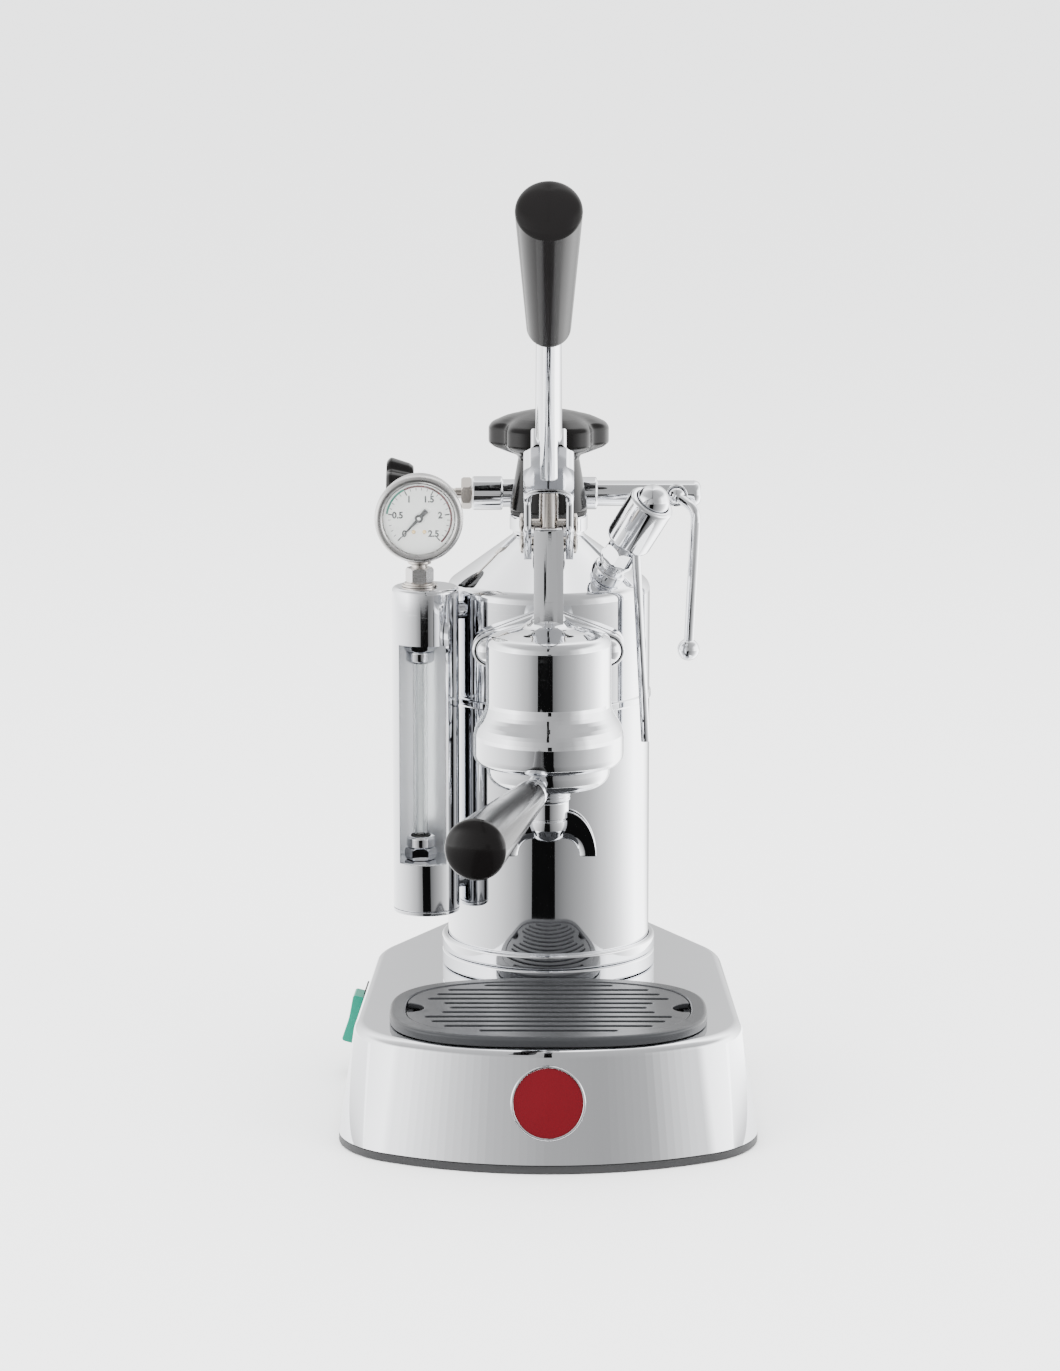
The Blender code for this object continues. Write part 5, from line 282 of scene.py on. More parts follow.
LOOKS: dict[Finish, FinishLook] = {
    Finish.CHROME: FinishLook((0.80, 0.81, 0.83), (0.76, 0.77, 0.80), 0.035, 0.03, 1.0,
                              relief=0.004, marks=0.05),
    Finish.NICKEL: FinishLook((0.60, 0.56, 0.52), (0.52, 0.48, 0.44), 0.16, 0.06, 1.0,
                              relief=0.01, marks=0.15),
    Finish.BRASS: FinishLook((0.72, 0.53, 0.26), (0.58, 0.40, 0.20), 0.28, 0.10, 1.0, marks=0.2),
    Finish.STEEL: FinishLook((0.56, 0.56, 0.57), (0.50, 0.50, 0.51), 0.28, 0.08, 1.0, marks=0.2),
    Finish.SATIN: FinishLook((0.66, 0.65, 0.64), (0.60, 0.59, 0.58), 0.27, 0.06, 1.0,
                             grain=2400.0, relief=0.03, marks=0.15),
    Finish.BLACK_GLOSS: FinishLook((0.0018, 0.0016, 0.0016), (0.0032, 0.0028, 0.0028), 0.15, 0.04,
                                   specular=0.24, grain=260.0, relief=0.006, marks=0.08),
    # A copy of the black plastic that reflects less, so the lever's grip reads darker: painted
    # shade.
    Finish.GRIP: FinishLook((0.0062, 0.0058, 0.0058), (0.0075, 0.0070, 0.0070), 0.13, 0.04,
                            specular=0.045, grain=260.0, relief=0.006, marks=0.08),
    Finish.BLACK_MATTE: FinishLook((0.007, 0.007, 0.008), (0.011, 0.011, 0.012), 0.48, 0.10,
                                   grain=1400.0, relief=0.06),
    Finish.TRAY: FinishLook((0.024, 0.025, 0.027), (0.032, 0.033, 0.036), 0.34, 0.10, 0.35,
                            grain=1800.0, relief=0.03, marks=0.1),
    # The green's painted glow brightens the rocker and the dial's green band.
    Finish.GREEN: FinishLook((0.0, 0.16, 0.105), (0.0, 0.18, 0.12), 0.2, 0.04, specular=0.2,
                             painted_glow=0.05, relief=0.01),
    Finish.ENAMEL: FinishLook((0.075, 0.001, 0.004), (0.060, 0.001, 0.003), 0.12, 0.04,
                              specular=0.3, relief=0.01),
    Finish.RUBBER: FinishLook((0.010, 0.010, 0.010), (0.015, 0.015, 0.015), 0.72, 0.08,
                              relief=0.08),
    # The dial's painted glow brightens it where the lens shades it.
    Finish.DIAL: FinishLook((0.86, 0.85, 0.83), (0.82, 0.81, 0.79), 0.42, 0.05, relief=0.01,
                            painted_glow=0.2),
    Finish.GLASS: FinishLook((0.97, 0.985, 0.98), (0.95, 0.97, 0.97), 0.02, 0.015,
                             transmission=1.0, relief=0.0),
    # The guard's inside: a duller inside finish, and a lighter copy of the chrome so the hollow
    # reads bright: painted light.
    Finish.INSIDE: FinishLook((0.84, 0.85, 0.86), (0.80, 0.81, 0.83), 0.26, 0.03, 0.7,
                              relief=0.004),
    Finish.AMBER: FinishLook((0.016, 0.006, 0.005), (0.024, 0.008, 0.006), 0.12, 0.04, coat=0.5,
                             relief=0.01),
}


class NodeBench:
    """A node tree in the making."""

    def __init__(self, tree: bpy.types.NodeTree, inputs: dict[str, str] | None = None,
                 outputs: dict[str, str] | None = None) -> None:
        """Takes a tree and, for a group, gives it its named sockets.

        Args:
            tree: the tree.
            inputs: the kind of each input socket, by name.
            outputs: the kind of each output socket, by name.
        """
        self.tree = tree
        for way, sockets in (("INPUT", inputs), ("OUTPUT", outputs)):
            for label, kind in (sockets or {}).items():
                tree.interface.new_socket(label, in_out=way, socket_type=f"NodeSocket{kind}")
        if inputs:
            self.start = tree.nodes.new("NodeGroupInput")
            self.end = tree.nodes.new("NodeGroupOutput")

    def feed(self, node: bpy.types.Node, sources: dict[str | int, object]) -> None:
        """Feeds a node's inputs.

        Args:
            node: the node.
            sources: an output socket or a plain value for each input, by name or number.
        """
        for label, source in sources.items():
            if isinstance(source, bpy.types.NodeSocket):
                self.tree.links.new(source, node.inputs[label])
            else:
                node.inputs[label].default_value = source

    def node(self, kind: str, sources: dict[str | int, object] | None = None,
             **settings: object) -> bpy.types.Node:
        """Adds a node, sets it up and feeds its inputs.

        Args:
            kind: the node's type.
            sources: what feeds it, as feed takes it.
            settings: the node's own settings.

        Returns:
            The node.
        """
        node = self.tree.nodes.new(kind)
        for label, value in settings.items():
            setattr(node, label, value)
        self.feed(node, sources or {})
        return node

    def out(self, kind: str, sources: dict[str | int, object] | None = None,
            **settings: object) -> Socket:
        """Adds a node as node does and gives its first output."""
        return self.node(kind, sources, **settings).outputs[0]

    def maths(self, operation: str, *sources: object) -> Socket:
        """The result of a math node."""
        return self.out("ShaderNodeMath", dict(enumerate(sources)), operation=operation)

    def share(self, value: Socket, low: float, high: float) -> Socket:
        """How far a value lies from a low limit to a high one."""
        return self.out("ShaderNodeMapRange", {"Value": value, "From Min": low, "From Max": high})

    def blend(self, factor: Socket, first: Socket, second: Socket) -> Socket:
        """Two colours, blended by a factor."""
        sources = {"Factor": factor, "A": first, "B": second}
        return self.node("ShaderNodeMix", sources, data_type="RGBA").outputs["Result"]


class ShaderGroups:
    """The shader node groups that the finishes share. Each is built once."""

    def __init__(self) -> None:
        """Builds the groups."""
        self.drift = self.build_drift()
        self.marks = self.build_marks()

    @staticmethod
    def build_drift() -> bpy.types.NodeTree:
        """Colour that drifts between two tones, with roughness and relief of its own.

        Returns:
            The group.
        """
        made = NodeBench(
            bpy.data.node_groups.new("tone_drift", "ShaderNodeTree"),
            {"Place": "Vector", "Colour": "Color", "Second": "Color", "Drift Scale": "Float",
             "Grain Scale": "Float", "Roughness": "Float", "Play": "Float"},
            {"Colour": "Color", "Roughness": "Float", "Height": "Float"})
        given = made.start.outputs
        broad, fine = (
            made.node("ShaderNodeTexNoise", {"Vector": given["Place"], "Scale": given[size],
                                             "Detail": detail}).outputs["Fac"]
            for size, detail in (("Drift Scale", 3.0), ("Grain Scale", 2.0)))
        spread = made.maths("SUBTRACT", broad, 0.5)
        made.feed(made.end, {
            "Colour": made.blend(broad, given["Colour"], given["Second"]),
            "Roughness": made.maths("MULTIPLY_ADD", spread, given["Play"], given["Roughness"]),
            "Height": fine})
        return made.tree

    @staticmethod
    def build_marks() -> bpy.types.NodeTree:
        """Sparse wiping marks: long thin streaks that raise the roughness a little.

        Returns:
            The group.
        """
        made = NodeBench(
            bpy.data.node_groups.new("wiping_marks", "ShaderNodeTree"),
            {"Place": "Vector", "Roughness": "Float", "Amount": "Float"},
            {"Roughness": "Float", "Mask": "Float"})
        given = made.start.outputs
        stretch = made.out("ShaderNodeMapping", {
            "Vector": given["Place"], "Scale": (14.0, 14.0, 170.0), "Rotation": (0.4, 0.25, 0.0)})
        streaks = made.node("ShaderNodeTexNoise", {"Vector": stretch, "Scale": 6.0, "Detail": 4.0})
        only = made.share(streaks.outputs["Fac"], 0.58, 0.78)
        rough = made.maths("MULTIPLY_ADD", only, given["Amount"], given["Roughness"])
        made.feed(made.end, {"Roughness": rough, "Mask": only})
        return made.tree


class Paintbox:
    """Makes the material of each finish, once, from its look."""

    def __init__(self) -> None:
        """Starts with the shared groups and no materials."""
        self.groups = ShaderGroups()
        self.made: dict[Finish, bpy.types.Material] = {}

    def material(self, finish: Finish) -> bpy.types.Material:
        """The material of a finish.

        Args:
            finish: which finish.

        Returns:
            Its material, made when it is first asked for.
        """
        if finish not in self.made:
            self.made[finish] = self.mix(finish.value, LOOKS[finish])
        return self.made[finish]

    def mix(self, name: str, look: FinishLook) -> bpy.types.Material:
        """Builds a node material from a look.

        Args:
            name: the material's name.
            look: its colours, gloss and relief.

        Returns:
            The material.
        """
        material = bpy.data.materials.new(name)
        material.use_nodes = True
        made = NodeBench(material.node_tree)
        shader = made.tree.nodes["Principled BSDF"]
        place = made.node("ShaderNodeTexCoord").outputs["Object"]
        drift = made.node("ShaderNodeGroup", {
            "Place": place, "Colour": (*look.colour, 1.0), "Second": (*look.second, 1.0),
            "Drift Scale": look.drift, "Grain Scale": look.grain, "Roughness": look.roughness,
            "Play": look.play}, node_tree=self.groups.drift).outputs
        rough = drift["Roughness"]
        if look.marks:
            marks = {"Place": place, "Amount": look.marks, "Roughness": rough}
            rough = made.out("ShaderNodeGroup", marks, node_tree=self.groups.marks)
        made.feed(shader, {
            "Base Color": drift["Colour"], "Roughness": rough, "Metallic": look.metallic,
            "Coat Weight": look.coat, "Coat Roughness": COAT_ROUGHNESS,
            "Transmission Weight": look.transmission, "Specular IOR Level": look.specular})
        if look.relief:
            bump = {"Strength": look.relief, "Distance": BUMP_DEPTH, "Height": drift["Height"]}
            made.feed(shader, {"Normal": made.out("ShaderNodeBump", bump)})
        # Painted glow: the finish's own colour given off as light, which brightens a part that is
        # no lamp.
        if look.painted_glow:
            made.feed(shader, {"Emission Color": drift["Colour"], "Emission Strength": look.painted_glow})
        return material


PAINT = Paintbox()


def mesh_object(name: str, points: Sequence[Vector], faces: Sequence[Sequence[int]],
                place: Matrix | None = None) -> Piece:
    """Makes a mesh object at the origin, with its place in its mesh and its faces outwards.

    Args:
        name: the piece's name.
        points: the corners.
        faces: the corners of each face.
        place: where the shape goes.

    Returns:
        The object.
    """
    mesh = bpy.data.meshes.new(name)
    mesh.from_pydata([tuple(point) for point in points], [], faces)
    if place is not None:
        mesh.transform(place)
    body = bmesh.new()
    body.from_mesh(mesh)
    bmesh.ops.remove_doubles(body, verts=body.verts, dist=MERGE)
    bmesh.ops.recalc_face_normals(body, faces=body.faces)
    body.to_mesh(mesh)
    body.free()
    obj = bpy.data.objects.new(name, mesh)
    bpy.context.scene.collection.objects.link(obj)
    return obj


def skin(name: str, loops: Sequence[Loop], place: Matrix | None = None, ring: bool = False,
         caps: bool = True) -> Piece:
    """Bridges closed loops of equal count, in order.

    Args:
        name: the piece's name.
        loops: the loops of points.
        place: where the shape goes.
        ring: whether the last loop joins the first.
        caps: whether the end loops are closed.

    Returns:
        The object.
    """
    count = len(loops[0])
    points = [point for loop in loops for point in loop]
    faces: list[list[int]] = []
    last = len(loops) if ring else len(loops) - 1
    for i in range(last):
        low, high = i * count, (i + 1) % len(loops) * count
        faces += [[low + j, low + (j + 1) % count, high + (j + 1) % count, high + j]
                  for j in range(count)]
    if caps and not ring:
        faces += [list(range(count))[::-1], list(range(len(points) - count, len(points)))]
    return mesh_object(name, points, faces, place)


def turned(name: str, corners: Sequence[Corner], place: Matrix | None = None, closed: bool = False,
           steps: int = ROUND_STEPS, lobe: Callable[[float, float], float] | None = None) -> Piece:
    """Turns a profile of rounded corners about Z.

    Args:
        name: the piece's name.
        corners: (radius, height, rounding) from the top down the outer side.
        place: where the shape goes.
        closed: whether the profile closes on itself, as a ring's does.
        steps: how many steps a turn has.
        lobe: gives each profile point its share of a lobed edge, kept as an attribute.

    Returns:
        The object.
    """
    line = rounded(corners, closed)
    headings = fan(steps, FULL_TURN)[:-1]
    loops = [[Vector((p.x * math.cos(a), p.x * math.sin(a), p.y)) for a in headings] for p in line]
    obj = skin(name, loops, place if lobe is None else None, closed, False)
    if lobe is not None:
        layer = obj.data.attributes.new("lobe", "FLOAT", "POINT")
        shares = [lobe(math.hypot(v.co.x, v.co.y), v.co.z) for v in obj.data.vertices]
        layer.data.foreach_set("value", shares)
    return obj


def slab(name: str, outlines: Sequence[Loop], thickness: float, place: Matrix | None = None,
         edge: float = 0.0, segments: int = 3) -> Piece:
    """A plate about its own middle plane. Outlines inside the first are holes.

    Args:
        name: the piece's name.
        outlines: the outline and its holes.
        thickness: the plate's thickness.
        place: where the plate goes.
        edge: how far its edges are rounded.
        segments: how many steps the rounding has.

    Returns:
        The object.
    """
    curve = bpy.data.curves.new(name, "CURVE")
    curve.dimensions = "2D"
    curve.fill_mode = "BOTH"
    curve.extrude = thickness / 2
    for outline in outlines:
        spline = curve.splines.new("POLY")
        spline.points.add(len(outline) - 1)
        spline.use_cyclic_u = True
        for point, corner in zip(spline.points, outline):
            point.co = (corner.x, corner.y, 0.0, 1.0)
    obj = mesh_of_curve(name, curve)
    if edge:
        bevelled(obj, edge, segments)
    if place is not None:
        obj.data.transform(place)
    return obj


def mesh_of_curve(name: str, curve: bpy.types.Curve) -> Piece:
    """Turns a curve or text into a merged mesh object and removes the curve.

    Args:
        name: the piece's name.
        curve: the curve or text data.

    Returns:
        The mesh object.
    """
    holder = bpy.data.objects.new("holder", curve)
    bpy.context.scene.collection.objects.link(holder)
    bpy.context.view_layer.update()
    graph = bpy.context.evaluated_depsgraph_get()
    mesh = bpy.data.meshes.new_from_object(holder.evaluated_get(graph))
    bpy.data.objects.remove(holder)
    body = bmesh.new()
    body.from_mesh(mesh)
    bmesh.ops.remove_doubles(body, verts=body.verts, dist=MERGE)
    bmesh.ops.dissolve_limit(body, angle_limit=math.radians(0.5), verts=body.verts,
                             edges=body.edges)
    bmesh.ops.recalc_face_normals(body, faces=body.faces)
    body.to_mesh(mesh)
    body.free()
    obj = bpy.data.objects.new(name, mesh)
    bpy.context.scene.collection.objects.link(obj)
    return obj


def settled(obj: Piece) -> Piece:
    """Replaces an object's mesh with its evaluated one and drops its modifiers.

    Args:
        obj: the object with modifiers.

    Returns:
        The same object, with a plain mesh.
    """
    bpy.context.view_layer.update()
    graph = bpy.context.evaluated_depsgraph_get()
    mesh = bpy.data.meshes.new_from_object(obj.evaluated_get(graph))
    obj.modifiers.clear()
    obj.data = mesh
    return obj


def bevelled(obj: Piece, width: float, segments: int = 3, angle: float = 32.0) -> Piece:
    """Rounds an object's sharp edges.

    Args:
        obj: the object.
        width: how far from the edge the rounding starts.
        segments: how many steps it has.
        angle: edges sharper than this many degrees are rounded.

    Returns:
        The same object.
    """
    bevel = obj.modifiers.new("edges", "BEVEL")
    bevel.width = width
    bevel.segments = segments
    bevel.limit_method = "ANGLE"
    bevel.angle_limit = math.radians(angle)
    bevel.use_clamp_overlap = True
    return settled(obj)


def combined(obj: Piece, others: Sequence[Piece], way: str = "DIFFERENCE") -> Piece:
    """Cuts, joins or keeps what an object shares with others, which are then removed.

    Args:
        obj: the object that changes.
        others: the cutters or additions.
        way: DIFFERENCE, UNION or INTERSECT.

    Returns:
        The same object.
    """
    for other in others:
        modifier = obj.modifiers.new("with", "BOOLEAN")
        modifier.operation = way
        modifier.object = other
    settled(obj)
    for other in others:
        bpy.data.objects.remove(other)
    return obj


def tube(name: str, route: Sequence[Vector], radius: float, place: Matrix | None = None,
         sides: int = 32) -> Piece:
    """A round rod along a smooth route.

    Args:
        name: the piece's name.
        route: the points of its middle line.
        radius: its radius.
        place: where it goes.
        sides: how many sides its section has.

    Returns:
        The object.
    """
    loops: list[Loop] = []
    side = Vector((0.0, 1.0, 0.0))
    for i, here in enumerate(route):
        before, after = route[max(i - 1, 0)], route[min(i + 1, len(route) - 1)]
        along = (after - before).normalized()
        side = (side - along * side.dot(along)).normalized()
        other = along.cross(side)
        headings = fan(sides, FULL_TURN)[:-1]
        loops.append([here + (side * math.cos(a) + other * math.sin(a)) * radius for a in headings])
    return skin(name, loops, place)


def smooth_route(points: Sequence[Vector], bend: float, steps: int = 10) -> Loop:
    """A route of straight runs with a smooth bend at each inner point.

    Args:
        points: the route's corners.
        bend: how far from a corner its bend starts.
        steps: how many steps a bend has.

    Returns:
        The route's points.
    """
    route = [points[0].copy()]
    for before, here, after in zip(points, points[1:], points[2:]):
        start = here + (before - here).normalized() * bend
        end = here + (after - here).normalized() * bend
        for i in range(steps + 1):
            t = i / steps
            route.append(start * (1 - t) ** 2 + here * 2 * t * (1 - t) + end * t ** 2)
    return [*route, points[-1].copy()]


def hexagon(radius: float) -> Loop:
    """A hexagon measured over its corners."""
    return [Vector((math.cos(i * math.pi / 3), math.sin(i * math.pi / 3))) * radius
            for i in range(6)]


def hex_nut(name: str, radius: float, low: float, high: float, place: Matrix,
            hole: float = 0.0) -> Piece:
    """A hexagon nut whose corners are turned down at both ends.

    Args:
        name: the piece's name.
        radius: the radius over its corners.
        low: its lower face.
        high: its upper face.
        place: its axis.
        hole: the radius of its hole, or zero.

    Returns:
        The object.
    """
    middle = at(z=(low + high) / 2)
    holes = [arc(ORIGIN, hole, 0.0, 2 * math.pi * 0.99)] if hole else []
    nut = slab(name, [hexagon(radius), *holes], high - low, place @ middle)
    drop = radius * 0.16
    cone = [(0.0, high), (radius * 0.9, high), (radius * 1.02, high - drop),
            (radius * 1.02, low + drop), (radius * 0.9, low), (0.0, low)]
    combined(nut, [turned("turned_down", cone, place, steps=SMALL_STEPS)], "INTERSECT")
    return bevelled(nut, 0.15 * MM, 2, 20.0)


class GeometryTree(NodeBench):
    """A Geometry Nodes tree in the making."""

    def __init__(self, name: str, inputs: dict[str, str]) -> None:
        """Makes the tree with a geometry input and output and its named inputs.

        Args:
            name: the tree's name.
            inputs: the kind of each further input socket, by name.
        """
        super().__init__(bpy.data.node_groups.new(name, "GeometryNodeTree"),
                         {"Geometry": "Geometry", **inputs, "Material": "Material"},
                         {"Geometry": "Geometry"})

    def named(self, label: str) -> Socket:
        """The numbers of a named attribute."""
        node = self.node("GeometryNodeInputNamedAttribute", {"Name": label}, data_type="FLOAT")
        return node.outputs["Attribute"]

    def parted(self, label: str, limit: float) -> tuple[Socket, Socket]:
        """Parts the points whose attribute is over a limit from the rest.

        Args:
            label: the attribute's name.
            limit: the limit.

        Returns:
            Those points, and the rest.
        """
        over = self.out("FunctionNodeCompare", {0: self.named(label), 1: limit},
                        data_type="FLOAT", operation="GREATER_THAN")
        parts = self.node("GeometryNodeSeparateGeometry", {
            "Geometry": self.start.outputs["Geometry"], "Selection": over})
        return parts.outputs["Selection"], parts.outputs["Inverted"]

    def joined(self, *parts: Socket) -> Socket:
        """Several geometries as one."""
        node = self.node("GeometryNodeJoinGeometry")
        for part in parts:
            self.tree.links.new(part, node.inputs[0])
        return node.outputs[0]

    def close(self, last: Socket) -> bpy.types.NodeTree:
        """Ends the tree in Realize Instances and Set Material.

        Args:
            last: the geometry that the tree has made.

        Returns:
            The tree.
        """
        real = self.out("GeometryNodeRealizeInstances", {"Geometry": last})
        self.feed(self.end, {"Geometry": self.out("GeometryNodeSetMaterial", {
            "Geometry": real, "Material": self.start.outputs["Material"]})})
        return self.tree


def grown(obj: Piece, tree: bpy.types.NodeTree, values: dict[str, object],
          ) -> Piece:
    """Runs a Geometry Nodes tree on an object and keeps its result as a plain mesh.

    Args:
        obj: the object that the tree starts from.
        tree: the tree.
        values: the value of each named input.

    Returns:
        The same object.
    """
    modifier = obj.modifiers.new("grown", "NODES")
    modifier.node_group = tree
    for item in tree.interface.items_tree:
        if item.item_type == "SOCKET" and item.in_out == "INPUT" and item.name in values:
            modifier[item.identifier] = values[item.name]
    return settled(obj)


class Trees:
    """The Geometry Nodes trees that several pieces use."""

    def __init__(self) -> None:
        """Builds the trees."""
        self.lobes = self.build_lobes()
        self.slots = self.build_slots()
        self.copies = self.build_copies()

    @staticmethod
    def build_lobes() -> bpy.types.NodeTree:
        """Draws a turned knob in between its lobes.

        Returns:
            The tree. It reads each point's share from the attribute lobe.
        """
        made = GeometryTree("knob_lobes", {"Lobes": "Float", "Depth": "Float"})
        given = made.start.outputs
        place = made.out("GeometryNodeInputPosition")
        split = made.node("ShaderNodeSeparateXYZ", {0: place}).outputs
        heading = made.maths("ARCTAN2", split["Y"], split["X"])
        cosine = made.maths("COSINE", made.maths("MULTIPLY", heading, given["Lobes"]))
        sharp = made.maths("POWER", made.maths("MULTIPLY_ADD", cosine, -0.5, 0.5), 2.0)
        deep = made.maths("MULTIPLY", sharp, made.named("lobe"))
        scale = made.maths("SUBTRACT", 1.0, made.maths("MULTIPLY", deep, given["Depth"]))
        drawn = {axis: made.maths("MULTIPLY", split[axis], scale) for axis in "XY"}
        new = made.out("ShaderNodeCombineXYZ", {**drawn, "Z": split["Z"]})
        return made.close(made.out("GeometryNodeSetPosition", {
            "Geometry": given["Geometry"], "Position": new}))

    @staticmethod
    def build_slots() -> bpy.types.NodeTree:
        """Fills an outline and leaves a round-ended slot at each loose point.

        Returns:
            The tree. A loose point's attribute reach is half its slot's straight length.
        """
        made = GeometryTree("plate_slots", {
            "Slot Width": "Float", "Thickness": "Float", "Steps": "Int"})
        given = made.start.outputs
        spots, border = made.parted("reach", 0.0)
        circle = made.out("GeometryNodeCurvePrimitiveCircle", {
            "Resolution": given["Steps"],
            "Radius": made.maths("MULTIPLY", given["Slot Width"], 0.5)})
        local = made.out("ShaderNodeSeparateXYZ", {0: made.out("GeometryNodeInputPosition")})
        marked = made.out("GeometryNodeStoreNamedAttribute", {
            "Geometry": circle, "Name": "side", "Value": made.maths("SIGN", local)},
            data_type="FLOAT", domain="POINT")
        copies = made.out("GeometryNodeInstanceOnPoints", {"Points": spots, "Instance": marked})
        real = made.out("GeometryNodeRealizeInstances", {"Geometry": copies})
        pull = made.maths("MULTIPLY", made.named("side"), made.named("reach"))
        slots = made.out("GeometryNodeSetPosition", {
            "Geometry": real, "Offset": made.out("ShaderNodeCombineXYZ", {"X": pull})})
        edge = made.out("GeometryNodeMeshToCurve", {"Mesh": border})
        filled = made.out("GeometryNodeFillCurve", {"Curve": made.joined(slots, edge)})
        raised_by = made.out("ShaderNodeCombineXYZ", {"Z": given["Thickness"]})
        top = made.out("GeometryNodeExtrudeMesh", {
            "Mesh": filled, "Offset": raised_by, "Offset Scale": 1.0, "Individual": False})
        under = made.out("GeometryNodeFlipFaces", {"Mesh": filled})
        return made.close(made.out("GeometryNodeMergeByDistance", {
            "Geometry": made.joined(top, under), "Distance": MERGE * 10}))

    @staticmethod
    def build_copies() -> bpy.types.NodeTree:
        """Places copies of a mesh at the loose points that it carries.

        Returns:
            The tree. Loose points carry the attributes spot, which is one, and turned_by.
        """
        made = GeometryTree("placed_copies", {"Axis": "Vector"})
        spots, shape = made.parted("spot", 0.5)
        spin = made.out("FunctionNodeAxisAngleToRotation", {
            "Axis": made.start.outputs["Axis"], "Angle": made.named("turned_by")})
        return made.close(made.out("GeometryNodeInstanceOnPoints", {
            "Points": spots, "Instance": shape, "Rotation": spin}))


TREES = Trees()


def repeated(obj: Piece, spots: Sequence[Vector], turns: Sequence[float], axis: Vector,
             finish: Finish) -> Piece:
    """Copies an object's mesh to each spot, turned about an axis there.

    Args:
        obj: the object, modelled about the origin.
        spots: where the copies go.
        turns: how far each copy is turned.
        axis: the axis of the turns.
        finish: the copies' finish.

    Returns:
        The same object, which now holds all the copies.
    """
    body = bmesh.new()
    body.from_mesh(obj.data)
    spot_layer = body.verts.layers.float.new("spot")
    turn_layer = body.verts.layers.float.new("turned_by")
    for spot, angle in zip(spots, turns):
        vert = body.verts.new(spot)
        vert[spot_layer] = 1.0
        vert[turn_layer] = angle
    body.to_mesh(obj.data)
    body.free()
    return grown(obj, TREES.copies, {"Axis": tuple(axis), "Material": PAINT.material(finish)})


def dressed(obj: Piece, finish: Finish, body: str, *nodes: str, sharp: float = 35.0) -> Piece:
    """Gives a piece its finish and shading, and ties it to the body that carries it.

    Args:
        obj: the piece.
        finish: its finish.
        body: the body that it rides on.
        nodes: the CAD nodes that it stands for.
        sharp: edges sharper than this many degrees stay sharp.

    Returns:
        The piece.
    """
    mesh = obj.data
    mesh.materials.clear()
    mesh.materials.append(PAINT.material(finish))
    mesh.shade_smooth()
    mesh.set_sharp_from_angle(angle=math.radians(sharp))
    weighted = obj.modifiers.new("shading", "WEIGHTED_NORMAL")
    weighted.keep_sharp = True
    weighted.weight = 80
    settled(obj)
    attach(obj, body)
    if nodes:
        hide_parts(*nodes)
    LOG.info("%s: %d faces, rides on %s", obj.name, len(obj.data.polygons), body)
    return obj


class SubAssembly:
    """A part of the machine whose build methods each make some of its pieces."""

    def build(self) -> None:
        """Runs the sub-assembly's build methods in the order in which they are written."""
        for name, step in vars(type(self)).items():
            if name.startswith("build_"):
                step(self)


def tray_outline(inset: float, steps: int = 128) -> Loop:
    """The tray's plan, drawn in by an inset.

    Args:
        inset: how far inside the rim's outer edge.
        steps: how many points it has.

    Returns:
        The outline's points.
    """
    wide, deep, power = TRAY_HALF_WIDE - inset, TRAY_HALF_DEEP - inset, 2 / TRAY_SQUARENESS
    line: Loop = []
    for angle in fan(steps, FULL_TURN)[:-1]:
        across, along = math.cos(angle), math.sin(angle)
        line.append(Vector((math.copysign(abs(across) ** power, across) * wide,
                            math.copysign(abs(along) ** power, along) * deep + TRAY_Y)))
    return line


def raised(loop: Loop, z: float) -> Loop:
    """A flat loop, lifted to a height."""
    return [Vector((point.x, point.y, z)) for point in loop]


def rectangle(wide: float, tall: float, corner: float) -> Loop:
    """A rounded rectangle about the origin."""
    x, y = wide / 2, tall / 2
    return rounded([(-x, -y, corner), (x, -y, corner), (x, y, corner), (-x, y, corner)],
                   closed=True)


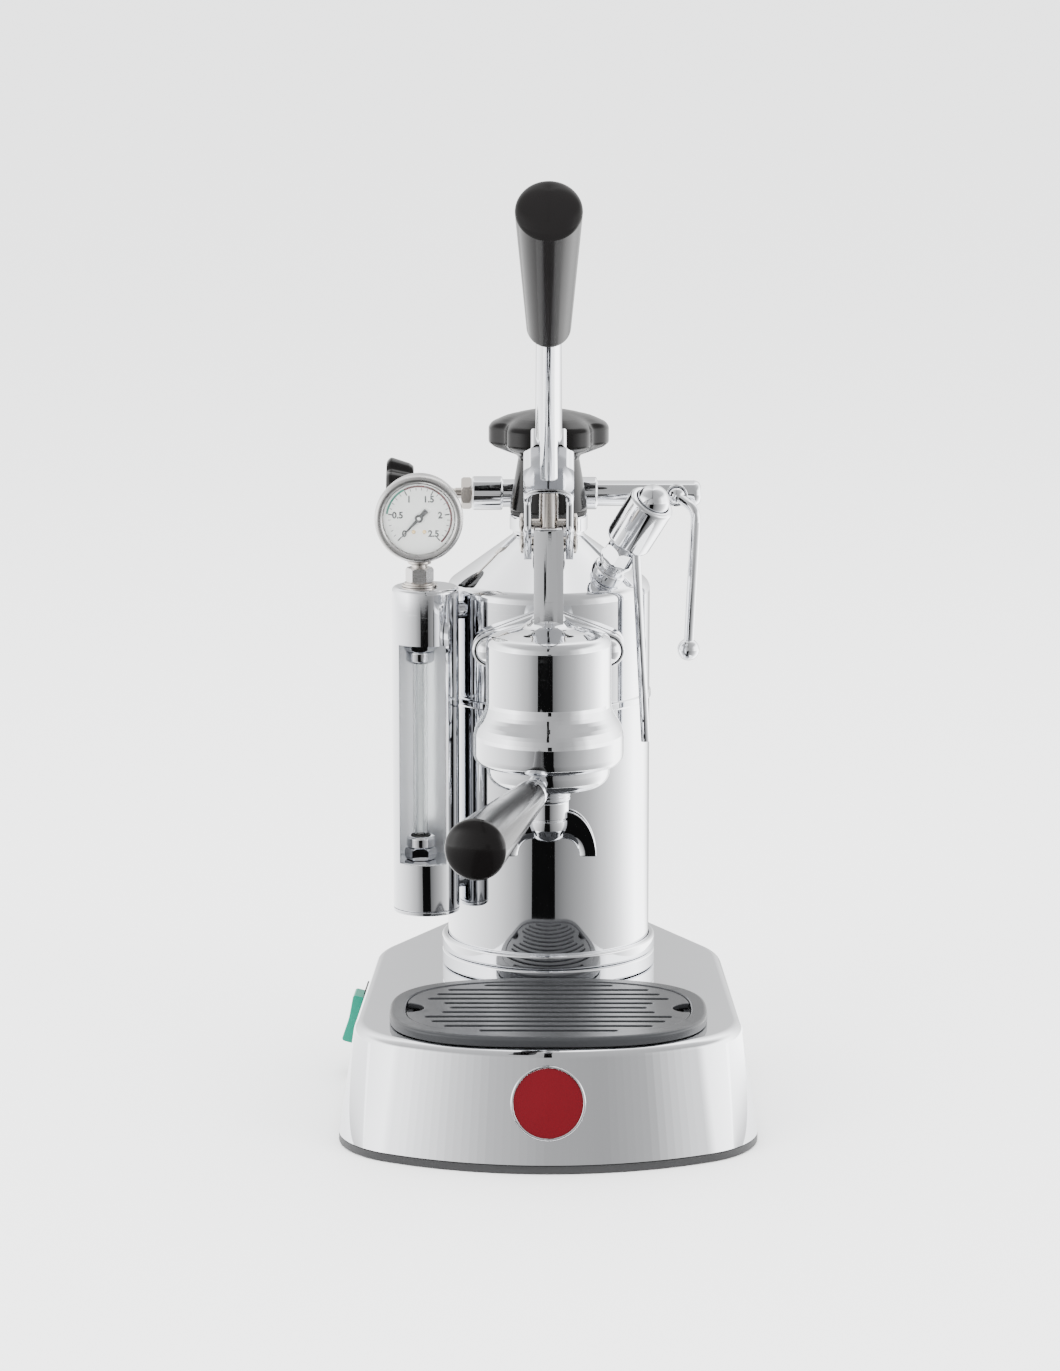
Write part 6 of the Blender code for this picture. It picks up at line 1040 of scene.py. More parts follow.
@dataclass(frozen=True)
class Base(SubAssembly):
    """The pressed shell on its black pan, with the badge, switch, lamp and their walls."""

    front: float = 183.0 * MM
    front_arc: float = 153.0 * MM
    front_sweep: float = math.radians(27.6)
    half_width: float = 101.54 * MM
    corner: float = 46.0 * MM
    shoulder_in: float = 8.5 * MM
    shoulder_back: float = 29.0 * MM
    shoulder: float = 60.0 * MM
    tail_half: float = 52.0 * MM
    tail_back: float = 107.0 * MM
    tail: float = 22.0 * MM
    pan: float = 4.2 * MM
    shell_foot: float = 4.5 * MM
    side_draft: float = 8.0 * MM
    end_draft: float = 11.0 * MM
    edge: float = 4.0 * MM
    sheet: float = 1.4 * MM
    stub: float = 29.8 * MM
    well_inset: float = 8.6 * MM
    badge: float = 17.7 * MM
    badge_z: float = 33.0 * MM
    switch_z: float = 27.0 * MM
    lamp_z: float = 30.0 * MM

    def corner_y(self) -> float:
        """Where the front's curve would meet the side, had it no rounding."""
        run_out = self.front_arc * (1 / math.cos(self.front_sweep) - 1)
        return self.half_width * math.tan(self.front_sweep) - self.front - run_out

    def outline(self) -> Loop:
        """The shell's plan at its foot."""
        right = [(self.half_width, self.corner_y(), self.corner),
                 (self.half_width - self.shoulder_in, self.shoulder_back, self.shoulder),
                 (self.tail_half, self.tail_back, self.tail)]
        left = [(-x, y, radius) for x, y, radius in reversed(right)]
        apex = self.corner_y() - self.half_width * math.tan(self.front_sweep)
        return rounded([(0.0, apex, self.front_arc), *right, *left], True, math.radians(1.5))

    def rise(self, z: float) -> float:
        """How far up the drafted wall a height lies, as a share."""
        return max((z - self.pan) / (BASE_TOP - self.pan), 0.0)

    def level(self, z: float, inset: float) -> Loop:
        """The plan at a height, drawn in by the draft and an inset.

        Args:
            z: the height.
            inset: how far the plan is drawn in besides the draft.

        Returns:
            The loop.
        """
        middle = (self.tail_back - self.front) / 2
        half = (self.tail_back + self.front) / 2
        across = 1 - (self.side_draft * self.rise(z) + inset) / self.half_width
        along = 1 - (self.end_draft * self.rise(z) + inset) / half
        return [Vector((p.x * across, middle + (p.y - middle) * along, z)) for p in self.outline()]

    def wall_half(self, z: float) -> float:
        """The half width of the side walls beside the boiler's axis."""
        share = self.corner_y() / (self.corner_y() - self.shoulder_back)
        width = self.half_width - self.shoulder_in * share
        return width * (1 - self.side_draft * self.rise(z) / self.half_width)

    def side_wall(self, z: float, side: int) -> Matrix:
        """A frame on a side wall with +Z outwards.

        Args:
            z: its height.
            side: -1 for the left wall, 1 for the right one.

        Returns:
            The frame.
        """
        lean = math.atan2(self.side_draft, BASE_TOP - self.pan)
        taper = math.atan2(self.shoulder_in, self.shoulder_back - self.corner_y())
        out = turn(taper * side, "Z") @ turn((QUARTER - lean) * side, "Y")
        return at(self.wall_half(z) * side, 0.0, z) @ out @ turn(QUARTER * side, "Z")

    def front_wall(self, z: float) -> Matrix:
        """A frame on the front wall with +Z outwards and +Y up."""
        lean = math.atan2(self.end_draft, BASE_TOP - self.pan)
        return at(0.0, self.end_draft * self.rise(z) - self.front, z) @ turn(QUARTER - lean, "X")

    def build_shell(self) -> None:
        """The polished shell, hollow from below, with its openings."""
        top = BASE_TOP - self.edge
        outer = [self.level(self.shell_foot, 0.0), self.level(self.shell_foot + SUPPORT, 0.0),
                 self.level(top - SUPPORT, 0.0)]
        outer += [self.level(top + self.edge * math.sin(a), self.edge * (1 - math.cos(a)))
                  for a in fan(8)]
        inner = [self.level(0.0, self.sheet), self.level(top, self.sheet),
                 self.level(BASE_TOP - self.sheet, self.edge)]
        shell = skin("shell", outer)
        cutters = [skin("hollow", inner),
                   slab("well", [tray_outline(self.well_inset)], self.edge * 8, at(z=BASE_TOP)),
                   slab("stub", [arc(ORIGIN, self.stub, 0.0, 6.2)], self.edge * 8, at(z=BASE_TOP)),
                   slab("switch_hole", [rectangle(20.0 * MM, 31.0 * MM, GAP)], self.edge * 4,
                        self.side_wall(self.switch_z, -1))]
        dressed(combined(shell, cutters), Finish.CHROME, "machine", "base_shell", sharp=30.0)

    def build_pan(self) -> None:
        """The black pan that the shell stands on."""
        lip = self.pan + 5.0 * MM
        levels = ((0.0, 0.8), (0.4, 0.24), (0.8, 0.0), (4.0, 0.0), (4.2, 0.2), (4.2, 2.0))
        loops = [self.level(z * MM, inset * MM) for z, inset in levels]
        loops += [self.level(lip, 2.0 * MM), self.level(lip, 4.0 * MM),
                  self.level(2.8 * MM, 6.0 * MM)]
        dressed(skin("pan", loops), Finish.BLACK_MATTE, "machine", "base_pan")

    def build_badge(self) -> None:
        """A plain enamelled disc in a chromed rim. It stays bare."""
        place = self.front_wall(self.badge_z)
        inner, foot = self.badge - 1.3 * MM, 0.3 * MM
        face = [(0.0, 2.1 * MM), (inner, 1.8 * MM), (inner, foot), (0.0, foot)]
        rim = [(inner, 2.45 * MM, GAP), (self.badge - GAP, 2.55 * MM, GAP * 2),
               (self.badge, 1.6 * MM, GAP), (self.badge, foot), (inner, foot)]
        dressed(turned("badge_face", face, place), Finish.ENAMEL, "machine", "badge")
        dressed(turned("badge_rim", rim, place, closed=True), Finish.CHROME, "machine")

    def build_switch(self) -> None:
        """The rocker switch on the left wall."""
        wall = self.side_wall(self.switch_z, -1)
        opening = rectangle(16.2 * MM, 27.2 * MM, 1.2 * MM)
        flange = slab("switch_flange", [rectangle(23.0 * MM, 34.0 * MM, 2.6 * MM), opening],
                      2.4 * MM, wall @ at(z=1.5 * MM), 0.7 * MM)
        well = slab("switch_well", [rectangle(19.4 * MM, 30.4 * MM, 1.2 * MM), opening], 18.0 * MM,
                    wall @ at(z=-9.0 * MM))
        dressed(flange, Finish.BLACK_MATTE, "machine", "switch_frame")
        dressed(well, Finish.BLACK_MATTE, "machine")
        side = rounded(mm((-4, -12.2, 1.5), (9.6, -12.2, 1.5), (8.7, 0, 30), (9.6, 12.2, 1.5),
                          (-4, 12.2, 1.5)), True, math.radians(5))
        tilt = wall @ at(z=-0.08 * MM) @ turn(math.radians(-6), "X") @ turn(-QUARTER, "Y")
        rocker = slab("rocker", [side], 15.6 * MM, tilt, 0.7 * MM)
        dressed(rocker, Finish.GREEN, "rocker", "switch_rocker")

    def build_lamp(self) -> None:
        """The low pilot lamp on the right wall."""
        place = self.side_wall(self.lamp_z, 1)
        ring = mm((6.6, 1.35, 0.3), (8, 1.5, 0.3), (8.6, 0.9, 0.3), (8.6, 0.3), (6.4, 0.3),
                  (6.4, -14), (6, -14))
        lens = mm((0, 1.5), (4, 1.4, 20), (6.5, 0.9, 0.3), (6.3, -12), (0, -12))
        dressed(turned("lamp_ring", ring, place, closed=True), Finish.BLACK_GLOSS, "machine",
                "pilot_lamp")
        dressed(turned("lamp_lens", lens, place), Finish.AMBER, "machine")


@dataclass(frozen=True)
class DripTray(SubAssembly):
    """The moulded tray and the slotted grille that lies in it."""

    foot: float = 37.3 * MM
    floor: float = 39.3 * MM
    ledge: float = 58.9 * MM
    under: float = 57.3 * MM
    top: float = 62.2 * MM
    grille_foot: float = 59.2 * MM
    grille_thickness: float = 2.6 * MM
    grille_inset: float = 8.0 * MM
    slot_width: float = 3.3 * MM
    slot_pitch: float = 8.5 * MM
    slot_shares: tuple[float, ...] = (0.41, 0.64, 0.71, 0.765, 0.66, 0.62, 0.67, 0.775, 0.73, 0.65,
                                      0.43)
    notch: float = 8.5 * MM

    def build_tray(self) -> None:
        """The tray with its rounded rim and drafted basin."""
        section = rounded([(16.0 * MM, self.floor), (12.4 * MM, self.floor, 1.6 * MM),
                           (10.9 * MM, self.ledge, 0.3 * MM), (7.7 * MM, self.ledge, 0.3 * MM),
                           (7.7 * MM, self.top, 0.9 * MM), (0.0, self.top, 1.8 * MM),
                           (0.0, self.under, 0.5 * MM), (8.9 * MM, self.under, 0.3 * MM),
                           (10.4 * MM, self.foot, 1.8 * MM), (15.0 * MM, self.foot)])
        loops = [raised(tray_outline(p.x), p.y) for p in section]
        dressed(skin("tray", loops), Finish.TRAY, "tray", "drip_tray")

    def grille_edge(self) -> Loop:
        """The grille's outline with a round finger notch at each side."""
        centre = Vector((TRAY_HALF_WIDE - self.grille_inset, TRAY_Y))
        line = [p for p in tray_outline(self.grille_inset, 240)
                if min((p - centre).length, (Vector((-p.x, p.y)) - centre).length) > self.notch]
        first, last = line[0] - centre, Vector((line[-1].x, line[-1].y)) - centre
        start, end = math.atan2(last.y, last.x), math.atan2(first.y, first.x)
        bite = arc(centre, self.notch, start + 2 * math.pi, end)
        middle = next(i for i, p in enumerate(line) if p.y > centre.y and line[i + 1].y < centre.y)
        other = [Vector((-p.x, p.y)) for p in reversed(bite)]
        return [*line[:middle + 1], *other, *line[middle + 1:], *bite]

    def build_grille(self) -> None:
        """The slotted plate, grown from its outline and one point for each slot."""
        edge = self.grille_edge()
        mesh = bpy.data.meshes.new("grille")
        slots = [Vector((0.0, TRAY_Y + (5 - i) * self.slot_pitch))
                 for i in range(len(self.slot_shares))]
        joined = [(i, (i + 1) % len(edge)) for i in range(len(edge))]
        mesh.from_pydata([(p.x, p.y, 0.0) for p in [*edge, *slots]], joined, [])
        reach = mesh.attributes.new("reach", "FLOAT", "POINT")
        halves = [TRAY_HALF_WIDE * share - self.slot_width / 2 for share in self.slot_shares]
        reach.data.foreach_set("value", [0.0] * len(edge) + halves)
        grille = bpy.data.objects.new("grille", mesh)
        bpy.context.scene.collection.objects.link(grille)
        grown(grille, TREES.slots, {"Slot Width": self.slot_width,
                                    "Thickness": self.grille_thickness, "Steps": 24,
                                    "Material": PAINT.material(Finish.TRAY)})
        grille.data.transform(at(z=self.grille_foot))
        bevelled(grille, 0.45 * MM, 3, 50.0)
        dressed(grille, Finish.TRAY, "grille", "drip_grille")


def two_eared(middle: float, ear: float, span: float) -> Loop:
    """The outline of a flange with an ear at each side.

    Args:
        middle: the radius of its middle.
        ear: the radius of an ear.
        span: how far an ear's centre lies from the middle.

    Returns:
        The outline.
    """
    lean = math.asin((middle - ear) / span)
    slope = QUARTER - lean
    right, left, here = Vector((span, 0.0)), Vector((-span, 0.0)), ORIGIN
    return [*arc(right, ear, -slope, slope), *arc(here, middle, slope, math.pi - slope),
            *arc(left, ear, math.pi - slope, math.pi + slope),
            *arc(here, middle, math.pi + slope, 2 * math.pi - slope)]


@dataclass(frozen=True)
class Boiler(SubAssembly):
    """The upright boiler with its cone, neck, seam and the two rings at its foot."""

    foot: float = 61.3 * MM
    wall: float = 1.2 * MM
    shoulder_z: float = 250.0 * MM
    cone_top: float = 274.0 * MM
    neck: float = 17.4 * MM
    collar: float = 19.2 * MM
    top: float = 284.0 * MM
    seam_z: float = 194.7 * MM
    ring: float = 53.0 * MM

    def build_shell(self) -> None:
        """The polished vessel."""
        wall, seam = BOILER_RADIUS, self.seam_z
        profile = [(NECK_BORE, self.top, 0.8 * MM), (self.collar, self.top, 1.2 * MM),
                   (self.collar, self.top - 7.6 * MM, 0.8 * MM),
                   (self.neck, self.top - 8.6 * MM, 0.5 * MM), (self.neck, self.cone_top, 2.2 * MM),
                   (wall, self.shoulder_z, 6.5 * MM), (wall, seam + 2.1 * MM, 0.4 * MM),
                   (wall + 0.7 * MM, seam + 1.4 * MM, 0.6 * MM),
                   (wall + 0.7 * MM, seam - 1.4 * MM, 0.6 * MM), (wall, seam - 2.1 * MM, 0.4 * MM),
                   (wall, self.foot, GAP), (wall - self.wall, self.foot),
                   (wall - self.wall, 249.0 * MM, 4.0 * MM), (NECK_BORE, 274.4 * MM, 1.0 * MM)]
        shell = turned("boiler", profile, closed=True, steps=FINE_STEPS)
        dressed(shell, Finish.CHROME, "machine", "boiler_shell", sharp=40.0)

    def build_pads(self) -> None:
        """The pad that the group bolts to and the tap's boss on the cone."""
        outline = two_eared(19.0 * MM, 8.4 * MM, 28.5 * MM)
        place = at(z=GROUP_NECK_Z) @ TO_FRONT @ at(z=47.5 * MM)
        dressed(slab("group_pad", [outline], 10.0 * MM, place, 0.5 * MM), Finish.CHROME, "machine")
        boss = mm((0, 272), (10, 272, 0.9), (10.4, 267.5, 2), (13, 264.5), (0, 258))
        dressed(turned("tap_boss", boss, at(y=26.6 * MM), steps=SMALL_STEPS), Finish.CHROME,
                "machine")

    def build_rings(self) -> None:
        """The two plain rings between the boiler and the base."""
        for name, low, high in (("lower", 57.3 * MM, 65.2 * MM), ("upper", 65.5 * MM, 72.7 * MM)):
            edge = 1.3 * MM
            profile = [(self.ring, high, edge), (self.ring, low, edge), (self.ring - 2.7 * MM, low),
                       (self.ring - 2.7 * MM, high, GAP)]
            ring = turned(f"ring_{name}", profile, closed=True, steps=FINE_STEPS)
            dressed(ring, Finish.CHROME, "machine", f"boiler_{name}_ring")


@dataclass(frozen=True)
class Group(SubAssembly):
    """The bell with its skirt, post, neck and flange, and the two bolts."""

    bell: float = 29.95 * MM
    skirt: float = 36.0 * MM
    lip: float = 177.2 * MM
    post_half: float = 7.05 * MM
    bolt_span: float = 28.5 * MM
    bolt_head: float = 6.5 * MM

    def build_bell(self) -> None:
        """The turned casting, from the post's flare down to the lip."""
        hollow = 234.6 * MM
        profile = [*mm((0, 253), (6.6, 253), (7.3, 247.8, 5), (12.6, 243.9, 7), (20, 242.3, 40)),
                   (self.bell, 239.2 * MM, 5.5 * MM), (self.bell, 203.4 * MM, 14.0 * MM),
                   (self.skirt, 194.4 * MM, 14.0 * MM), (self.skirt, self.lip, 5.2 * MM),
                   (30.05 * MM, self.lip, 0.4 * MM),
                   *mm((30.05, 179.4), (33.5, 179.4), (33.5, 192.3), (22.2, 192.3)),
                   (22.2 * MM, hollow), (5.0 * MM, hollow), (5.0 * MM, 252.9 * MM),
                   (0.0, 252.9 * MM)]
        bell = turned("bell", profile, GROUP_AXIS, steps=FINE_STEPS)
        dressed(bell, Finish.CHROME, "machine", "group_body", sharp=45.0)

    def build_post(self) -> None:
        """The upright post with its lug for the pivot and the way for the rod and its pin."""
        side = rounded(mm((-8, 240), (-8, 292, 2.6), (0, 292, 1), (2, 287, 2.5), (32, 287, 7),
                          (32, 273, 7), (11.2, 252, 21), (11.2, 240)), closed=True)
        flat = GROUP_AXIS @ Matrix(((0, 0, 1, 0), (1, 0, 0, 0), (0, 1, 0, 0), (0, 0, 0, 1)))
        post = slab("post", [side], 2 * self.post_half, flat, 1.9 * MM, 4)
        slot = rectangle(5.8 * MM, 60.0 * MM, 2.8 * MM)
        crown, half = 30.0 * MM, math.asin(self.post_half * 1.02 / (30.0 * MM))
        plan = arc(Vector((0.0, crown - 8.0 * MM)), crown, -QUARTER - half, half - QUARTER,
                   math.radians(1.5))
        plan += [Vector((self.post_half * 1.02, 40.0 * MM)),
                 Vector((-self.post_half * 1.02, 40.0 * MM))]
        bore = mm((0, 300), (4.9, 300), (4.9, 236), (0, 236))
        cutters = [slab("pin_way", [slot], 20.0 * MM, flat @ at(y=294.2 * MM)),
                   turned("rod_way", bore, GROUP_AXIS, steps=SMALL_STEPS)]
        combined(post, [slab("crown", [plan], 140.0 * MM, GROUP_AXIS @ at(z=270.0 * MM))],
                 "INTERSECT")
        dressed(combined(post, cutters), Finish.CHROME, "machine", sharp=30.0)

    def build_flange(self) -> None:
        """The neck and the two-eared flange that meets the boiler."""
        place = at(z=GROUP_NECK_Z) @ TO_FRONT
        outline = two_eared(19.0 * MM, 8.4 * MM, self.bolt_span)
        flange = slab("group_flange", [outline], 6.0 * MM, place @ at(z=57.7 * MM), 1.3 * MM, 4)
        neck = mm((0, 66), (15, 66), (15, 60.7, 0.8), (17, 60), (17, 55), (0, 55))
        dressed(flange, Finish.CHROME, "machine")
        dressed(turned("group_neck", neck, place), Finish.CHROME, "machine")

    def build_bolts(self) -> None:
        """The two domed bolts."""
        head, rise = self.bolt_head, 5.4 * MM
        bolt = turned("bolts", [*dome(head, 0.6 * MM, rise, 12), (head, 0.0),
                                *mm((3.2, 0), (3.2, -13), (0, -13))], steps=SMALL_STEPS)
        spots = [Vector((-self.bolt_span, 0.0, 61.0 * MM)),
                 Vector((self.bolt_span, 0.0, 61.0 * MM))]
        repeated(bolt, spots, (0.0, 0.0), UP, Finish.CHROME)
        bolt.data.transform(at(z=GROUP_NECK_Z) @ TO_FRONT)
        dressed(bolt, Finish.CHROME, "machine", "group_bolt_left", "group_bolt_right")


def grip_profile(length: float, near: float, far: float, edge: float, crown: float) -> list[Corner]:
    """A turned grip with a domed far end, from the far end back.

    Args:
        length: the grip's length.
        near: its radius at the near end.
        far: its radius at the far end.
        edge: how far the ends' edges are rounded.
        crown: how far the far end bulges.

    Returns:
        The corners.
    """
    drop = crown + edge
    end = [(far * 0.999 * math.sin(a), length - drop * (1 - math.cos(a))) for a in fan(14)]
    return [*end, (near, edge, edge * 3), (near * 0.95, edge * 0.25, edge), (near * 0.72, 0.0, GAP),
            (0.0, 0.0)]


def linkage_pin(name: str, radius: float, place: Matrix) -> Piece:
    """A pin with a low domed head at each end, along X.

    Args:
        name: the piece's name.
        radius: its shank's radius.
        place: its middle.

    Returns:
        The object.
    """
    low, high, head = 12.05 * MM, 14.05 * MM, 5.2 * MM
    half = [(0.0, high), (3.0 * MM, high - 0.15 * MM, 6.0 * MM), (head, high - 0.8 * MM, 0.7 * MM),
            (head, low, 0.2 * MM), (radius, low)]
    line = [*half, *[(corner[0], -corner[1], *corner[2:]) for corner in reversed(half)]]
    return turned(name, line, place @ TO_RIGHT, steps=SMALL_STEPS)


@dataclass(frozen=True)
class Lever(SubAssembly):
    """The forked lever with its rod and grip, its pivot and the piston's rod and pin."""

    angle: float = math.radians(36.0)
    down: float = math.radians(53.0)
    up: float = math.radians(9.0)
    stroke: float = 27.6 * MM
    pivot_back: float = 25.0 * MM
    pin_rise: float = 13.0 * MM
    pin_half: float = 2.8 * MM
    ear: float = 7.6 * MM
    half_width: float = 11.75 * MM
    window: float = 8.15 * MM
    bridge: float = 52.0 * MM
    window_end: float = 61.0 * MM
    shoulder: float = 84.0 * MM
    reach: float = 108.5 * MM
    thin: float = 4.8 * MM
    wall: float = 3.2 * MM
    corner: float = 5.0 * MM
    slim: float = 8.2 * MM
    bead_share: float = 0.45
    grip_start: float = 208.0 * MM

    def frame(self) -> Matrix:
        """The lever's own frame: +X along it, +Y to its upper side, at the pivot."""
        sine, cosine = math.sin(self.angle), math.cos(self.angle)
        return at(*PIVOT) @ Matrix(((0, 0, -1, 0), (-cosine, sine, 0, 0), (sine, cosine, 0, 0),
                                    (0, 0, 0, 1)))

    def slot(self) -> tuple[float, float, float, float]:
        """Where the rod's pin runs in the fork through the whole swing.

        Returns:
            The near and far end along the slot, its middle across, and its half width.
        """
        along, across = [], []
        rest = math.atan2(self.pin_rise, self.pivot_back)
        for i in range(33):
            swing = -self.down + (self.up + self.down) * i / 32
            rise = self.pin_rise + self.stroke * swing
            heading = math.atan2(rise, self.pivot_back) - swing - rest
            reach = math.hypot(self.pivot_back, rise)
            along.append(reach * math.cos(heading))
            across.append(reach * math.sin(heading))
        middle = (min(across) + max(across)) / 2
        return min(along), max(along), middle, self.pin_half + (max(across) - min(across)) / 2

    def slot_heading(self) -> float:
        """How far the pin's slot is turned from the lever's own axis."""
        return math.atan2(self.pin_rise, self.pivot_back) - self.angle

    def slot_end(self) -> tuple[float, float, float]:
        """The far end of the pin's slot in the lever's frame, and the slot's half width."""
        _, end, middle, half = self.slot()
        heading = self.slot_heading()
        return end * math.cos(heading), end * math.sin(heading) + middle, half

    def side(self) -> Loop:
        """The fork's outline from the side."""
        end_x, end_y, half = self.slot_end()
        wall, thick = self.wall, self.ear * 2
        return rounded([(-self.ear, self.ear, self.ear), (end_x, self.ear, thick),
                        (self.bridge, self.thin, thick), (self.reach, self.thin, 2.0 * MM),
                        (self.reach, -self.thin, 2.0 * MM), (self.bridge, -self.thin, self.ear),
                        (end_x + half + wall, end_y - half - wall, self.ear),
                        (-self.ear, -self.ear, self.ear)], True, math.radians(6))

    def plan(self) -> Loop:
        """The fork's outline from above: two ears round a window, then the shouldered plate."""
        corner = 3.5 * MM
        wide, slim, near, far = self.half_width, self.slim, self.shoulder, self.shoulder + corner
        back, bend = -self.ear * 2, self.corner
        return rounded([(back, -wide), (near, -wide, corner), (far, -slim, corner),
                        (self.reach - 0.2 * MM, -slim, corner),
                        (self.reach - 0.2 * MM, slim, corner), (far, slim, corner),
                        (near, wide, corner), (back, wide), (back, self.window),
                        (self.window_end, self.window, bend), (self.window_end, -self.window, bend),
                        (back, -self.window)], closed=True)

    def build_fork(self) -> None:
        """The fork: what its side and its plan share, with the pivot's hole and the pin's slot."""
        near, end, middle, half = self.slot()
        heading = self.slot_heading()
        place, wide = self.frame(), self.half_width * 4
        fork = slab("fork", [self.side()], self.half_width * 2 + GAP, place)
        slot = slab("pin_slot", [rectangle(end - near + 2 * half, 2 * half, half * 0.98)], wide,
                    place @ turn(heading, "Z") @ at((near + end) / 2, middle))
        hole = slab("pivot_hole", [arc(ORIGIN, 3.3 * MM, 0.0, 6.1)], wide, place)
        plan = slab("plan", [self.plan()], wide, place @ TO_FRONT)
        combined(fork, [plan], "INTERSECT")
        combined(fork, [slot, hole])
        bevelled(fork, 0.7 * MM, 3, 40.0)
        dressed(fork, Finish.CHROME, "lever", "lever_fork", sharp=40.0)

    def build_rim(self) -> None:
        """The rounded bead along the front of both ears and over the window."""
        end_x, end_y, half = self.slot_end()
        low = Vector((end_x + half + self.wall, end_y - half - self.wall))
        ear = low.lerp(Vector((-self.ear, -self.ear)), 0.8)
        radius = (self.half_width - self.window) / 2
        edge, far, corner = self.window + radius, self.window_end + radius, self.corner + radius
        front = rounded([(ear.x, ear.y), (low.x, low.y, self.ear),
                         (self.bridge, -self.thin, self.ear), (far - corner, -self.thin)],
                        step=math.radians(6))
        sink = self.bead_share * radius
        leg = [Vector((p.x, p.y + sink, edge)) for p in front]
        leg[0].y += radius
        arch = [Vector((far - corner + corner * math.sin(a), sink - self.thin,
                        edge - corner + corner * math.cos(a))) for a in fan(8)[1:]]
        route = [*leg, *arch]
        route += [Vector((p.x, p.y, -p.z)) for p in reversed(route)]
        bead = tube("window_rim", route, radius, self.frame(), 20)
        dressed(bead, Finish.CHROME, "lever", sharp=60.0)

    def build_rod(self) -> None:
        """The tapering rod and the black grip on it."""
        place = self.frame() @ TO_RIGHT
        rod = mm((0, 207.9), (5.7, 207.9, 0.3), (6.3, 74.6, 6), (3.6, 70.6, 2), (0, 70.2))
        dressed(turned("lever_rod", rod, place), Finish.CHROME, "lever", sharp=50.0)
        grip = grip_profile(109.65 * MM, 9.9 * MM, 14.5 * MM, 3.0 * MM, 4.0 * MM)
        piece = turned("lever_grip", grip, place @ at(z=self.grip_start))
        dressed(piece, Finish.BLACK_GLOSS, "lever", "lever_handle", sharp=50.0)
        # The grip's darker copy of the black plastic is painted shade.
        piece.data.materials[0] = PAINT.material(Finish.GRIP)

    def build_linkage(self) -> None:
        """The pivot, the rod's pin and the piston's rod."""
        dressed(linkage_pin("pivot", 3.0 * MM, at(*PIVOT)), Finish.NICKEL, "machine", "pivot_pin")
        pin_place = at(0.0, -GROUP_REACH, PIN_Z)
        dressed(linkage_pin("pin", 2.5 * MM, pin_place), Finish.NICKEL, "piston", "rod_pin")
        line = mm((0, 311), (4.5, 311, 1.2), (4.5, 222.7), (0, 222.7))
        rod = turned("rod", line, GROUP_AXIS, steps=SMALL_STEPS)
        dressed(rod, Finish.NICKEL, "piston", "piston_rod", sharp=50.0)


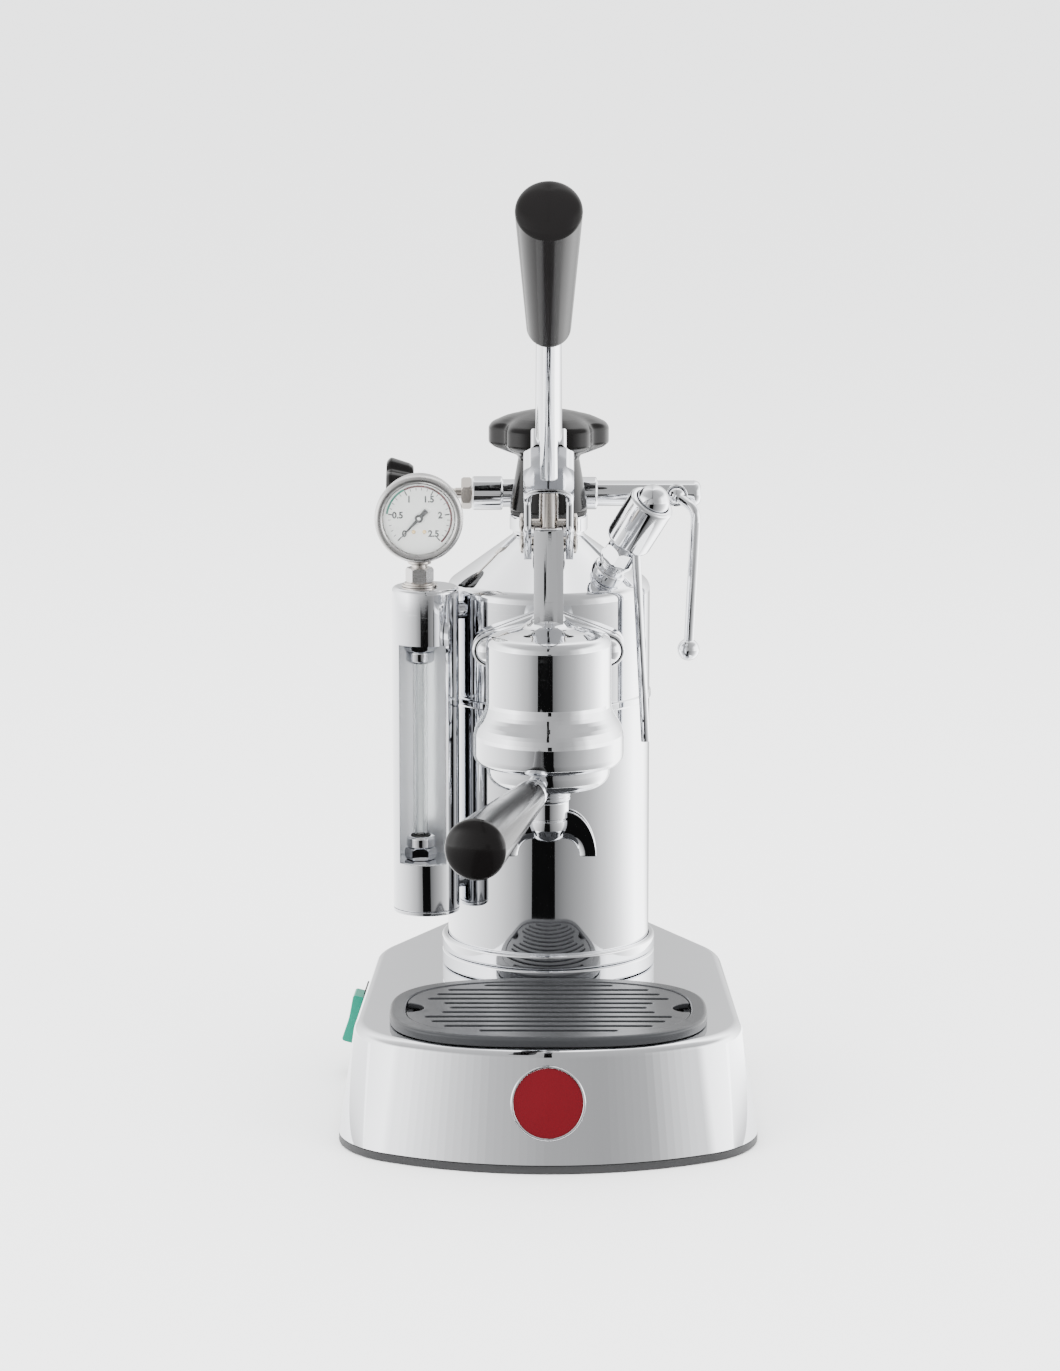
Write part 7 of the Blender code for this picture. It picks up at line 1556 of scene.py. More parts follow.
@dataclass(frozen=True)
class Portafilter(SubAssembly):
    """The portafilter with its ferrule, handle and twin spout; its basket is dressed with the inner
    parts.
    """

    yaw: float = math.radians(-12.0)
    rim: float = 186.0 * MM
    foot: float = 166.4 * MM
    wing_low: float = 179.7 * MM
    wing_high: float = 183.3 * MM
    handle_start: float = 41.05 * MM
    spout_top: float = 159.3 * MM
    spout_radius: float = 9.75 * MM
    channel_root: float = 8.0 * MM
    channel_reach: float = 15.0 * MM
    channel_rise: float = 22.3 * MM
    channel_deep: float = 8.4 * MM
    channel_half: float = 3.9 * MM
    channel_wall: float = 1.3 * MM
    channel_tall: float = 1.7
    tip_z: float = 132.0 * MM

    def place(self, z: float = 0.0) -> Matrix:
        """The bowl's axis at a height, turned to the handle."""
        return at(0.0, -GROUP_REACH, z) @ turn(self.yaw, "Z")

    def build_bowl(self) -> None:
        """The bowl with its collar and threaded ring, the stem and the wings."""
        ring = 10.4 * MM
        profile = [(0.0, 168.8 * MM), (25.7 * MM, 168.8 * MM, 2.0 * MM), (25.7 * MM, self.rim, GAP),
                   (BOWL_RADIUS, self.rim, 0.8 * MM), (BOWL_RADIUS, self.foot, 8.0 * MM),
                   (12.4 * MM, self.foot, 1.6 * MM), (ring, 165.2 * MM, 0.3 * MM),
                   *ridges(ring, 164.8 * MM, 160.0 * MM, 0.5 * MM, 3), (ring, 159.6 * MM, 0.3 * MM),
                   *mm((5, 159.6), (5, 151), (0, 151))]
        bowl = turned("bowl", profile, self.place(), steps=144)
        dressed(bowl, Finish.CHROME, "portafilter", "portafilter_body")
        stem = mm((0, 74.4), (4, 74.4, 0.3), (4, 28), (0, 28))
        place = self.place(STEM_Z) @ TO_FRONT
        dressed(turned("stem", stem, place, steps=SMALL_STEPS), Finish.CHROME, "portafilter")
        half, here = math.radians(17.0), ORIGIN
        for side, name in ((0.0, "right"), (math.pi, "left")):
            wing = [*arc(here, 32.75 * MM, side - half, side + half, math.radians(2)),
                    *arc(here, 27.6 * MM, side + half, side - half, math.radians(2))]
            middle = at(z=(self.wing_low + self.wing_high) / 2)
            piece = slab(f"wing_{name}", [wing], self.wing_high - self.wing_low,
                         self.place() @ middle, 0.4 * MM)
            dressed(piece, Finish.CHROME, "portafilter")

    def build_handle(self) -> None:
        """The bell-shaped ferrule and the black handle."""
        place = self.place(STEM_Z) @ TO_FRONT
        near = 29.0 * MM
        ferrule = [(7.0 * MM, near + 11.75 * MM, 0.4 * MM), (7.4 * MM, near + 10.2 * MM, 1.5 * MM),
                   (6.8 * MM, near + 4.6 * MM, 6.0 * MM), (5.4 * MM, near + 0.9 * MM, 1.5 * MM),
                   (4.4 * MM, near + 0.9 * MM), (4.4 * MM, near + 11.75 * MM)]
        piece = turned("ferrule", ferrule, place, closed=True)
        dressed(piece, Finish.CHROME, "portafilter", "portafilter_ferrule")
        grip = grip_profile(122.0 * MM, 7.9 * MM, 14.3 * MM, 3.0 * MM, 3.0 * MM)
        handle = turned("handle", grip, place @ at(z=self.handle_start))
        dressed(handle, Finish.BLACK_GLOSS, "portafilter", "portafilter_handle", sharp=50.0)

    def channel_loops(self, side: int) -> list[Loop]:
        """The section of a spout channel at each step of its curve.

        Args:
            side: -1 for the left channel, 1 for the right one.

        Returns:
            The loops, from the tip upwards.
        """
        half, inner = self.channel_half, self.channel_half - self.channel_wall
        bottom = Vector((self.channel_deep - half, 0.0))
        section = [Vector((0.0, -half)), *arc(bottom, half, -QUARTER, QUARTER), Vector((0.0, half)),
                   Vector((0.0, inner)), *arc(bottom, inner, QUARTER, -QUARTER),
                   Vector((0.0, -inner))]
        loops: list[Loop] = []
        for i in range(25):
            angle = math.radians(100.0) * i / 24
            across, up = math.cos(angle), math.sin(angle)
            loops.append([Vector((side * (self.channel_root + (self.channel_reach - p.x) * across),
                                  p.y,
                                  (self.channel_rise - p.x * self.channel_tall) * up + self.tip_z))
                          for p in section])
        return loops

    def build_spout(self) -> None:
        """The boss with its groove and the two curved channels."""
        wide, groove = self.spout_radius, 150.4 * MM
        profile = [(5.3 * MM, 151.0 * MM), (5.3 * MM, self.spout_top, GAP),
                   (wide, self.spout_top, 0.8 * MM), (wide, groove + 0.7 * MM, 0.2 * MM),
                   (wide - 0.6 * MM, groove + 0.4 * MM, 0.2 * MM),
                   (wide - 0.6 * MM, groove - 0.4 * MM, 0.2 * MM),
                   (wide, groove - 0.7 * MM, 0.2 * MM), (wide, 146.6 * MM, 9.0 * MM),
                   (6.6 * MM, 139.8 * MM, 6.0 * MM), (0.0, 138.4 * MM)]
        boss = turned("spout_boss", [(0.0, 151.0 * MM), *profile], GROUP_AXIS)
        dressed(boss, Finish.CHROME, "portafilter", "spout")
        for side, name in ((-1, "left"), (1, "right")):
            piece = skin(f"channel_{name}", self.channel_loops(side), GROUP_AXIS)
            bevelled(piece, 0.5 * MM, 3, 50.0)
            dressed(piece, Finish.CHROME, "portafilter", sharp=40.0)


def lobed_knob(name: str, corners: Sequence[Corner], shares: Sequence[tuple[float, float]],
               lobes: int, place: Matrix) -> Piece:
    """A turned knob whose rim is drawn in between its lobes.

    Args:
        name: the piece's name.
        corners: the profile, from the top down.
        shares: (height, how much of the radius is drawn in there), from low to high.
        lobes: how many lobes it has.
        place: where it goes.

    Returns:
        The object.
    """
    def share_at(radius: float, z: float) -> float:
        """How much the rim is drawn in at a height, none near the axis."""
        if z <= shares[0][0] or z >= shares[-1][0] or radius < GAP:
            return 0.0
        for (low, near), (high, far) in zip(shares, shares[1:]):
            if low <= z <= high:
                return near + (far - near) * (z - low) / (high - low)
        return 0.0

    knob = turned(name, corners, steps=192, lobe=share_at)
    grown(knob, TREES.lobes,
          {"Lobes": float(lobes), "Depth": 1.0, "Material": PAINT.material(Finish.BLACK_GLOSS)})
    knob.data.transform(place)
    return knob


@dataclass(frozen=True)
class FillerCap(SubAssembly):
    """The tall black filler cap with its lobed top."""

    foot: float = 286.4 * MM
    top: float = 335.5 * MM
    knob: float = 29.6 * MM
    share: float = 0.16

    def build_cap(self) -> None:
        """The cap, turned and then drawn in between its lobes."""
        profile = [(0.0, self.top), *mm((9, 335.25, 30), (21, 332.7, 22), (28.4, 329.3, 5)),
                   (self.knob, 327.0 * MM, 2.2 * MM), (self.knob, 319.7 * MM, 1.8 * MM),
                   *mm((27.4, 317.8, 5), (20.5, 315.1, 8), (14.8, 313.2, 2.6), (19.2, 287.6, 1)),
                   (19.3 * MM, self.foot, 0.5 * MM), (13.6 * MM, self.foot),
                   (13.6 * MM, 275.6 * MM, 0.8 * MM), (0.0, 275.6 * MM)]
        full, half = self.share, self.share / 2
        shares = [(313.4 * MM, 0.0), (315.2 * MM, half), (318.0 * MM, full), (329.0 * MM, full),
                  (332.2 * MM, half * 1.2), (335.2 * MM, 0.0)]
        cap = lobed_knob("cap", profile, shares, 6, Matrix.Identity(4))
        dressed(cap, Finish.BLACK_GLOSS, "cap", "cap_knob", sharp=50.0)


@dataclass(frozen=True)
class SteamTap(SubAssembly):
    """The steam tap across the boiler's back, with its knob and the wand."""

    back: float = 26.6 * MM
    z: float = 290.0 * MM
    right: float = 75.7 * MM
    tube: float = 6.35 * MM
    body: float = 6.9 * MM
    ball: Vector = Vector((63.5 * MM, 19.15 * MM, 290.0 * MM))
    ball_radius: float = 4.4 * MM
    tip_radius: float = 5.5 * MM

    def place(self) -> Matrix:
        """The tap's axis, with +Z to the right."""
        return at(0.0, self.back, self.z) @ TO_RIGHT

    def build_body(self) -> None:
        """The tap's body on its pillar, with the hexagon under it and the gland nut."""
        collar, valve = 8.1 * MM, 8.4 * MM
        profile = [(0.0, self.right), (self.tube, self.right, 3.4 * MM),
                   (self.tube, 24.0 * MM, 0.4 * MM), (collar, 24.0 * MM, 0.9 * MM),
                   (collar, 14.0 * MM, 0.9 * MM), (self.body, 14.0 * MM, 0.4 * MM),
                   (self.body, -23.0 * MM, 0.4 * MM), (valve, -23.0 * MM, 0.9 * MM),
                   (valve, -38.0 * MM, 0.9 * MM), (0.0, -38.0 * MM)]
        body = turned("tap_body", profile, self.place())
        dressed(body, Finish.CHROME, "machine", "steam_tap_body", sharp=50.0)
        pillar = mm((0, 290), (6, 290), (6, 278.6, 0.6), (6.8, 278.3), (6.8, 276), (0, 276))
        dressed(turned("tap_pillar", pillar, at(y=self.back), steps=SMALL_STEPS), Finish.CHROME,
                "machine")
        dressed(hex_nut("tap_hex", 7.9 * MM, 272.3 * MM, 278.3 * MM, at(y=self.back)),
                Finish.CHROME, "machine")
        nut = hex_nut("gland_nut", 8.0 * MM, -43.5 * MM, -38.3 * MM, self.place())
        dressed(nut, Finish.NICKEL, "machine", "steam_gland_nut")
        socket = mm((5.5, 21), (5.5, 17.9, 0.5), (4.6, 17.7, 0.3), (4.6, 21))
        flip = at(self.ball.x, 0.0, self.z) @ turn(-QUARTER, "X")
        dressed(turned("wand_socket", socket, flip, closed=True, steps=SMALL_STEPS), Finish.CHROME,
                "machine")

    def build_knob(self) -> None:
        """The lobed black knob on its spindle."""
        spindle = mm((0, -12), (2.7, -12), (2.7, -46.4, 0.3), (2.3, -46.8, 0.3), (2.3, -47.6, 0.3),
                     (2.7, -48, 0.3), (2.7, -72.5), (0, -72.5))
        dressed(turned("spindle", spindle, self.place(), steps=SMALL_STEPS), Finish.NICKEL,
                "steam_tap", "steam_spindle")
        profile = mm((0, -64), (5.4, -64, 0.4), (6, -67.2, 0.5), (13.6, -67.2, 1.5),
                     (15.1, -69.4, 2), (18, -78.6, 1.8), (15.8, -80.6, 2.4), (9, -80.6, 9),
                     (0, -79.8))
        shares = [(-81.0 * MM, 0.05), (-80.2 * MM, 0.13), (-79.0 * MM, 0.16), (-68.4 * MM, 0.16),
                  (-67.3 * MM, 0.12), (-67.19 * MM, 0.0)]
        knob = lobed_knob("tap_knob", profile, shares, 6, self.place())
        dressed(knob, Finish.BLACK_GLOSS, "steam_tap", "steam_knob", sharp=50.0)

    def build_wand(self) -> None:
        """The steam wand: ball, bent tube and ball tip."""
        knee = self.ball + Vector((9.5 * MM, -9.0 * MM, -6.0 * MM))
        tip = self.ball + Vector((6.0 * MM, -9.0 * MM, -76.0 * MM))
        rod = tube("wand_tube", smooth_route([self.ball, knee, tip], 6.0 * MM), 2.5 * MM)
        dressed(rod, Finish.CHROME, "wand", "steam_wand", sharp=60.0)
        for name, centre, radius in (("wand_ball", self.ball, self.ball_radius),
                                     ("wand_tip", tip, self.tip_radius)):
            ball = dome(radius, 0.0, radius, 24, math.pi)
            piece = turned(name, ball, at(*centre), steps=SMALL_STEPS)
            dressed(piece, Finish.CHROME, "wand", sharp=60.0)


@dataclass(frozen=True)
class SafetyValve(SubAssembly):
    """The tilted safety valve on the cone and its overflow tube."""

    azimuth: float = math.radians(40.0)
    ring: float = 38.0 * MM
    cone_z: float = 258.83 * MM
    lean: float = math.radians(36.36)
    barrel: float = 11.4 * MM
    neck: float = 6.0 * MM
    top: float = 46.8 * MM
    barrel_foot: float = 19.8 * MM
    cap: float = 8.2 * MM
    tube: float = 2.2 * MM

    def frame(self) -> Matrix:
        """The valve's axis, square to the cone."""
        return turn(-self.azimuth, "Z") @ at(self.ring, 0.0, self.cone_z) @ turn(self.lean, "Y")

    def build_body(self) -> None:
        """The barrel on its neck with stacked washers, the hexagon and the collar on the cone."""
        profile = [(0.0, 36.0 * MM), (8.7 * MM, 36.0 * MM), (8.7 * MM, self.top, 0.3 * MM),
                   (self.barrel, self.top, 1.8 * MM), (self.barrel, self.barrel_foot, 2.6 * MM),
                   (7.4 * MM, self.barrel_foot, 0.4 * MM), (7.4 * MM, 18.5 * MM, 0.4 * MM),
                   (self.neck, 18.3 * MM), (self.neck, 8.8 * MM),
                   *mm((8.6, 8.7, 0.2), (8.6, 7.8, 0.2), (6.6, 7.6, 0.2), (7.8, 7.2, 0.2),
                       (7.8, 6.4, 0.2), (6.2, 6.2, 0.2), (7.2, 5.8, 0.2), (7.2, 5, 0.2)),
                   (self.neck, 4.8 * MM), (self.neck, 3.0 * MM), (0.0, 3.0 * MM)]
        body = turned("valve_body", profile, self.frame())
        dressed(body, Finish.CHROME, "machine", "safety_valve_body")
        dressed(hex_nut("valve_hex", 8.6 * MM, 8.8 * MM, 16.8 * MM, self.frame()), Finish.CHROME,
                "machine")
        boss = mm((0, 3), (8.5, 3, 1.2), (8.5, -1.5, 2), (11, -3), (0, -6))
        dressed(turned("valve_boss", boss, self.frame()), Finish.CHROME, "machine")

    def build_cap(self) -> None:
        """The dome in the barrel's mouth."""
        top = dome(self.cap, self.top, self.cap * 0.995, 16)
        cap = turned("valve_cap", [*top, (self.cap, 41.0 * MM), (0.0, 41.0 * MM)], self.frame())
        dressed(cap, Finish.CHROME, "machine", "safety_valve_cap", sharp=50.0)

    def build_tube(self) -> None:
        """The open tube that drops from the barrel."""
        heading = Vector((math.cos(-self.azimuth), math.sin(-self.azimuth)))
        start = self.frame() @ Vector((0.0, 0.0, self.barrel_foot))
        offset = 5.7 * MM
        start += Vector((offset * heading.x, offset * heading.y, -offset * math.tan(self.lean)))
        hang = at(*start) @ turn(-math.atan2(5.0, 94.0), "Y")
        inner, length = self.tube - 0.6 * MM, 94.0 * MM
        profile = [(self.tube, 3.0 * MM), (self.tube, -length, 0.2 * MM),
                   (inner, -length, 0.2 * MM), (inner, 3.0 * MM)]
        tube_piece = turned("overflow", profile, hang, closed=True, steps=48)
        dressed(tube_piece, Finish.CHROME, "machine", "overflow_tube")


@dataclass(frozen=True)
class SightColumn(SubAssembly):
    """The guard round the sight glass, its fittings and nuts."""

    foot: float = 91.5 * MM
    top: float = 253.4 * MM
    guard: float = 16.3 * MM
    wall: float = 1.2 * MM
    window_low: float = 117.0 * MM
    window_high: float = 226.0 * MM
    window_wide: float = 23.0 * MM
    heading: float = math.radians(28.8)
    glass: float = 3.5 * MM

    def place(self, z: float = 0.0) -> Matrix:
        """The guard's axis at a height."""
        return at(SIGHT_X, SIGHT_Y, z)

    def build_guard(self) -> None:
        """The chromed guard with its window to the front."""
        inner, low = self.guard - self.wall, 93.6 * MM
        profile = [(0.0, self.top), (self.guard, self.top, 2.0 * MM), (self.guard, low, 0.3 * MM),
                   (inner, low), (inner, self.top - 1.6 * MM), (0.0, self.top - 1.6 * MM)]
        guard = turned("guard", profile, self.place(), steps=144)
        middle = (self.window_low + self.window_high) / 2
        window = slab("window",
                      [rectangle(self.window_wide, self.window_high - self.window_low, 0.5 * MM)],
                      40.0 * MM, at(-61.4 * MM, SIGHT_Y - 22.0 * MM, middle) @ TO_FRONT)
        combined(guard, [window])
        bevelled(guard, 0.25 * MM, 2, 60.0)
        dressed(guard, Finish.CHROME, "machine", "sight_guard", sharp=30.0)
        # The inside faces get the lighter copy of the chrome: painted light on the hollow.
        guard.data.materials.append(PAINT.material(Finish.INSIDE))
        for face in guard.data.polygons:
            reach = math.hypot(face.center.x - SIGHT_X, face.center.y - SIGHT_Y)
            face.material_index = int(reach < inner + 0.1 * MM
                                      and face.center.z < self.top - self.wall)

    def build_fittings(self) -> None:
        """The two blocks with their arms to the boiler, and the flange under the guard."""
        block, flange = 14.8 * MM, 93.3 * MM
        lower = [(0.0, 117.3 * MM), (block, 117.3 * MM, 0.8 * MM), (block, flange),
                 (self.guard, flange, GAP), (self.guard, self.foot, 0.6 * MM), (0.0, self.foot)]
        upper = [(0.0, 251.5 * MM), (block, 251.5 * MM), (block, 227.5 * MM, 0.8 * MM),
                 (0.0, 227.5 * MM)]
        for name, line, node, z in (("lower", lower, "bottom", 105.3 * MM),
                                    ("upper", upper, "top", 239.8 * MM)):
            piece = turned(f"sight_block_{name}", line, self.place())
            dressed(piece, Finish.CHROME, "machine", f"sight_{node}_fitting")
            arm = mm((0, 23.5), (4.5, 23.5), (4.5, 0), (0, 0))
            along = self.place(z) @ turn(self.heading, "Z") @ TO_RIGHT
            dressed(turned(f"sight_arm_{name}", arm, along, steps=SMALL_STEPS), Finish.CHROME,
                    "machine")

    def build_glass(self) -> None:
        """The glass tube between its two nuts."""
        profile = [(self.glass, 232.5 * MM, GAP), (self.glass, 112.3 * MM, GAP),
                   (self.glass - 1.2 * MM, 112.3 * MM), (self.glass - 1.2 * MM, 232.5 * MM)]
        axis = at(GLASS_X, SIGHT_Y)
        glass = turned("glass_tube", profile, axis, closed=True, steps=SMALL_STEPS)
        dressed(glass, Finish.GLASS, "machine", "sight_glass")
        for name, way, start in (("lower", 1, 117.6 * MM), ("upper", -1, 227.2 * MM)):
            foot = at(z=start) @ (Matrix.Identity(4) if way > 0 else turn(math.pi, "X"))
            collar = mm((3.9, 11.4), (6.2, 11.4, 0.6), (7, 10.4, 0.8), (7, 6.2, 0.6), (6.2, 5.6),
                        (3.9, 5.6))
            ring = turned(f"nut_collar_{name}", collar, axis @ foot, closed=True, steps=SMALL_STEPS)
            dressed(ring, Finish.CHROME, "machine", f"sight_nut_{name}")
            nut = hex_nut(f"nut_hex_{name}", 7.9 * MM, 0.0, 5.6 * MM, axis @ foot, 3.9 * MM)
            dressed(nut, Finish.CHROME, "machine")
            seal = mm((3.55, 12), (4.9, 11.9, 0.3), (4.9, 11.2), (3.55, 11.2))
            dressed(turned(f"glass_seal_{name}", seal, axis @ foot, closed=True, steps=48),
                    Finish.RUBBER, "machine")


@dataclass(frozen=True)
class Gauge(SubAssembly):
    """The pressure gauge on top of the sight column."""

    face_y: float = -46.0 * MM
    z: float = 288.0 * MM
    case: float = 20.4 * MM
    bezel: float = 21.5 * MM
    opening: float = 17.2 * MM
    dial: float = 18.9 * MM
    dial_z: float = -4.6 * MM
    start: float = math.radians(227.0)
    sweep: float = math.radians(274.0)
    full: float = 2.5
    ink: float = 0.06 * MM

    def place(self) -> Matrix:
        """The gauge's face: +X right, +Y up, +Z to the front."""
        return at(GLASS_X, self.face_y, self.z) @ TO_FRONT

    def build_case(self) -> None:
        """The case, the rolled bezel, the lens and the stand under them."""
        case = [(self.case, -2.6 * MM), (self.case, -19.0 * MM, 1.8 * MM), (0.0, -19.0 * MM),
                (0.0, -17.8 * MM), (self.case - 1.2 * MM, -17.8 * MM, 1.0 * MM),
                (self.case - 1.2 * MM, -2.6 * MM)]
        dressed(turned("gauge_shell", case, self.place()), Finish.SATIN, "machine", "gauge_case")
        bezel = [(self.opening, -1.6 * MM, 0.3 * MM),
                 (self.opening + 1.2 * MM, -0.2 * MM, 1.0 * MM),
                 (self.bezel - 1.2 * MM, 0.0, 1.6 * MM), (self.bezel, -1.6 * MM, 1.4 * MM),
                 (self.bezel, -5.0 * MM, 0.5 * MM), (self.case + 0.1 * MM, -5.0 * MM),
                 (self.case + 0.1 * MM, -2.3 * MM), (self.opening, -2.3 * MM)]
        ring = turned("bezel", bezel, self.place(), closed=True, steps=128)
        dressed(ring, Finish.SATIN, "machine", "gauge_bezel")
        lens = [(0.0, -0.95 * MM), (self.dial, -0.95 * MM), (self.dial, -2.1 * MM),
                (0.0, -2.1 * MM)]
        dressed(turned("lens", lens, self.place()), Finish.GLASS, "machine", "gauge_lens")
        axis = at(GLASS_X, SIGHT_Y)
        nut = hex_nut("stand_nut", 6.9 * MM, 255.3 * MM, 262.5 * MM, axis)
        dressed(nut, Finish.SATIN, "machine", "gauge_nut")
        plate = mm((0, 255.3), (7.6, 255.3, 0.3), (7.6, 254.6, 0.3), (8.8, 254.5, 0.3),
                   (8.8, 253.6), (0, 253.6))
        dressed(turned("stand_plate", plate, axis, steps=SMALL_STEPS), Finish.NICKEL, "machine")
        lug = mm((0, 269.6), (5.7, 269.6), (5.7, 264.4, 0.5), (3.9, 264.3, 0.2), (3.9, 262.4),
                 (0, 262.4))
        dressed(turned("lug", lug, axis, steps=SMALL_STEPS), Finish.NICKEL, "machine")

    def heading(self, value: float) -> float:
        """The angle of a value on the scale."""
        return self.start - self.sweep * value / self.full

    def build_dial(self) -> None:
        """The pale dial with plain numbers, ticks and two coloured arcs."""
        plate = [(0.0, self.dial_z), (self.dial, self.dial_z), (self.dial, self.dial_z - 1.0 * MM),
                 (0.0, self.dial_z - 1.0 * MM)]
        dressed(turned("dial", plate, self.place()), Finish.DIAL, "machine", "gauge_dial")
        here, middle = ORIGIN, self.place() @ at(z=self.dial_z + self.ink / 2)
        for name, finish, low, high in (("green", Finish.GREEN, 0.5, 1.0),
                                        ("red", Finish.ENAMEL, 1.0, 2.5)):
            band = arc(here, 16.2 * MM, self.heading(low), self.heading(high), math.radians(4))
            band += arc(here, 15.2 * MM, self.heading(high), self.heading(low), math.radians(4))
            dressed(slab(f"band_{name}", [band], self.ink, middle), finish, "machine")
        for name, count, long, wide in (("fine", 26, 1.3 * MM, 0.3 * MM),
                                        ("main", 6, 2.4 * MM, 0.6 * MM)):
            tick = slab(f"ticks_{name}", [rectangle(long, wide, wide / 4)], self.ink,
                        at(15.0 * MM - long / 2))
            turns = [self.heading(self.full * i / (count - 1)) for i in range(count)]
            repeated(tick, [Vector((0.0, 0.0, 0.0))] * count, turns, UP, Finish.BLACK_MATTE)
            tick.data.transform(middle)
            dressed(tick, Finish.BLACK_MATTE, "machine")
        for i, label in enumerate(("0", "0.5", "1", "1.5", "2", "2.5")):
            text = bpy.data.curves.new("number", "FONT")
            text.body, text.size, text.extrude = label, 4.4 * MM, self.ink / 2
            text.offset = 0.16 * MM
            text.align_x, text.align_y, text.resolution_u = "CENTER", "CENTER", 4
            number = mesh_of_curve(f"number_{i}", text)
            angle = self.heading(self.full * i / 5)
            reach = 10.4 * MM
            number.data.transform(middle @ at(reach * math.cos(angle), reach * math.sin(angle)))
            dressed(number, Finish.BLACK_MATTE, "machine")

    def build_needle(self) -> None:
        """The needle with its blunt tail and hub, and the two screws of the movement."""
        height = at(z=-3.6 * MM)
        blade = rounded(mm((13, -0.15, 0.1), (13, 0.15, 0.1), (1, 0.8), (-5.5, 1.3, 0.5),
                           (-5.5, -1.3, 0.5), (1, -0.8)), closed=True)
        needle = slab("needle", [blade], 0.5 * MM, self.place() @ height @ turn(self.start, "Z"))
        dressed(needle, Finish.BLACK_MATTE, "needle", "gauge_needle")
        hub = mm((0, -3.1), (2, -3.1, 0.3), (2, -3.9), (0.9, -3.9), (0.9, -17), (0, -17))
        dressed(turned("hub", hub, self.place(), steps=SMALL_STEPS), Finish.BLACK_MATTE, "needle")
        pip = mm((0, -2.75), (0.9, -2.9, 0.3), (0.9, -3.2), (0, -3.2))
        dressed(turned("hub_pip", pip, self.place(), steps=24), Finish.SATIN, "needle")
        head = mm((0, 0.5), (0.7, 0.45, 0.3), (1, 0.2, 0.1), (1, 0), (0, 0))
        screw = turned("dial_screws", head, steps=24)
        spots = [Vector((-2.6 * MM, -6.6 * MM, 0.0)), Vector((2.6 * MM, -6.6 * MM, 0.0))]
        repeated(screw, spots, (0.0, 0.0), UP, Finish.BRASS)
        screw.data.transform(self.place() @ at(z=self.dial_z))
        dressed(screw, Finish.BRASS, "machine")


@dataclass(frozen=True)
class InnerParts(SubAssembly):
    """The inner pieces, whose solids stay as they are and get their finishes here."""

    finishes: tuple[tuple[str, Finish], ...] = (
        ("boiler_gasket", Finish.RUBBER), ("boiler_ring_nut", Finish.BRASS),
        ("cap_gasket", Finish.RUBBER), ("cord_gland", Finish.BLACK_MATTE),
        ("cylinder_sleeve", Finish.STEEL), ("dip_tube", Finish.BRASS),
        ("filter_basket", Finish.STEEL), ("group_gasket", Finish.RUBBER),
        ("group_seal", Finish.RUBBER), ("heating_element", Finish.BRASS),
        ("piston_head", Finish.BRASS), ("piston_seal_lower", Finish.RUBBER),
        ("piston_seal_upper", Finish.RUBBER), ("pressure_switch", Finish.BLACK_MATTE),
        ("shower_screen", Finish.STEEL))

    def build_finishes(self) -> None:
        """Dresses the inner pieces."""
        for name, finish in self.finishes:
            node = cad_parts[name]
            for slot in node.material_slots:
                slot.material = PAINT.material(finish)
            LOG.info("%s: dressed as %s", name, finish.value)


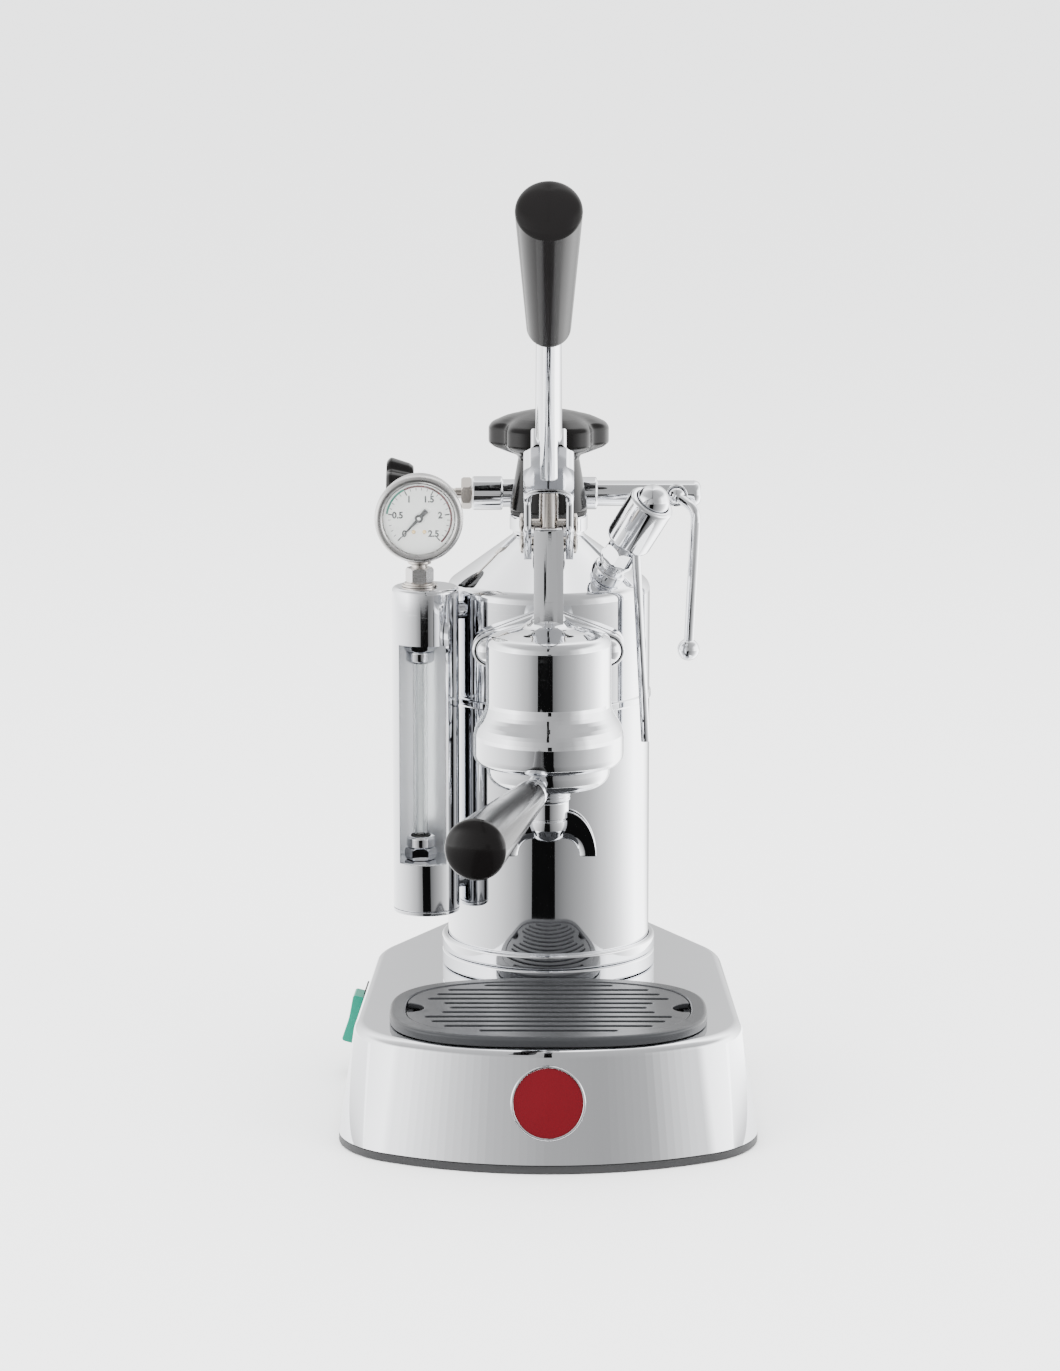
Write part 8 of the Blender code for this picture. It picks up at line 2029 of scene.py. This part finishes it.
@dataclass(frozen=True)
class Studio:
    """The pale floor, the soft light, what only reflections see, and the camera."""

    distance: float = 2.4
    camera_z: float = 0.66
    sensor: float = 36.0
    lens: float = 129.4
    aim: Vector = Vector((-9.2 * MM, 0.0, 197.6 * MM))
    room: float = 3.4
    near: float = 1.45
    lift: float = 0.4 * MM
    rise: tuple[float, float] = (1.3, 2.1)
    near_greys: tuple[tuple[float, float], ...] = (
        (-180, 1.0), (-170, 1.6), (-160, 3.6), (-131, 3.2), (-113, 2.7), (-98, 2.3), (-86, 1.95),
        (-64, 1.3), (-45, 0.85), (-35, 0.66), (-26, 0.36), (-18, 0.20), (7, 0.12), (17, 0.26),
        (26, 0.37), (45, 0.59), (64, 0.97), (75, 1.45), (86, 2.3), (98, 3.8), (113, 6.0),
        (135, 6.0), (160, 0.80), (180, 1.0))
    far_greys: tuple[tuple[float, float], ...] = (
        (-180, 0.9), (-150, 2.2), (-110, 3.2), (-64, 4.0), (-49, 2.3), (-35, 1.35), (-21, 0.81),
        (0, 0.53), (20, 0.48), (37, 0.63), (55, 1.65), (66, 4.0), (110, 5.5), (150, 2.4),
        (180, 0.9))
    high_greys: tuple[tuple[float, float], ...] = (
        (-180, 1.4), (-137, 3.2), (-105, 1.3), (-60, 0.78), (-20, 0.62), (0, 0.50), (20, 0.55),
        (60, 0.68), (105, 1.2), (137, 4.5), (180, 1.4))

    def ahead(self, heading: float, reach: float, z: float) -> Vector:
        """A point at a heading in degrees to the right of the front, a distance and a height."""
        angle = math.radians(heading)
        return Vector((reach * math.sin(angle), -reach * math.cos(angle), z))

    def build_floor(self) -> Piece:
        """A wide pale floor."""
        half, pale = 40.0, 0.9
        corners = [Vector((-half, -half)), Vector((half, -half)), Vector((half, half)),
                   Vector((-half, half))]
        floor = mesh_object("floor", [Vector((c.x, c.y, 0.0)) for c in corners], [[0, 1, 2, 3]])
        look = FinishLook((pale, pale, pale), (pale * 0.99,) * 3, 0.6, drift=2.0, grain=40.0,
                          relief=0.0, specular=0.0)
        floor.data.materials.append(PAINT.mix("floor_pale", look))
        return floor

    def ramp(self, made: NodeBench, share: Socket, greys: Sequence[tuple[float, float]]) -> Socket:
        """A ramp of greys by heading.

        Args:
            made: the bench it joins.
            share: the heading, as a share of the full turn.
            greys: (heading in degrees, grey), from the left round to the right.

        Returns:
            The ramp's colour.
        """
        node = made.node("ShaderNodeValToRGB", {"Fac": share})
        elements = node.color_ramp.elements
        elements.remove(elements[1])
        for i, (heading, grey) in enumerate(greys):
            spot = heading / 360 + 0.5
            element = elements.new(spot) if i else elements[0]
            element.position, element.color = spot, (grey, grey, grey, 1.0)
        return node.outputs["Color"]

    def room_material(self) -> bpy.types.Material:
        """What reflections see: bright to both sides and dimmer ahead, by the heading.

        Returns:
            The material.
        """
        material = bpy.data.materials.new("room")
        material.use_nodes = True
        material.cycles.emission_sampling = "NONE"
        made = NodeBench(material.node_tree)
        place = made.node("ShaderNodeTexCoord").outputs["Object"]
        parts = made.node("ShaderNodeSeparateXYZ", {0: place}).outputs
        heading = made.maths("ARCTAN2", parts["X"], made.maths("MULTIPLY", parts["Y"], -1.0))
        share = made.share(heading, -math.pi, math.pi)
        reach = made.node("ShaderNodeVectorMath", {0: place}, operation="LENGTH").outputs["Value"]
        near, far, high = (self.ramp(made, share, greys)
                           for greys in (self.near_greys, self.far_greys, self.high_greys))
        level = made.blend(made.share(reach, self.near, self.near * 1.04), near, far)
        whole = made.blend(made.share(parts["Z"], *self.rise), level, high)
        made.feed(made.tree.nodes["Principled BSDF"], {
            "Base Color": (0.0, 0.0, 0.0, 1.0), "Emission Strength": 1.0, "Emission Color": whole})
        return material

    def only_reflected(self, obj: Piece, material: bpy.types.Material) -> Piece:
        """Gives an object its material and hides it from all but reflections.

        Args:
            obj: the object.
            material: its material.

        Returns:
            The same object.
        """
        obj.data.materials.append(material)
        obj.visible_camera = obj.visible_diffuse = obj.visible_shadow = False
        obj.visible_transmission = False
        return obj

    def build_room(self) -> Piece:
        """The floor and the dome that reflections see."""
        line = [(0.2, self.lift), (0.6, self.lift), (self.near, self.lift), (self.room, self.lift)]
        line += [(self.room * math.cos(a), self.room * math.sin(a)) for a in fan(15)[1:]]
        loops = [[self.ahead(3.75 * i, reach, z) for i in range(96)] for reach, z in line]
        return self.only_reflected(skin("room", loops, caps=False), self.room_material())

    def strip(self, name: str, line: Sequence[tuple[float, float]], left: float,
              right: float) -> Piece:
        """A dark strip that only reflections see, between two headings.

        Args:
            name: the strip's name.
            line: (distance, height) along it.
            left: the heading of its left edge.
            right: the heading of its right edge.

        Returns:
            The strip.
        """
        points = [self.ahead(heading, reach, z) for reach, z in line for heading in (left, right)]
        faces = [[2 * i, 2 * i + 1, 2 * i + 3, 2 * i + 2] for i in range(len(line) - 1)]
        look = FinishLook((0.001, 0.001, 0.001), (0.002, 0.002, 0.002), 0.95, relief=0.0,
                          specular=0.0)
        return self.only_reflected(mesh_object(name, points, faces),
                                   PAINT.mix(f"{name}_dark", look))

    def softbox(self, name: str, place: Vector, size: tuple[float, float], power: float) -> None:
        """A soft rectangular light that faces the machine.

        Args:
            name: the light's name.
            place: where it is.
            size: its width and height.
            power: its power.
        """
        light = bpy.data.lights.new(name, "AREA")
        light.shape = "RECTANGLE"
        light.size, light.size_y = size
        light.energy = power
        obj = bpy.data.objects.new(name, light)
        obj.location = place
        obj.rotation_euler = (self.aim - place).to_track_quat("-Z", "Y").to_euler()
        obj.visible_glossy = False
        bpy.context.scene.collection.objects.link(obj)

    def build_camera(self) -> None:
        """The camera at the photograph's angle."""
        camera = bpy.data.cameras.new("camera")
        camera.sensor_fit, camera.sensor_width, camera.lens = "AUTO", self.sensor, self.lens
        obj = bpy.data.objects.new("camera", camera)
        obj.location = self.ahead(0.0, self.distance, self.camera_z)
        obj.rotation_euler = (self.aim - obj.location).to_track_quat("-Z", "Y").to_euler()
        bpy.context.scene.collection.objects.link(obj)
        bpy.context.scene.camera = obj

    def build(self) -> None:
        """Builds the studio."""
        low, wall = self.lift * 2, self.room * 0.99
        over = [(wall * math.cos(a), wall * math.sin(a))
                for a in [math.radians(28 + 6 * i) for i in range(9)]]
        strips = [
            self.strip("mat_near", [(0.2, low), (self.near, low)], -18.0, 7.0),
            self.strip("mat_line", [(1.55, low), (1.83, low)], -8.0, -4.0),
            self.strip("mat_far", [(1.9, low), (wall, low), (wall, 0.22)], -1.0, 5.0),
            self.strip("gap_over", over, -3.0, 1.0),
        ]
        self.build_floor()
        self.build_room()
        self.softbox("soft_left", Vector((-1.7, -1.9, 1.1)), (1.3, 2.0), 55.0)
        self.softbox("soft_right", Vector((1.9, -1.7, 1.2)), (1.1, 2.0), 38.0)
        self.softbox("soft_top", Vector((0.0, 0.2, 2.2)), (1.8, 1.8), 50.0)
        world = bpy.data.worlds.new("pale_room")
        world.use_nodes = True
        NodeBench(world.node_tree).feed(world.node_tree.nodes["Background"], {
            "Color": (0.99, 0.995, 1.0, 1.0), "Strength": 3.2})
        bpy.context.scene.world = world
        self.build_camera()


def main() -> None:
    """Builds the machine's sub-assemblies in order, then the studio."""
    logging.basicConfig(level=logging.INFO, format="%(message)s")
    for part in (Base(), DripTray(), Boiler(), Group(), Lever(), Portafilter(), FillerCap(),
                 SteamTap(), SafetyValve(), SightColumn(), Gauge(), InnerParts(), Studio()):
        LOG.info("building %s", type(part).__name__)
        part.build()


if __name__ == "__main__":
    main()
